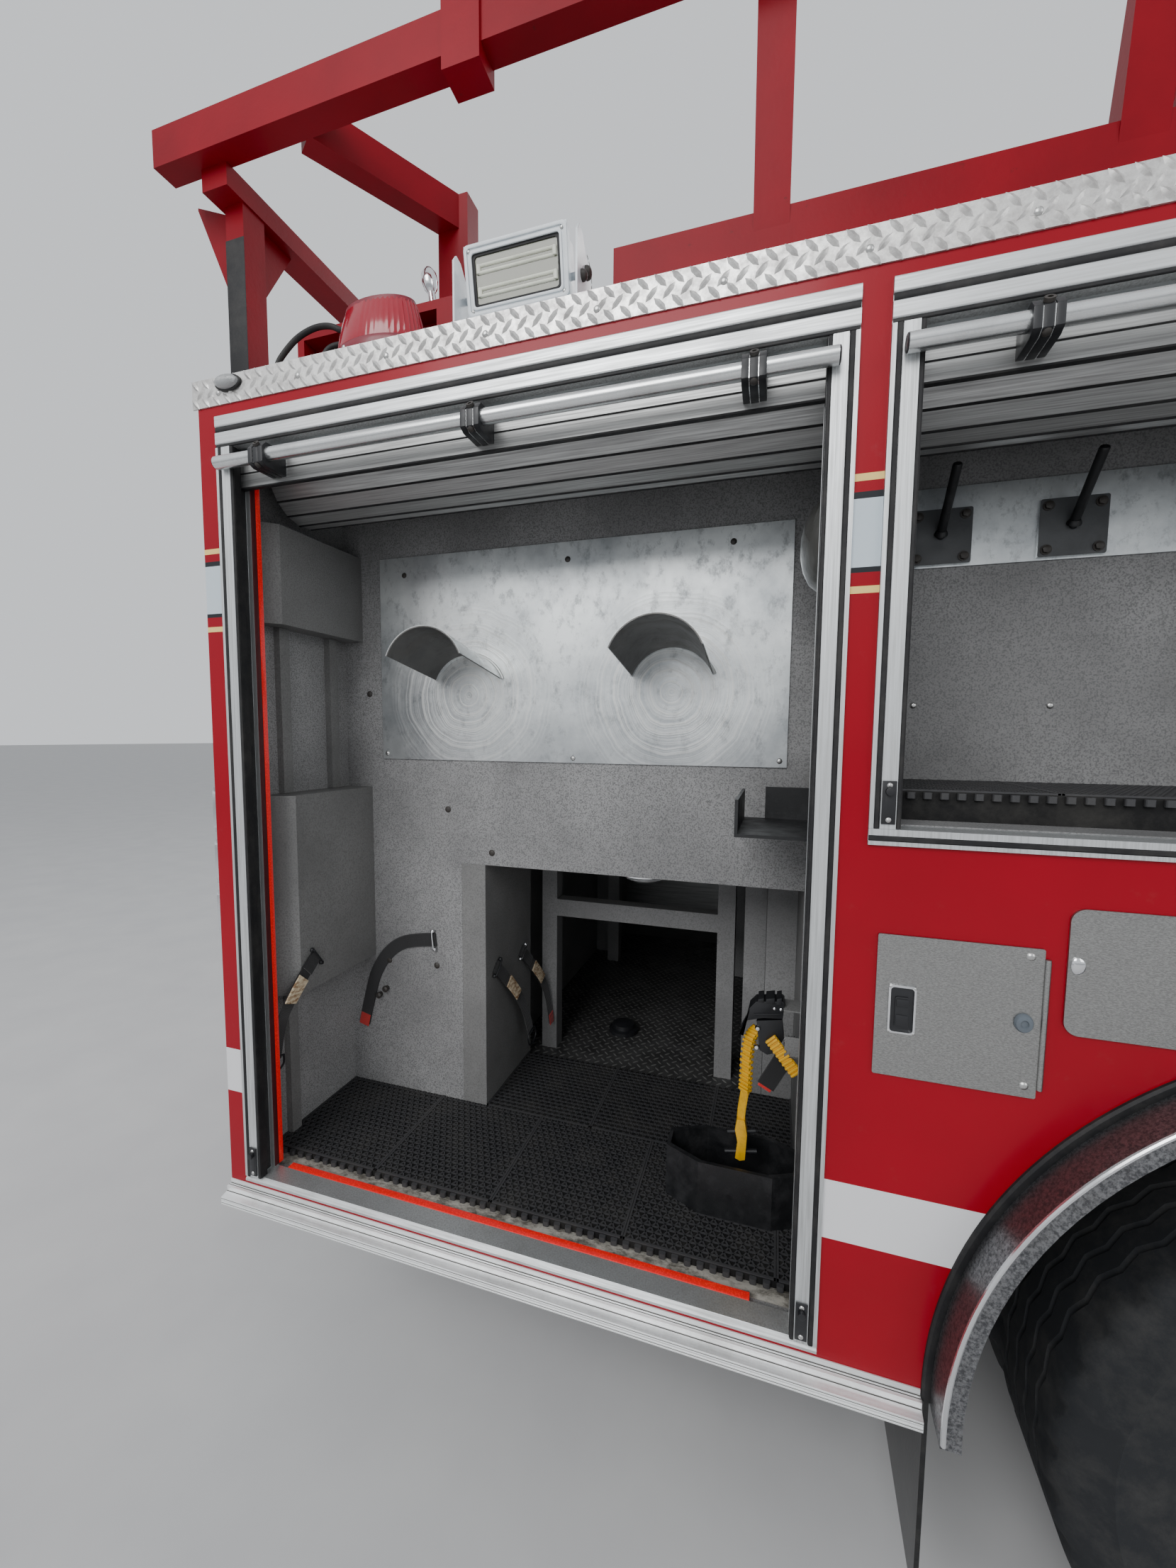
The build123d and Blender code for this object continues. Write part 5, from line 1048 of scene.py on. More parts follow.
# Straps: name, length, the way the flat side faces, the route, where its bail is fixed, what its end bears
STRAPS = [
    ("strap_cover", 0.2822, (1, 0, 0), [(COVER_FACE_X, -1.045, 1.135), (-4.434, -1.092, 1.104), (-4.446, -1.136, 1.040),
                                        (-4.470, -1.144, 0.975), (-4.482, -1.146, 0.895)], "buckle"),
    ("strap_back", 0.4206, (0, 1, 0), [(-4.236, BACK_FACE_Y, 1.118), (-4.328, BACK_FACE_Y, 1.110), (-4.397, BACK_FACE_Y, 1.066),
                                       (-4.441, BACK_FACE_Y, 1.000), (-4.462, BACK_FACE_Y, 0.930), (-4.486, BACK_FACE_Y, 0.835)], "tag"),
    ("strap_jamb", 0.3137, (1, 0, 0), [(JAMB_FACE_X, -0.757, 1.040), (JAMB_FACE_X + 0.012, -0.705, 0.985), (JAMB_FACE_X + 0.028, -0.660, 0.920),
                                       (JAMB_FACE_X + 0.042, -0.625, 0.850), (JAMB_FACE_X + 0.046, -0.605, 0.775)], "buckle"),
    ("strap_inner", 0.3196, (1, 0, 0), [(JAMB_FACE_X, -0.580, 1.025), (JAMB_FACE_X + 0.016, -0.528, 0.965), (JAMB_FACE_X + 0.036, -0.486, 0.900),
                                        (JAMB_FACE_X + 0.050, -0.465, 0.830), (JAMB_FACE_X + 0.056, -0.458, 0.745)], "tag"),
]


def spline_points(points):
    """The points that the smooth line through these control points follows."""
    guide = nurbs("guide", points)
    mesh = bpy.data.meshes.new_from_object(guide)
    places = [vertex.co.copy() for vertex in mesh.vertices]
    bpy.data.objects.remove(guide)
    bpy.data.meshes.remove(mesh)
    return places


def strip_along(shape, path, side, width, thickness, mark=0):
    """A flat strip with rounded edges along a path, its flat side towards the side direction."""
    half, edge = thickness / 2, width / 2
    section = [(half, -edge + half), (half, edge - half), (0, edge), (-half, edge - half), (-half, -edge + half), (0, -edge)]
    shape.swept(path, section, side, mark)


def bail(shape, spot, side, across, width=0.046):
    """A bent wire that holds a strap's head, with a ball at each end."""
    spot, side, across = Vector(spot), Vector(side), Vector(across).normalized()
    ends = [spot + across * (width / 2) * s for s in (-1, 1)]
    path = [ends[0] + side * 0.002, ends[0] + side * 0.009, spot - across * 0.012 + side * 0.011,
            spot + across * 0.012 + side * 0.011, ends[1] + side * 0.009, ends[1] + side * 0.002]
    line = curved(path, 5)
    shape.swept(line, circle(0.0022, 8), side.cross(across) + side * 0.01)
    for end in ends:
        shape.turned([(0, -0.001), (0.0048, 0.0015), (0.0060, 0.0050), (0.0048, 0.0088), (0, 0.0110)], end, side, 12)


def straps(m):
    """The black webbing straps with their wire bails, stained pads, buckles and tags."""
    for name, length, side, route, end in STRAPS:
        path = spline_points(route)
        side = Vector(side)
        out = side if abs(side.x) > 0 else Vector((0, -1, 0))
        ribbon = Shape()
        strip_along(ribbon, path, side, STRAP_WIDTH, STRAP_THICKNESS)
        last, before = path[-1], path[-6]
        along = (last - before).normalized()
        across = along.cross(out).normalized()
        wires, extras = Shape(), Shape()
        start_along = (path[5] - path[0]).normalized()
        start_across = start_along.cross(out).normalized()
        head = path[0] + start_along * 0.006
        bail(wires, head, out, start_across, STRAP_WIDTH + 0.014)
        folded = Shape()
        strip_along(folded, [p + out * 0.0036 for p in path[:len(path) // 6]], side, STRAP_WIDTH * 0.98, STRAP_THICKNESS)
        if name != "strap_back":
            first, final = int(len(path) * 0.22), int(len(path) * 0.50)
            strip_along(extras, [p + out * 0.0042 for p in path[first:final]], side, STRAP_WIDTH * 1.02, 0.0042)
            extras.make(name + "_pad", m["pad"], slot="webbing", bevel=0.0008)
        if end == "buckle":
            loop = [last + across * a + along * b + out * 0.002 for a, b in ((-0.024, -0.006), (-0.026, 0.022), (0.004, 0.034), (0.026, 0.022),
                                                                               (0.024, -0.006), (0.0, -0.010), (-0.024, -0.006))]
            wires.swept(curved(loop, 4), circle(0.0026, 8), out)
            finish = m["black_plastic"]
        else:
            tag = Shape()
            strip_along(tag, [last - along * 0.030 + out * 0.0026, last - along * 0.012 + out * 0.0026, last + along * 0.006 + out * 0.0022],
                        side, STRAP_WIDTH * 0.86, 0.0024)
            tag.make(name + "_tag", m["tag"], slot="webbing")
            finish = m["polished"]
        wires.make(name + "_wire", finish, slot="black_steel")
        folded.make(name + "_fold", m["strap"], slot="webbing")
        piece = ribbon.make(name, m["strap"], slot="webbing", replaces=("straps",))


# Inside of the open compartments
def isogrid(shape, x0, x1, y0, y1, z, cell=0.0180, rib=0.0030, height=0.0024):
    """Ribs in three directions over a rectangle, so that they meet in triangles."""
    row = cell * sqrt(3) / 2
    rows = int((y1 - y0) / row)
    for number in range(rows + 1):
        y = y0 + number * row
        shape.box((x0, y - rib / 2, z), (x1, y + rib / 2, z + height))
    reach = (y1 - y0) / sqrt(3)
    for way in (-1, 1):
        start = x0 - reach
        while start < x1 + reach:
            a, b = Vector((start, y0 if way > 0 else y1, z)), Vector((start + reach, y1 if way > 0 else y0, z))
            slope = (b.y - a.y) / (b.x - a.x)
            if a.x < x0:
                a = Vector((x0, a.y + slope * (x0 - a.x), z))
            if b.x > x1:
                b = Vector((x1, b.y + slope * (x1 - b.x), z))
            if b.x - a.x > 0.006:
                along = (b - a).normalized()
                side = Vector((-along.y, along.x, 0)) * (rib / 2)
                shape.loops([[a - side, a + side, a + side + Vector((0, 0, height)), a - side + Vector((0, 0, height))],
                             [b - side, b + side, b + side + Vector((0, 0, height)), b - side + Vector((0, 0, height))]])
            start += cell


TILE = 0.305
# Tiled floors: start x, end x, outer y, inner y, top z, whether the outer edge has teeth
TILED_FLOORS = [
    (-4.5225, -3.2235, -1.120, -0.8095, 0.6550, True),
    (-3.1985, -1.4815, -1.105, -0.8095, 1.6100, True),
    (-4.0798, -3.2605, -0.8085, -0.5092, 0.6550, False),
]


def tiles(m):
    """The black floor tiles: a lattice of triangles inside raised borders, toothed along the door."""
    lattice = Shape()
    for x0, x1, y0, y1, z, toothed in TILED_FLOORS:
        x = x0
        while x < x1 - 0.02:
            end = min(x + TILE, x1)
            isogrid(lattice, x + 0.004, end - 0.004, y0 + 0.004, y1 - 0.002, z)
            for a in (x, end - 0.0042):
                lattice.box((a, y0, z), (a + 0.0042, y1, z + 0.0028))
            x = end + 0.001
        lattice.box((x0, y0, z), (x1, y0 + 0.004, z + 0.0028))
        if toothed:
            a = x0 + 0.012
            while a < x1 - 0.02:
                lattice.slab(rounded(0.014, 0.010, 0.004, 3), (a, y0 - 0.004, z - 0.0125), (1, 0, 0), (0, 1, 0), 0.011)
                a += 0.0254
    lattice.make("tile_lattice", m["lattice"], slot="rubber", smooth=20)


def compartment_fixings(m):
    """Screws, bolts, weld beads and small fittings of the two open compartments."""
    screws, dark, weld = Shape(), Shape(), Shape()
    plate_y = -BACK_Y - 0.0043
    for x, z in ((-4.320, 2.133), (-3.844, 2.138), (-3.441, 2.145)):
        dark.screw((x, plate_y, z), (0, -1, 0), 0.0075)
    for x, z in ((-4.385, 1.645), (-3.827, 1.642), (-3.325, 1.645)):
        screws.screw((x, plate_y, z), (0, -1, 0), 0.0065)
    for x, z in ((-4.444, 1.813), (-4.194, 1.493), (-4.395, 1.038), (-4.236, 1.042), (-4.060, 1.380), (-3.330, 2.290), (-4.300, 2.290)):
        dark.screw((x, -BACK_Y, z), (0, -1, 0), 0.0090)
    for x, z in ((-4.404, 0.953), (-4.427, 0.931)):
        dark.turned([(0.007, 0), (0.007, 0.004), (0.009, 0.008), (0.009, 0.014), (0.005, 0.018), (0, 0.018)], (x, -BACK_Y, z), (0, -1, 0), 14)
    for x, z in ((-3.056, 1.770), (-2.809, 1.768), (-2.330, 1.768), (-1.850, 1.768)):
        screws.screw((x, -BACK_Y, z), (0, -1, 0), 0.0065)
    for pipe_x in HALF_PIPES:
        line = []
        for step in range(25):
            angle = radians(-67.5 + 135 * step / 24)
            line.append((pipe_x + 0.1095 * sin(angle), plate_y - 0.001, HALF_PIPE_Z + 0.1095 * cos(angle)))
        weld.swept(line, circle(0.0042, 8), (0, 1, 0))
    for number in range(7):
        x = REAR_AXLE_X + (number - 3) * 0.228
        for a in (-0.043, 0.043):
            for z in (2.073, 2.157):
                dark.bolt((x + a, -BACK_Y - 0.0112, z), (0, -1, 0), 0.0075)
    screws.make("sheet_screws", m["screw"], slot="stainless")
    dark.make("dark_bolts", m["dark_screw"], slot="black_steel")
    weld.make("pipe_welds", m["weld"], slot="scuffed_sheet")
    plates, rods = Shape(), Shape()
    for number in range(7):
        x = REAR_AXLE_X + (number - 3) * 0.228
        plates.slab(rounded(0.113, 0.111, 0.004, 3), (x, -BACK_Y - 0.0101, 2.115), (1, 0, 0), (0, 0, 1), 0.0011)
        rods.tube((x, -0.8125, 2.1125), (x, -0.9200, 2.2155), 0.0085, 16)
        rods.turned([(0.0085, 0), (0.0075, 0.003), (0.003, 0.005), (0, 0.005)], (x, -0.9200, 2.2155), (0, -0.72, 0.69), 16)
        rods.turned([(0.0130, 0), (0.0120, 0.004), (0.0088, 0.009)], (x, -0.8210, 2.1190), (0, -0.72, 0.69), 16)
    plates.make("hook_plates", m["hook_grey"], slot="cast_metal", bevel=0.0006)
    rods.make("hook_rods", m["black"], slot="black_steel")


WALL_LIGHT = (-3.2225, -0.985, 2.065)


def wall_light(m):
    """The domed light high on the rear compartment's right wall."""
    base, dome = Shape(), Shape()
    base.turned([(0.103, 0), (0.103, 0.008), (0.099, 0.012), (0.097, 0.012)], WALL_LIGHT, (-1, 0, 0), 40)
    dome.turned([(0.097, 0.011), (0.095, 0.026), (0.088, 0.042), (0.070, 0.060), (0.045, 0.072), (0.020, 0.0775), (0, 0.078)],
                WALL_LIGHT, (-1, 0, 0), 40)
    base.make("wall_light_base", m["polished"], slot="stainless")
    dome.make("wall_light_dome", m["smoked"], slot="lamp", smooth=60)


# Clamp with a ratchet strap on the rear compartment's right wall
CLAMP_Y = -0.950


def clamp_holder(m):
    def flat(points, y0, y1, shape, mark=0):
        shape.loops([[(x, y0, z) for x, z in points], [(x, y1, z) for x, z in points]], mark=mark)
    body, grey, metal = Shape(), Shape(), Shape()
    flat([(-3.369, 1.122), (-3.356, 1.138), (-3.302, 1.146), (-3.298, 1.142), (-3.301, 1.108), (-3.340, 1.104), (-3.372, 1.094),
          (-3.387, 1.062), (-3.381, 1.060)], CLAMP_Y - 0.020, CLAMP_Y + 0.020, body)
    flat([(-3.354, 1.094), (-3.302, 1.104), (-3.297, 1.064), (-3.312, 1.030), (-3.330, 1.022), (-3.346, 1.030)],
         CLAMP_Y - 0.016, CLAMP_Y + 0.016, body)
    for a, b in ((-3.352, -3.340), (-3.336, -3.318), (-3.314, -3.304)):
        flat([(a, 1.1445 + (a + 3.352) * 0.15), (b, 1.1465 + (b + 3.352) * 0.15), (b, 1.138), (a, 1.138)], CLAMP_Y - 0.0215, CLAMP_Y + 0.0215, body)
    flat([(-3.360, 1.112), (-3.306, 1.120), (-3.305, 1.117), (-3.358, 1.109)], CLAMP_Y - 0.0225, CLAMP_Y - 0.018, body)
    for x, z in ((-3.351, 1.079), (-3.352, 1.037)):
        metal.turned([(0.0060, 0), (0.0058, 0.003), (0.0040, 0.0055), (0, 0.0062)], (x, CLAMP_Y - 0.016, z), (0, -1, 0), 16)
    grey.box((-3.296, CLAMP_Y - 0.030, 1.032), (-3.2225, CLAMP_Y - 0.027, 1.076))
    grey.box((-3.296, CLAMP_Y - 0.030, 1.0310), (-3.2225, CLAMP_Y + 0.030, 1.0340))
    grey.box((-3.2255, CLAMP_Y - 0.045, 1.000), (-3.2225, CLAMP_Y + 0.045, 1.165))
    grey.box((-3.300, CLAMP_Y - 0.030, 1.1300), (-3.2225, CLAMP_Y + 0.026, 1.1330))
    coil = []
    for step in range(73):
        angle = 2 * pi * step / 12
        coil.append((-3.288 + 0.034 * step / 72, CLAMP_Y + 0.0 + 0.0085 * cos(angle), 1.055 + 0.0085 * sin(angle)))
    metal.swept(coil, circle(0.0011, 6), (1, 0, 0.01))
    metal.tube((-3.297, CLAMP_Y, 1.055), (-3.226, CLAMP_Y, 1.055), 0.0030, 10)
    for x in (-3.318, -3.305):
        metal.screw((x, CLAMP_Y - 0.0205, 1.128), (0, -1, 0), 0.0035)
    body.make("clamp_body", m["black_plastic"], slot="black_steel", bevel=0.0012)
    grey.make("clamp_bracket", m["cover_grey"], slot="grey_fleck", bevel=0.0004)
    metal.make("clamp_rivets", m["polished"], slot="stainless")

    yellow, pins = Shape(), Shape()
    hang = curved([(-3.352, CLAMP_Y, 1.070), (-3.366, CLAMP_Y, 1.048), (-3.372, CLAMP_Y, 1.005), (-3.373, CLAMP_Y, 0.955), (-3.374, CLAMP_Y, 0.922)], 8)
    turned_side, turned_across = Vector((0.6, 0.8, 0)), Vector((0.8, -0.6, 0))
    strip_along(yellow, hang, turned_side, 0.025, 0.0060)
    for number in range(2, len(hang) - 1, 2):
        spot = hang[number]
        way = (hang[min(number + 1, len(hang) - 1)] - hang[number - 1]).normalized()
        out = way.cross(turned_across)
        yellow.slab([(-0.0125, -0.0026), (0.0125, -0.0026), (0.0125, 0.0026), (-0.0125, 0.0026)], spot - out * 0.0020, turned_across, way, 0.0066)
        yellow.slab([(-0.0125, -0.0026), (0.0125, -0.0026), (0.0125, 0.0026), (-0.0125, 0.0026)], spot + out * 0.0070, turned_across, way, 0.0050)
    tail = curved([(-3.374, CLAMP_Y, 0.924), (-3.379, CLAMP_Y, 0.885), (-3.381, CLAMP_Y, 0.858)], 5)
    strip_along(yellow, tail, turned_side, 0.022, 0.0068)
    flat([(-3.388, 0.862), (-3.372, 0.862), (-3.366, 0.830), (-3.369, 0.772), (-3.380, 0.768), (-3.390, 0.772), (-3.386, 0.810), (-3.392, 0.838)],
         CLAMP_Y - 0.013, CLAMP_Y + 0.013, yellow)
    short = curved([(-3.325, CLAMP_Y - 0.018, 1.062), (-3.308, CLAMP_Y - 0.024, 1.044), (-3.286, CLAMP_Y - 0.028, 1.018), (-3.268, CLAMP_Y - 0.030, 0.998)], 7)
    strip_along(yellow, short, (0, 1, 0), 0.026, 0.0045)
    for number in range(1, len(short) - 1, 2):
        spot = short[number]
        way = (short[number + 1] - short[number - 1]).normalized()
        side = Vector((0, 1, 0)).cross(way).normalized()
        yellow.slab([(-0.0125, -0.0022), (0.0125, -0.0022), (0.0125, 0.0022), (-0.0125, 0.0022)], spot + Vector((0, -0.0018, 0)), side, way, 0.0050)
    for z, reach in ((0.829, 0.030), (0.782, 0.034)):
        pins.tube((-3.379 - reach, CLAMP_Y - 0.006, z - 0.003), (-3.379 + reach, CLAMP_Y + 0.006, z + 0.003), 0.0050, 12)
    yellow.make("ratchet_strap", m["yellow"], slot="webbing", bevel=0.0006)
    pins.make("ratchet_pins", m["black_plastic"], slot="black_steel")
    loop, tip = Shape(), Shape()
    line = curved([(-3.290, CLAMP_Y - 0.002, 1.030), (-3.299, CLAMP_Y - 0.004, 1.008), (-3.315, CLAMP_Y - 0.007, 0.978), (-3.331, CLAMP_Y - 0.006, 0.946)], 6)
    strip_along(loop, line, (0, 1, 0), 0.038, 0.0030)
    strip_along(loop, [p + Vector((0.002, 0.0040, 0.002)) for p in line], (0, 1, 0), 0.038, 0.0030)
    strip_along(tip, [line[-1] + Vector((0.001, 0.0008, 0.002)), line[-1] + Vector((-0.003, 0.0008, -0.006))], (0, 1, 0), 0.030, 0.0032)
    tip.make("clamp_webbing_tip", m["tag"], slot="webbing")
    loop.make("clamp_webbing", m["strap"], slot="webbing")


# Small doors of the right side
def fuel_flap(m):
    """Latch, screws, bumper and hinge knuckles of the stainless flap."""
    x0, x1, z0, z1 = -3.168, -2.944, 1.160, 1.391
    face = -SIDE_Y - 0.0043
    bezel, black, screws, knuckles, bump = (Shape() for _ in range(5))
    centre = Vector((-3.130, face, 1.272))
    rings = []
    for width, height, far in ((0.0400, 0.0790, 0.0), (0.0392, 0.0782, 0.0042), (0.0330, 0.0720, 0.0046), (0.0326, 0.0716, 0.0006)):
        rings.append([centre + Vector((a, -far, b)) for a, b in rounded(width, height, 0.005, 4)])
    bezel.loops(rings, around=True)
    black.slab(rounded(0.0328, 0.0718, 0.004, 4), centre + Vector((0, 0.0, 0)), (1, 0, 0), (0, 0, 1), 0.0012)
    black.slab(rounded(0.0200, 0.0500, 0.003, 4), centre + Vector((0, -0.0012, -0.004)), (1, 0, 0), (0, 0, 1), 0.0030)
    black.box((centre.x - 0.0085, centre.y - 0.0062, centre.z + 0.006), (centre.x + 0.0085, centre.y - 0.0042, centre.z + 0.018))
    black.box((centre.x - 0.0085, centre.y - 0.0054, centre.z - 0.026), (centre.x + 0.0085, centre.y - 0.0042, centre.z - 0.008))
    for a in (-0.0175, 0.0175):
        for b in (-0.0365, 0.0365):
            screws.screw(centre + Vector((a, -0.0040, b)), (0, -1, 0), 0.0019)
    for x, z in ((-2.962, 1.378), (-2.960, 1.178)):
        screws.screw((x, face, z), (0, -1, 0), 0.0062)
    oval = [(0.0125 * cos(a), 0.0145 * sin(a)) for a in (2 * pi * n / 24 for n in range(24))]
    spot = Vector((-2.966, face, 1.276))
    rings = [[spot + Vector((a * s, -far, b * s)) for a, b in oval] for s, far in ((1, 0), (1, 0.003), (0.85, 0.0062), (0.45, 0.0072), (0.36, 0.0045), (0.05, 0.0045))]
    bump.loops(rings)
    for number in range(9):
        a = z0 + 0.018 + number * 0.0217
        knuckles.tube((x1 + 0.004, face, a), (x1 + 0.004, face, a + 0.0205), 0.0041, 16)
    body = "fuel_flap"
    bezel.make("latch_bezel", m["polished"], body=body, slot="stainless", bevel=0.0005)
    black.make("latch_lever", m["black_plastic"], body=body, slot="black_steel", bevel=0.0007)
    screws.make("flap_screws", m["screw"], body=body, slot="stainless")
    bump.make("flap_bumper", m["grey_rubber"], body=body, slot="rubber")
    knuckles.make("flap_knuckles", m["flap_steel"], body=body, slot="stainless")


def bottle_flap(m):
    """Finger notch and hinge knuckles of the rounded flap."""
    x0, x1, z0, z1 = -2.916, -2.726, 1.266, 1.456
    face = -SIDE_Y - 0.0043
    notch, knuckles = Shape(), Shape()
    spot = Vector((x0 + 0.010, face, 1.372))
    rings = []
    for size, far in ((1.0, 0.0), (0.94, 0.0030), (0.7, 0.0048), (0.2, 0.0052)):
        rings.append([spot + Vector((0.0095 * size * cos(a) * (1.2 if cos(a) > 0 else 0.8), -far, 0.0130 * size * sin(a)))
                      for a in (2 * pi * n / 24 for n in range(24))])
    notch.loops(rings)
    for number in range(6):
        a = z0 + 0.034 + number * 0.0207
        knuckles.tube((x1 + 0.004, face, a), (x1 + 0.004, face, a + 0.0195), 0.0041, 16)
    notch.make("bottle_notch", m["polished"], body="bottle_flap", slot="stainless")
    knuckles.make("bottle_knuckles", m["flap_steel"], body="bottle_flap", slot="stainless")


def arch_band(shape, centre_x, centre_z, radius, section, low_z, y_side):
    """Carries a (radius, out) section round the upper part of a wheel arch."""
    reach = asin((centre_z - low_z) / radius) if low_z < centre_z else 0
    steps = 96
    rings = []
    for step in range(steps + 1):
        angle = -reach + (pi + 2 * reach) * step / steps
        rings.append([(centre_x + (radius + r) * cos(angle), -(y_side + out), centre_z + (radius + r) * sin(angle)) for r, out in section])
    shape.loops(rings)


def arches(m):
    """Black gaskets behind the polished rings of the wheel arches, and the rings' rolled beads."""
    gasket, rolled = Shape(), Shape()
    for x, z, radius, side, reach in ((REAR_AXLE_X, ARCH_Z, ARCH_RADIUS, SIDE_Y, 0.066), (FRONT_AXLE_X, 0.560, 0.660, cab_high.y, 0.046)):
        arch_band(gasket, x, z, radius, [(-0.001, 0.0003), (-0.001, 0.0060), (0.003, 0.0075), (0.009, 0.0070), (0.0125, 0.0040), (0.0130, 0.0003)],
                  z - 0.020, side)
        section = [(-0.0045 + 0.0042 * cos(a), reach + 0.0000 + 0.0042 * sin(a)) for a in (2 * pi * n / 10 for n in range(10))]
        arch_band(rolled, x, z, radius, section, z - 0.020, side)
    gasket.both().make("arch_gaskets", m["seal"], slot="rubber")
    rolled.both().make("arch_beads", m["polished"], slot="stainless")


# Wheels
TYRE_SECTION = [(0.000, 0.105), (0.020, 0.122), (0.050, 0.137), (0.056, 0.1405), (0.062, 0.1395), (0.110, 0.150), (0.150, 0.1475),
                (0.156, 0.1500), (0.164, 0.1470), (0.205, 0.138), (0.222, 0.127), (0.230, 0.1185)]
TREAD_GROOVES = (-0.066, -0.022, 0.022, 0.066)
RIM_RADIUS = 0.286


def tyre(centre, turns=240):
    """A truck tyre as a lathe form, with four zigzag grooves round its tread and slots in its shoulders."""
    half = [(depth, out) for depth, out in TYRE_SECTION]
    tread_points = []
    for groove in TREAD_GROOVES:
        for shift, depth in ((-0.0062, 0.2340), (-0.0040, 0.2220), (0.0040, 0.2220), (0.0062, 0.2340)):
            tread_points.append((depth, groove + shift, True))
    profile = [(d, -o, False) for d, o in half] + [(0.2340, -0.104, False)] + tread_points + [(0.2340, 0.104, False)]
    profile += [(d, o, False) for d, o in reversed(half)]
    rings = []
    for number in range(turns):
        angle = 2 * pi * number / turns
        wave = (number % 6) / 3
        zigzag = (wave if wave < 1 else 2 - wave) * 0.011 - 0.0055
        slot = number % 6 in (0, 1)
        ring = []
        for depth, out, grooved in profile:
            deep = depth
            if slot and depth > 0.2250 and abs(out) > 0.095:
                deep -= 0.007
            if slot and 0.20 < depth <= 0.2250 and abs(out) > 0.12:
                out *= 0.975
            radius = RIM_RADIUS + deep
            ring.append((centre[0] + radius * cos(angle), centre[1] + out + (zigzag if grooved else 0), centre[2] + radius * sin(angle)))
        rings.append(ring)
    shape = Shape()
    shape.loops(rings, around=True)
    return shape


TWIN_Y, TWIN_HALF = 0.859, 0.170
FRONT_WHEEL_Y = 1.035


def wheels(m):
    """Tyres with their tread in place of the plain ones, wheel nuts and hub covers."""
    for side, way in (("right", -1), ("left", 1)):
        for place, spots, node, body in (("rear", (TWIN_Y - TWIN_HALF, TWIN_Y + TWIN_HALF), "rear_tyres_", "rear_wheels_"),
                                         ("front", (FRONT_WHEEL_Y,), "front_tyre_", "front_wheel_")):
            whole = Shape()
            x = REAR_AXLE_X if place == "rear" else FRONT_AXLE_X
            for y in spots:
                whole.joined(tyre((x, way * y, AXLE_Z)))
            whole.make(f"{place}_treads_{side}", m["tyre"], body=body + side, slot="tyre", replaces=(node + side,), smooth=32)
            nuts, caps = Shape(), Shape()
            face = (TWIN_Y + 0.0145) if place == "rear" else (FRONT_WHEEL_Y + 0.0530)
            hub = (TWIN_Y + 0.150) if place == "rear" else (FRONT_WHEEL_Y + 0.125)
            for number in range(10):
                angle = 2 * pi * (number + 0.5) / 10
                spot = (x + 0.1675 * cos(angle), way * face, AXLE_Z + 0.1675 * sin(angle))
                nuts.bolt(spot, (0, way, 0), 0.0165)
                nuts.tube(spot, (spot[0], spot[1] + way * 0.032, spot[2]), 0.0105, 12)
            caps.turned([(0.0600, 0.0), (0.0600, 0.008), (0.0480, 0.016), (0.0200, 0.020), (0, 0.020)], (x, way * hub, AXLE_Z), (0, way, 0), 32)
            for number in range(8):
                angle = 2 * pi * number / 8
                nuts.bolt((x + 0.0720 * cos(angle), way * (hub - 0.0020), AXLE_Z + 0.0720 * sin(angle)), (0, way, 0), 0.0065)
            nuts.make(f"{place}_nuts_{side}", m["screw"], body=body + side, slot="rim")
            caps.make(f"{place}_hub_cap_{side}", m["polished"], body=body + side, slot="rim", bevel=0.0008)


# Tunnel
def tunnel_details(m):
    """Tread pattern of the tunnel's floor, its ceiling light, a puck and a grey wing."""
    bars, dark, light_base, light_glass = (Shape() for _ in range(4))
    tread(bars, (-4.150, -0.500, COMPARTMENT_FLOOR - 0.0003), (1, 0, 0), (0, 1, 0), 0.885, 1.270, 0.030, 0.024, 0.0066, 0.0014)
    dark.turned([(0.052, 0), (0.052, 0.012), (0.040, 0.016), (0.038, 0.030), (0.020, 0.036), (0, 0.036)], (-3.825, -0.245, COMPARTMENT_FLOOR), (0, 0, 1), 32)
    light_base.turned([(0.075, 0), (0.075, 0.008), (0.066, 0.012), (0.055, 0.012)], (-3.655, -0.7150, 1.3450), (0, 0, -1), 32)
    light_glass.turned([(0.056, 0.010), (0.052, 0.020), (0.035, 0.028), (0, 0.030)], (-3.655, -0.7150, 1.3450), (0, 0, -1), 32)
    wing = Shape()
    for a, b in ((-3.4040, -3.3438), (-3.3422, -3.2605)):
        wing.box((a, -0.5083, COMPARTMENT_FLOOR + 0.0005), (b, -0.5053, 1.3443))
    wing.box((-3.3480, -0.5052, COMPARTMENT_FLOOR + 0.0005), (-3.3380, -0.5042, 1.3443))
    wing.make("tunnel_wing", m["tube_grey"], slot="grey_fleck", bevel=0.0006)
    # the tunnel's bars are worn, and darker than the bright plate's bars as painted shade of the tunnel
    bars.make("tunnel_diamonds", m["worn_and_shaded_bars"], slot="tread_plate", smooth=20)
    dark.make("tunnel_puck", m["black_plastic"], slot="rubber")
    light_base.make("ceiling_light", m["polished"], slot="stainless")
    light_glass.make("ceiling_lens", m["clear"], slot="lamp")

# Seats
CAB_REAR, CAB_FRONT, CAB_SIDE = 0.95, 4.35, 1.20
SEATS = [("driver", 3.35, 0.72), ("officer", 3.35, -0.72), ("crew_left", 1.02, 0.76), ("crew_inner_left", 1.02, 0.26),
         ("crew_inner_right", 1.02, -0.26), ("crew_right", 1.02, -0.76)]
PAD_VOXEL = 0.014
SWELL_CAP = 0.013


def applied(piece):
    """Gives the piece the mesh that its modifiers make, and clears them."""
    graph = bpy.context.evaluated_depsgraph_get()
    mesh = bpy.data.meshes.new_from_object(piece.evaluated_get(graph))
    piece.modifiers.clear()
    piece.data = mesh


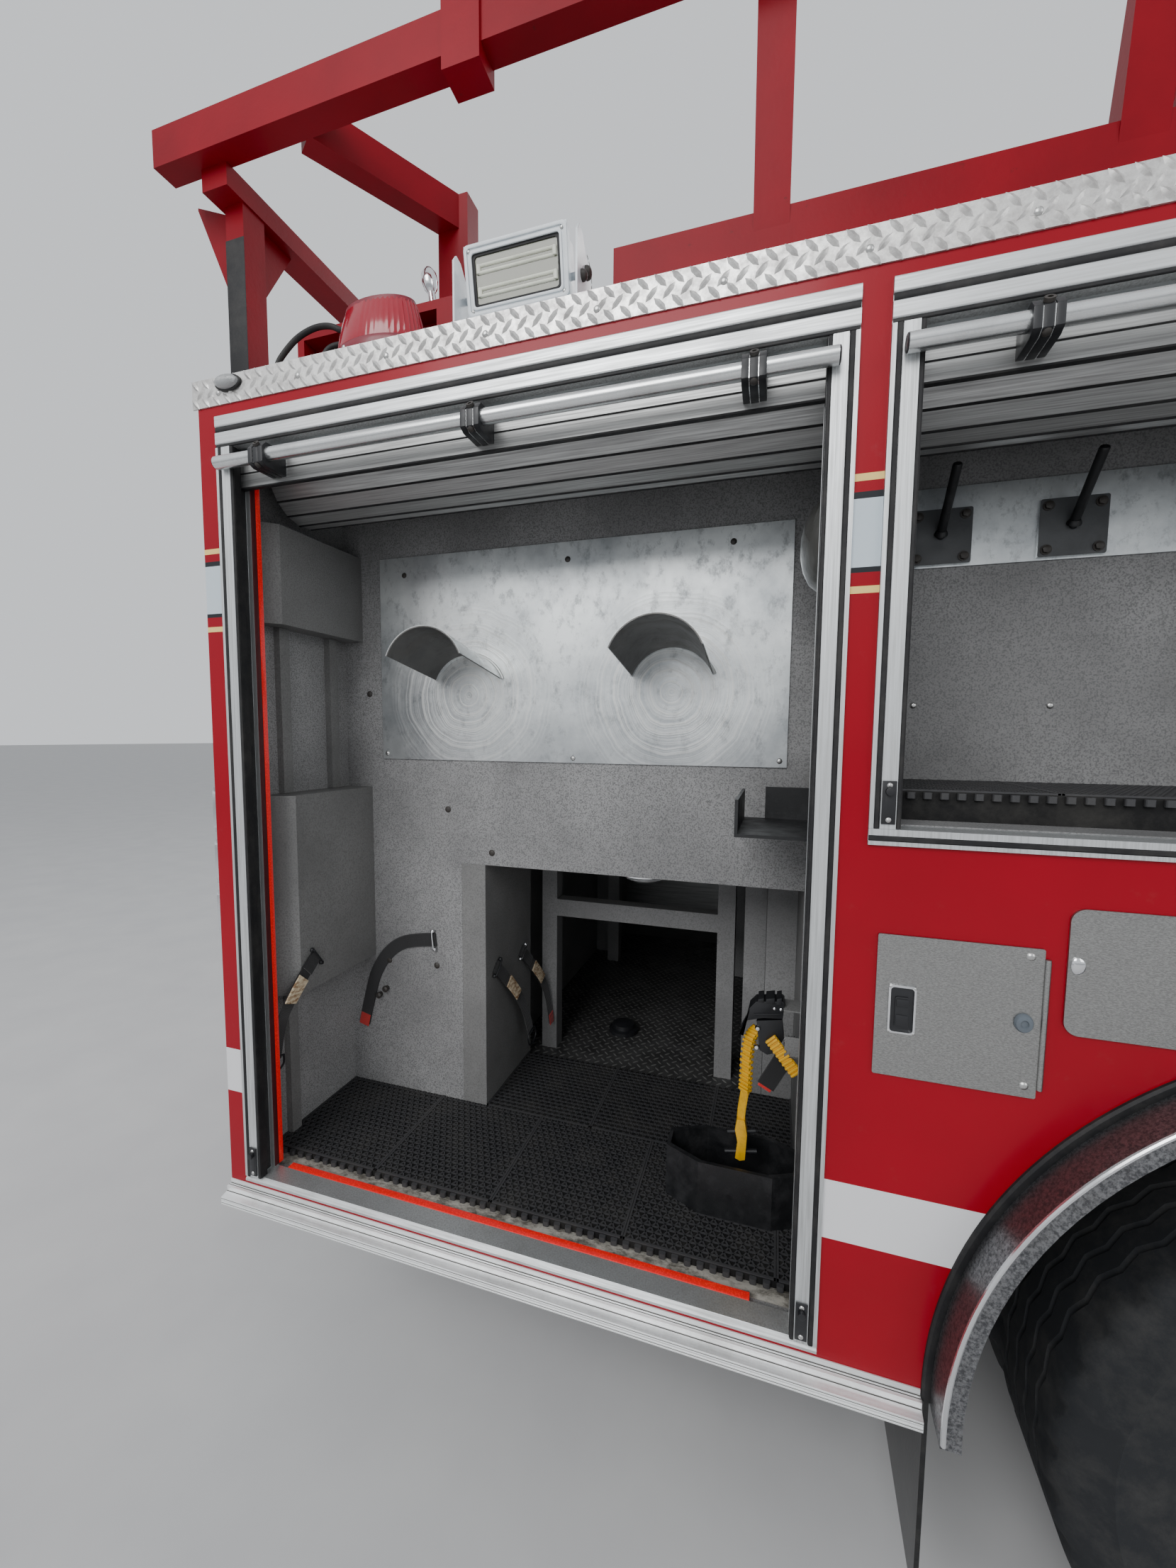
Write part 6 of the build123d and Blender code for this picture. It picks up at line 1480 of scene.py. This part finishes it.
def blown(name, size):
    """A pad about the origin, swollen by cloth under pressure, its sides drawn in."""
    work = bmesh.new()
    bmesh.ops.create_cube(work, size=1)
    for vertex in work.verts:
        vertex.co = Vector([a * b for a, b in zip(vertex.co, size)])
    bmesh.ops.bevel(work, geom=work.edges[:], offset=min(size) * 0.22, segments=3, affect="EDGES", profile=0.5)
    mesh = bpy.data.meshes.new(name)
    work.to_mesh(mesh)
    work.free()
    piece = bpy.data.objects.new(name, mesh)
    bpy.context.scene.collection.objects.link(piece)
    remesh = piece.modifiers.new("even", "REMESH")
    remesh.mode = "VOXEL"
    remesh.voxel_size = PAD_VOXEL
    applied(piece)
    half = [s / 2 for s in size]
    for vertex in piece.data.vertices:
        a, b, c = (min(1, abs(v / h)) for v, h in zip(vertex.co, half))
        vertex.co.x *= 1 - 0.030 * (1 - b * b) * a - 0.020 * (1 - c * c) * a
        vertex.co.y *= 1 - 0.030 * (1 - a * a) * b - 0.020 * (1 - c * c) * b
    start = [vertex.co.copy() for vertex in piece.data.vertices]
    cloth = piece.modifiers.new("swell", "CLOTH")
    cloth.settings.use_pressure = True
    cloth.settings.uniform_pressure_force = 4
    cloth.settings.effector_weights.gravity = 0
    for number in range(1, 21):
        bpy.context.scene.frame_set(number)
    applied(piece)
    bpy.context.scene.frame_set(1)
    for vertex, place in zip(piece.data.vertices, start):
        moved = vertex.co - place
        if moved.length > SWELL_CAP:
            vertex.co = place + moved * (SWELL_CAP / moved.length)
    return piece


def sewn(piece, flat, lines):
    """Presses sewn channels into the pad's outer side. Lines are (direction, place) pairs."""
    smooth = piece.modifiers.new("fine", "SUBSURF")
    smooth.levels = smooth.render_levels = 1
    applied(piece)
    for vertex in piece.data.vertices:
        if vertex.co[flat] > 0:
            for way, place in lines:
                far = (vertex.co[way] - place) / 0.010
                vertex.co[flat] -= 0.011 * 2.718 ** (-far * far)
    piece.data.shade_smooth()


def piping(pad, flat, width, height):
    """A sewn cord round the pad's outer side, laid on its surface."""
    rings = []
    bpy.context.view_layer.update()
    path = []
    for a, b in rounded(width, height, 0.045, 8):
        place = Vector((a, b, 0.030)) if flat == 2 else Vector((0.030, a, b))
        found, spot, normal, face = pad.closest_point_on_mesh(place)
        path.append((spot, normal))
    for i, (spot, normal) in enumerate(path):
        along = (path[(i + 1) % len(path)][0] - path[i - 1][0]).normalized()
        across = along.cross(normal).normalized()
        rings.append([spot + (across * cos(t) + normal * sin(t)) * 0.0038 for t in (2 * pi * n / 8 for n in range(8))])
    seam = Shape()
    seam.loops(rings, around=True)
    return seam


def seats(m):
    """Crowned seat and back cushions with sewn channels and piping."""
    base = blown("seat_base", (0.400, 0.440, 0.074))
    sewn(base, 2, [(1, -0.135), (1, 0.135)])
    back = blown("seat_back", (0.074, 0.440, 0.650))
    sewn(back, 0, [(1, -0.135), (1, 0.135), (2, 0.120)])
    seams = [piping(base, 2, 0.360, 0.400), piping(back, 0, 0.400, 0.610)]
    for name, x, y in SEATS:
        for part, pad, seam, place in (("base", base, seams[0], Vector((x + 0.312, y, 1.550))),
                                       ("back", back, seams[1], Vector((x + 0.056, y, 1.902)))):
            piece = bpy.data.objects.new(f"{name}_{part}", pad.data.copy())
            for vertex in piece.data.vertices:
                vertex.co += place
            piece.data.materials.clear()
            piece.data.materials.append(m["seat"])
            bpy.context.scene.collection.objects.link(piece)
            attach(piece, "truck")
            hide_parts("seats")
            line = Shape()
            line.add([Vector(p) + place for p in seam.points], seam.faces)
            line.make(f"{name}_{part}_piping", m["dark_screw"], slot="seat_cover")
    bpy.data.objects.remove(base)
    bpy.data.objects.remove(back)


# Cab
def ring_frame(shape, centre, across, up, outer, inner, corner, low, high):
    """A rounded frame on a face: outer and inner (width, height), standing from low to high off it."""
    centre, across, up = Vector(centre), Vector(across).normalized(), Vector(up).normalized()
    out = across.cross(up)
    rings = []
    for (width, height), far, grow in ((outer, low, 0), (outer, high * 0.7, 0), (outer, high, -0.003), (inner, high, 0.003),
                                       (inner, high * 0.7, 0), (inner, low, 0)):
        rings.append([centre + across * a + up * b + out * far for a, b in
                      rounded(width + 2 * grow, height + 2 * grow, max(0.004, corner + (width - inner[0]) / 2), 6)])
    shape.loops(rings, around=True)


DOOR_PANES = [("front", 3.27, 4.15), ("crew", 1.05, 1.91)]


def cab_windows(m):
    """Black rubber round every pane, the wipers, and the doors' handles and hinges."""
    slope = 0.120 / 0.910
    rise = Vector((-slope, 0, 1)).normalized()
    fixed, wipers = Shape(), Shape()
    for side in (-1, 1):
        ring_frame(fixed, (2.59, side * CAB_SIDE, 2.165), (-side, 0, 0), (0, 0, 1), (0.484, 0.654), (0.440, 0.610), 0.012, -0.016, 0.0035)
        middle_z = 2.165
        face_x = CAB_FRONT - (middle_z - 1.70) * slope
        height = 0.770 / rise.z
        ring_frame(fixed, (face_x, side * 0.545, middle_z), (0, 1, 0), rise, (1.054, height + 0.024), (1.006, height - 0.022), 0.014, -0.014, 0.0045)
        pivot = Vector((CAB_FRONT - 0.006, side * 0.24, 1.742))
        out = Vector((0, 1, 0)).cross(rise)
        arm = [pivot + out * 0.030, pivot + out * 0.034 + rise * 0.20 + Vector((0, side * 0.06, 0)),
               pivot + out * 0.022 + rise * 0.46 + Vector((0, side * 0.15, 0))]
        wipers.turned([(0.022, 0), (0.022, 0.016), (0.014, 0.030), (0, 0.036)], pivot, out, 16)
        wipers.swept(curved(arm, 6), [(0.008, -0.003), (0.008, 0.003), (-0.008, 0.003), (-0.008, -0.003)], (0, 1, 0))
        blade = [arm[2] + rise * s + Vector((0, side * s * 0.30, 0)) - out * 0.006 for s in (-0.30, -0.15, 0, 0.13, 0.25)]
        wipers.swept(blade, [(0.006, -0.009), (0.006, 0.008), (-0.006, 0.008), (-0.006, -0.009)], (0, 1, 0))
    ring_frame(fixed, (CAB_REAR, 0, 2.100), (0, -1, 0), (0, 0, 1), (1.024, 0.424), (0.980, 0.380), 0.012, -0.016, 0.0035)
    fixed.make("pane_gaskets", m["seal"], slot="rubber")
    wipers.make("wipers", m["black_plastic"], slot="black_steel")
    for place, x0, x1 in DOOR_PANES:
        for name, side in (("right", -1), ("left", 1)):
            rubber_ring, handle, chrome = Shape(), Shape(), Shape()
            body = f"{place}_door_{name}"
            middle = ((x0 + x1) / 2, side * CAB_SIDE, 2.165)
            wide = x1 - x0 - 0.180
            ring_frame(rubber_ring, middle, (-side, 0, 0), (0, 0, 1), (wide + 0.026, 0.656), (wide - 0.018, 0.612), 0.031, -0.016, 0.0035)
            ring_frame(rubber_ring, ((x0 + x1) / 2, side * (CAB_SIDE - 0.003), 1.620), (-side, 0, 0), (0, 0, 1), (x1 - x0 - 0.014, 1.866),
                       (x1 - x0 - 0.026, 1.854), 0.034, -0.010, 0.0005)
            spot = Vector((x0 + 0.120, side * CAB_SIDE, 1.520))
            ring_frame(chrome, spot, (-side, 0, 0), (0, 0, 1), (0.150, 0.100), (0.126, 0.076), 0.010, -0.0005, 0.006)
            handle.slab(rounded(0.128, 0.078, 0.010, 4), spot, (-side, 0, 0), (0, 0, 1), 0.0020)
            handle.slab(rounded(0.108, 0.050, 0.009, 4), spot + Vector((0, side * 0.0020, 0.006)), (-side, 0, 0), (0, 0, 1), 0.0090)
            chrome.turned([(0.0085, 0), (0.0085, 0.004), (0.006, 0.006), (0, 0.006)], spot + Vector((0.090, 0, -0.010)), (0, side, 0), 16)
            for z in (0.95, 1.62, 2.32):
                hinge_x = x1 - 0.006
                chrome.tube((hinge_x, side * CAB_SIDE, z - 0.060), (hinge_x, side * CAB_SIDE, z + 0.060), 0.0054, 16)
                low, high = sorted((side * CAB_SIDE, side * (CAB_SIDE + 0.004)))
                chrome.box((hinge_x - 0.055, low, z - 0.052), (hinge_x - 0.006, high, z + 0.052))
                for a in (-0.030, 0.030):
                    chrome.screw((hinge_x - 0.032, side * (CAB_SIDE + 0.004), z + a), (0, side, 0), 0.006)
            rubber_ring.make(body + "_rubber", m["seal"], body=body, slot="rubber")
            handle.make(body + "_paddle", m["black_plastic"], body=body, slot="black_steel", bevel=0.0015)
            chrome.make(body + "_fittings", m["polished"], body=body, slot="stainless", bevel=0.0008)


def cab_lamps(m):
    """Lenses and bezels of the head, tail and roof lamps, and the mirrors' glass."""
    clear, amber, red, chrome, dark, mirror = (Shape() for _ in range(6))
    for side in (-1, 1):
        for y in (0.98, 0.71):
            spot = Vector((4.4083, side * y, 1.070))
            chrome.turned([(0.0920, -0.018), (0.0920, 0.001), (0.0890, 0.004), (0.0820, 0.004), (0.0805, 0.0012)], spot, (1, 0, 0), 40)
            clear.turned([(0.0810, 0.0004), (0.0800, 0.006), (0.0640, 0.013), (0.0380, 0.018), (0, 0.020)], spot, (1, 0, 0), 40)
        y_low, y_high = sorted((side * 1.072, side * 1.210))
        middle = side * 1.141
        for z, lens_shape in ((1.2300, clear), (1.3500, amber), (1.4700, red)):
            ring_frame(chrome, (-4.5643, middle, z + 0.0525), (0, -1, 0), (0, 0, 1), (0.144, 0.107), (0.126, 0.089), 0.008, -0.010, 0.0040)
            rings = []
            for grow, far in ((0, 0.0004), (0, 0.0050), (-0.004, 0.0085), (-0.020, 0.0105)):
                rings.append([(-4.5643 - far, middle + a, z + 0.0525 + b) for a, b in rounded(0.126 + 2 * grow, 0.089 + 2 * grow, 0.010, 4)])
            lens_shape.loops(rings)
        for edge in (0.10, 0.30, 0.50, 0.70, 0.88):
            outline = [(a, b) for a, b in rounded(0.3036, 0.1536, 0.0418, 6)]
            rings = [[(3.650 + a, side * edge + w, 2.855 + b) for a, b in outline] for w in (-0.006, 0.006)]
            dark.loops(rings)
        y = side * (CAB_SIDE + 0.1903)
        mirror.slab(rounded(0.176, 0.300, 0.016, 4), (4.2900, y, 2.215), (0, -1, 0), (0, 0, 1), 0.0014)
        mirror.slab(rounded(0.176, 0.140, 0.016, 4), (4.2900, y, 1.985), (0, -1, 0), (0, 0, 1), 0.0014)
        for z, tall in ((2.215, 0.300), (1.985, 0.140)):
            ring_frame(dark, (4.2900, y, z), (0, -1, 0), (0, 0, 1), (0.190, tall + 0.014), (0.174, tall - 0.002), 0.016, -0.0005, 0.0030)
    low, high = (4.3504, -0.441, 0.939), (4.3512, 0.441, 1.521)
    backing = Shape()
    backing.box(low, high)
    for number in range(58):
        y = -0.4335 + number * 0.0152
        backing.slab([(0, -0.0022), (0.0030, 0), (0, 0.0022)], (4.3511, y, 0.941), (1, 0, 0), (0, 1, 0), 0.578)
    backing.make("grille_backing", m["chassis"], slot="black_steel")
    clear.make("clear_lenses", m["clear"], slot="lamp")
    amber.make("amber_lenses", m["amber"], slot="lamp")
    red.make("red_lenses", m["red_lens"], slot="red_lens")
    chrome.make("lamp_bezels", m["polished"], slot="stainless")
    dark.make("lamp_dividers", m["black_plastic"], slot="black_steel", bevel=0.0010)
    mirror.make("mirror_glass", m["mirror"], slot="glass")


# Pump panel
PUMP_REAR, PUMP_SIDE = -0.26, 1.1903
INTAKES = [(0.575, 0.950, 0.100, 0.150), (0.250, 1.050, 0.048, 0.110), (0.900, 1.050, 0.048, 0.110), (0.250, 1.400, 0.048, 0.110),
           (0.900, 1.400, 0.048, 0.110)]
GAUGES = [(0.440, 1.720, 0.076, 0.022), (0.710, 1.720, 0.076, 0.022), (0.180, 1.620, 0.038, 0.016), (0.970, 1.620, 0.038, 0.016),
          (0.180, 1.800, 0.038, 0.016), (0.970, 1.800, 0.038, 0.016), (0.575, 1.500, 0.030, 0.016)]


def pump_panel(m):
    """Dials, caps with their lugs and the panel's screws."""
    dial, ticks, needle, bezel, caps, screws = (Shape() for _ in range(6))
    for offset, z, radius, reach in GAUGES:
        x, y = PUMP_REAR + offset, -PUMP_SIDE - reach
        bezel.turned([(radius * 1.04, -reach), (radius * 1.04, 0.001), (radius * 1.00, 0.004), (radius * 0.90, 0.004), (radius * 0.88, 0.0006)],
                     (x, y, z), (0, -1, 0), 40)
        dial.turned([(radius * 0.89, 0), (radius * 0.89, 0.0008), (0, 0.0008)], (x, y, z), (0, -1, 0), 40)
        for number in range(25):
            angle = radians(225 - 270 * number / 24)
            inner = 0.68 if number % 4 == 0 else 0.75
            way = Vector((cos(angle), 0, sin(angle)))
            side = Vector((-way.z, 0, way.x)) * radius * (0.016 if number % 4 == 0 else 0.008)
            centre = Vector((x, y - 0.0008, z))
            a, b = centre + way * radius * inner, centre + way * radius * 0.83
            deep = Vector((0, -0.0004, 0))
            ticks.loops([[a - side, a + side, a + side + deep, a - side + deep], [b - side, b + side, b + side + deep, b - side + deep]])
        way = Vector((cos(radians(215)), 0, sin(radians(215))))
        side = Vector((-way.z, 0, way.x)) * radius * 0.030
        centre, deep = Vector((x, y - 0.0014, z)), Vector((0, -0.0006, 0))
        a, b = centre - way * radius * 0.16, centre + way * radius * 0.72
        needle.loops([[a - side, a + side, a + side + deep, a - side + deep],
                      [b - side * 0.2, b + side * 0.2, b + side * 0.2 + deep, b - side * 0.2 + deep]])
        needle.turned([(radius * 0.09, 0), (radius * 0.09, 0.0022), (0, 0.0026)], (x, y - 0.0008, z), (0, -1, 0), 16)
    for offset, z, radius, reach in INTAKES:
        x, y = PUMP_REAR + offset, -PUMP_SIDE - reach
        big = radius * 0.9
        caps.turned([(big * 1.03, -0.050), (big * 1.03, -0.004), (big * 0.97, 0.0), (big * 0.80, 0.0025), (big * 0.30, 0.0045), (0, 0.0045)],
                    (x, y, z), (0, -1, 0), 48)
        for number in range(24):
            angle = 2 * pi * number / 24
            place = Vector((x + big * 1.03 * cos(angle), y + 0.006, z + big * 1.03 * sin(angle)))
            caps.tube(place, place + Vector((0, 0.038, 0)), big * 0.045, 6)
        for angle in (0, pi):
            way = Vector((cos(angle), 0, sin(angle)))
            caps.tube(Vector((x, y + 0.024, z)) + way * big, Vector((x, y + 0.024, z)) + way * (big + 0.030), 0.0085, 12, end_radius=0.0070)
        for number in range(8):
            angle = 2 * pi * (number + 0.5) / 8
            screws.screw((x + radius * 0.88 * cos(angle), -PUMP_SIDE - 0.0140, z + radius * 0.88 * sin(angle)), (0, -1, 0), radius * 0.055)
    for z in (0.74, 1.24, 1.58, 1.98):
        for number in range(9):
            screws.screw((PUMP_REAR + 0.030 + number * 0.136, -PUMP_SIDE + 0.0003, z), (0, -1, 0), 0.0065)
    dial.both().make("gauge_faces", m["dial"], slot="lamp_white")
    ticks.both().make("gauge_ticks", m["black_plastic"], slot="black_steel")
    needle.both().make("gauge_needles", m["needle"], slot="red_lens")
    bezel.both().make("gauge_bezels", m["polished"], slot="stainless")
    caps.both().make("intake_caps", m["polished"], slot="stainless", bevel=0.0006)
    screws.both().make("panel_screws", m["screw"], slot="stainless")


# Rear face and rack
RUNNING_BOARD_TOP = 0.660


def rear_and_rack(m):
    """Rubber on the rack's rear posts, the tailboard's tread and the running boards' tread."""
    strips, bars, fitting = Shape(), Shape(), Shape()
    strips.box((-4.5490, -1.1352, 2.456), (-4.4970, -1.1342, 2.800))
    tread(bars, (-4.790, -0.770, COMPARTMENT_FLOOR), (1, 0, 0), (0, 1, 0), 0.230, 1.540, 0.034, 0.027, 0.0078, 0.0016)
    for y0 in (-1.205, 0.605):
        tread(bars, (PUMP_REAR + 0.010, y0, RUNNING_BOARD_TOP), (1, 0, 0), (0, 1, 0), 1.120, 0.600, 0.034, 0.027, 0.0078, 0.0016)
    foot, neck = Vector((-4.088, -0.960, 2.4533)), Vector((-4.131, -0.960, 2.722))
    fitting.turned([(0.030, 0), (0.030, 0.006), (0.013, 0.010), (0.009, 0.030)], foot, (0, 0, 1), 24)
    fitting.tube(foot, neck, 0.0085, 20)
    fitting.turned([(0.0085, 0), (0.0150, 0.010), (0.0190, 0.026), (0.0175, 0.042), (0.0100, 0.054), (0, 0.058)], neck, neck - foot, 24)
    strips.both().make("post_rubber", m["seal"], slot="rubber", bevel=0.0003)
    bars.make("step_diamonds", m["bright_plate"], slot="tread_plate", smooth=20)
    fitting.make("roof_fitting", m["polished"], slot="stainless")



# Stage, camera and light
def stage():
    mesh = bpy.data.meshes.new("studio_floor")
    reach = 90
    mesh.from_pydata([(-reach, -reach, 0), (reach, -reach, 0), (reach, reach, 0), (-reach, reach, 0)], [], [(0, 1, 2, 3)])
    floor_piece = bpy.data.objects.new("studio_floor", mesh)
    bpy.context.scene.collection.objects.link(floor_piece)
    mesh.materials.append(floor_material())


def camera():
    forward = Vector((-sin(CAMERA_YAW) * cos(CAMERA_PITCH), cos(CAMERA_YAW) * cos(CAMERA_PITCH), -sin(CAMERA_PITCH)))
    level = Vector((cos(CAMERA_YAW), sin(CAMERA_YAW), 0))
    upright = level.cross(forward)
    right = cos(CAMERA_ROLL) * level + sin(CAMERA_ROLL) * upright
    up = cos(CAMERA_ROLL) * upright - sin(CAMERA_ROLL) * level
    data = bpy.data.cameras.new("camera")
    data.lens = CAMERA_LENS
    data.sensor_width = SENSOR_WIDTH
    data.sensor_fit = "HORIZONTAL"
    data.clip_start = 0.02
    data.clip_end = 400
    eye = bpy.data.objects.new("camera", data)
    turn = Matrix((right, up, -forward)).transposed().to_4x4()
    turn.translation = CAMERA_PLACE
    eye.matrix_world = turn
    bpy.context.scene.collection.objects.link(eye)
    bpy.context.scene.camera = eye


def lamp(name, place, target, size, watts):
    data = bpy.data.lights.new(name, "AREA")
    data.shape = "SQUARE"
    data.size = size
    data.energy = watts
    piece = bpy.data.objects.new(name, data)
    piece.location = place
    piece.rotation_mode = "QUATERNION"
    piece.rotation_quaternion = (Vector(target) - Vector(place)).to_track_quat("-Z", "Y")
    bpy.context.scene.collection.objects.link(piece)


def light():
    world = bpy.data.worlds.new("studio")
    bpy.context.scene.world = world
    world.use_nodes = True
    nodes, links = world.node_tree.nodes, world.node_tree.links
    soft = nodes["Background"]
    soft.inputs["Color"].default_value = (0.93, 0.96, 1.0, 1)
    soft.inputs["Strength"].default_value = WORLD_LIGHT
    seen = nodes.new("ShaderNodeBackground")
    seen.inputs["Color"].default_value = srgb(232, 235, 239)
    seen.inputs["Strength"].default_value = 1.0
    rays = nodes.new("ShaderNodeLightPath")
    either = nodes.new("ShaderNodeMath")
    either.operation = "MAXIMUM"
    links.new(rays.outputs["Is Camera Ray"], either.inputs[0])
    links.new(rays.outputs["Is Transmission Ray"], either.inputs[1])
    shiny = nodes.new("ShaderNodeMath")
    shiny.operation = "MAXIMUM"
    links.new(either.outputs[0], shiny.inputs[0])
    links.new(rays.outputs["Is Glossy Ray"], shiny.inputs[1])
    choose = nodes.new("ShaderNodeMixShader")
    links.new(shiny.outputs[0], choose.inputs[0])
    links.new(soft.outputs[0], choose.inputs[1])
    links.new(seen.outputs[0], choose.inputs[2])
    links.new(choose.outputs[0], nodes["World Output"].inputs["Surface"])
    lamp("key", (-5.5, -8.0, 6.5), (-3.2, 0, 1.4), 5, 500)
    lamp("fill", (6.0, -7.0, 6.0), (2.0, 0, 1.4), 6, 300)
    lamp("far", (0.0, 10.0, 7.5), (0, 0, 1.3), 7, 520)


WORLD_LIGHT = 0.62


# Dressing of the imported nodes
def dress(node, *materials):
    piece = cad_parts[node]
    piece.data.materials.clear()
    for material in materials:
        piece.data.materials.append(material)


def soften(node, width=0.0012, segments=2):
    """Small rounds along a node's sharp edges, as a modifier, so that its mesh stays as it is."""
    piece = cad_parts[node]
    bevel = piece.modifiers.new("edges", "BEVEL")
    bevel.width = width
    bevel.segments = segments
    bevel.limit_method = "ANGLE"
    bevel.angle_limit = radians(40)


def dress_nodes(m):
    plain = {
        "body_shell_right": m["body"], "body_shell_left": m["body"], "rear_wall": m["red"], "cab_shell": m["cab"],
        "ladder_rack": m["rack"], "door_frames": m["frame"], "curtains": m["slats"], "lift_bars": m["bar"],
        "edge_trim": m["bright_plate"], "step_boards": m["step"], "tunnel_floor": m["tunnel_shaded_plate"],
        "wheel_arch_rings": m["arch_steel"], "front_bumper": m["polished"], "grille": m["polished"],
        "pump_module": m["panel_steel"], "pump_fittings": m["polished"], "pump_casing": m["cast"],
        "fuel_flap": m["flap_steel"], "bottle_flap": m["flap_steel"], "mirrors": m["polished"],
        "wall_panels": m["sheet"], "hose_bed": m["plain_sheet"], "wall_covers": m["cover_grey"],
        "tunnel_liner": m["liner_grey"], "tunnel_frame": m["tube_grey"], "shelf_and_tray": m["black"],
        "chassis_frame": m["chassis"], "front_axle": m["chassis"], "rear_axle": m["chassis"],
        "engine_and_driveline": m["cast"], "knuckle_left": m["chassis"], "knuckle_right": m["chassis"],
        "tanks": m["tank"], "mud_flaps": m["flap_rubber"], "floor_mats": m["mat"],
        "front_tyre_left": m["tyre"], "front_tyre_right": m["tyre"], "rear_tyres_left": m["tyre"],
        "rear_tyres_right": m["tyre"], "front_rim_left": m["rim"], "front_rim_right": m["rim"],
        "rear_rims_left": m["rim"], "rear_rims_right": m["rim"], "cab_floor": m["cab_mat"],
        "dashboard": m["dash"], "seats": m["seat"], "cab_glass": m["glass"], "lamps": m["lamp_shell"],
        "flood_light": m["white_enamel"], "beacons": m["beacon_band"],
    }
    for place in ("front", "crew"):
        for side in ("left", "right"):
            plain[f"{place}_door_{side}"] = m["door"]
            plain[f"{place}_glass_{side}"] = m["glass"]
    for node, material in plain.items():
        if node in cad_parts:
            dress(node, material)


def make_materials():
    return {
        "red": red_paint(), "rack": rack_paint(), "body": body_paint("body_enamel"), "cab": cab_paint(),
        "door": cab_paint(), "frame": frame_metal(), "slats": curtain_slats(),
        "bar": aluminium("bar_aluminium", srgb(226, 228, 228), (0.2, 9, 9), 0.26, 0.95),
        "step": aluminium("step_aluminium", srgb(246, 248, 248), (0.04, 14, 14), 0.36, 0.45),
        "bright_plate": bright_plate(), "tunnel_shaded_plate": tunnel_shaded_plate(), "polished": polished("polished_steel"),
        "panel_steel": brushed_steel("panel_steel", srgb(196, 196, 196), 0.3), "cast": black_paint("cast_iron", srgb(58, 58, 60), 0.6, 90),
        "flap_steel": brushed_steel("flap_steel", srgb(168, 168, 166), 0.3, 0.8), "sheet": swirled_sheet(),
        "plain_sheet": aluminium("plain_sheet", srgb(190, 192, 194), (1, 1, 1), 0.42, 0.7),
        "cover_grey": grey_fleck("cover_grey", srgb(122, 122, 121)),
        "liner_grey": grey_fleck("liner_grey", srgb(128, 128, 127)),
        "tube_grey": grey_fleck("tube_grey", srgb(140, 140, 140)),
        "black": black_paint("satin_black"), "chassis": black_paint("chassis_black", srgb(22, 22, 24), 0.55, 120),
        "tank": plastic("tank_black", srgb(34, 34, 36), 0.5), "flap_rubber": rubber("flap_rubber", srgb(18, 18, 19), 0.28),
        "mat": rubber("mat_rubber", srgb(9, 9, 10), 0.75), "lattice": rubber("mat_lattice", srgb(60, 60, 62), 0.5),
        # the tunnel's bars: worn aluminium, darkened as painted shade of the tunnel
        "worn_and_shaded_bars": aluminium("worn_and_shaded_bars", srgb(150, 150, 148), (40, 40, 40), 0.4, 0.7), "tyre": rubber("tyre_rubber", srgb(30, 32, 35), 0.78),
        "rim": polished("rim_alloy", srgb(212, 214, 217), 0.2), "cab_mat": rubber("cab_mat", srgb(44, 44, 46), 0.8),
        "dash": plastic("dash_plastic", srgb(58, 58, 61), 0.6), "seat": seat_cloth(), "glass": window_glass(),
        "lamp_shell": polished("lamp_chrome", srgb(220, 222, 225), 0.15),
        "white_enamel": plastic("white_enamel", srgb(216, 222, 226), 0.35, 0.3, 0.05),
        "red_lens": lens("red_lens", srgb(190, 22, 46), 46.0, (1, 0, 0), 0.2),
        "seal": rubber("black_seal", srgb(24, 24, 26), 0.6), "tape": reflective_tape(),
        "black_plastic": plastic("black_plastic", srgb(26, 27, 30), 0.42), "screw": polished("screw_steel", srgb(190, 190, 188), 0.25),
        "dark_screw": black_paint("dark_screw", srgb(52, 48, 44), 0.5), "yellow": yellow_rubber(),
        "strap": webbing("black_webbing", srgb(22, 22, 24)), "pad": stained_pad(),
        "tag": webbing("red_tag", srgb(214, 40, 34)), "clear": lens("clear_lens", srgb(214, 217, 218), 130.0, (1, 0, 0), 0.5),
        "smoked": lens("smoked_lens", srgb(96, 96, 93), 60.0, (0, 0, 1), 0.3),
        "amber": lens("amber_lens", srgb(236, 130, 20), 120.0, (0, 0, 1), 0.2),
        "flood_glass": lens("flood_glass", srgb(122, 124, 106), 60.0, (0, 0, 1), 0.10, 0.3, 0.2),
        "arch_steel": arch_steel(), "hook_grey": black_paint("hook_grey", srgb(72, 74, 76), 0.5),
        "mirror": polished("mirror_glass", srgb(206, 212, 218), 0.04),
        "tape_shade": plastic("tape_shade", srgb(70, 10, 16), 0.5), "worn_sheet": worn_sheet(),
        "tube_glow": plastic("flood_tubes", srgb(222, 224, 208), 0.3), "weld": aluminium("weld_bead", srgb(206, 208, 206), (60, 60, 60), 0.4, 0.7),
        "beacon_lens": lens("beacon_lens", srgb(164, 22, 44), 40.0, (0, 0, 1), 0.12, 0.25, 0.15),
        "beacon_band": plastic("beacon_band", srgb(122, 24, 42), 0.35, 0.1), "grey_rubber": rubber("grey_rubber", srgb(96, 104, 112), 0.55),
        "dial": plastic("dial_white", srgb(232, 232, 228), 0.3), "needle": plastic("needle_red", srgb(180, 20, 20), 0.4),
    }


stage()
camera()
light()
materials = make_materials()
dress_nodes(materials)
for build in (door_seals, catch_plates, red_tape, rail_lines, clamps, drum_joints, trim_diamonds, flood_light, beacon, cables, straps, tiles, compartment_fixings, wall_light, clamp_holder, fuel_flap, bottle_flap, arches, wheels, tunnel_details, seats, cab_windows, cab_lamps, pump_panel, rear_and_rack):
    build(materials)
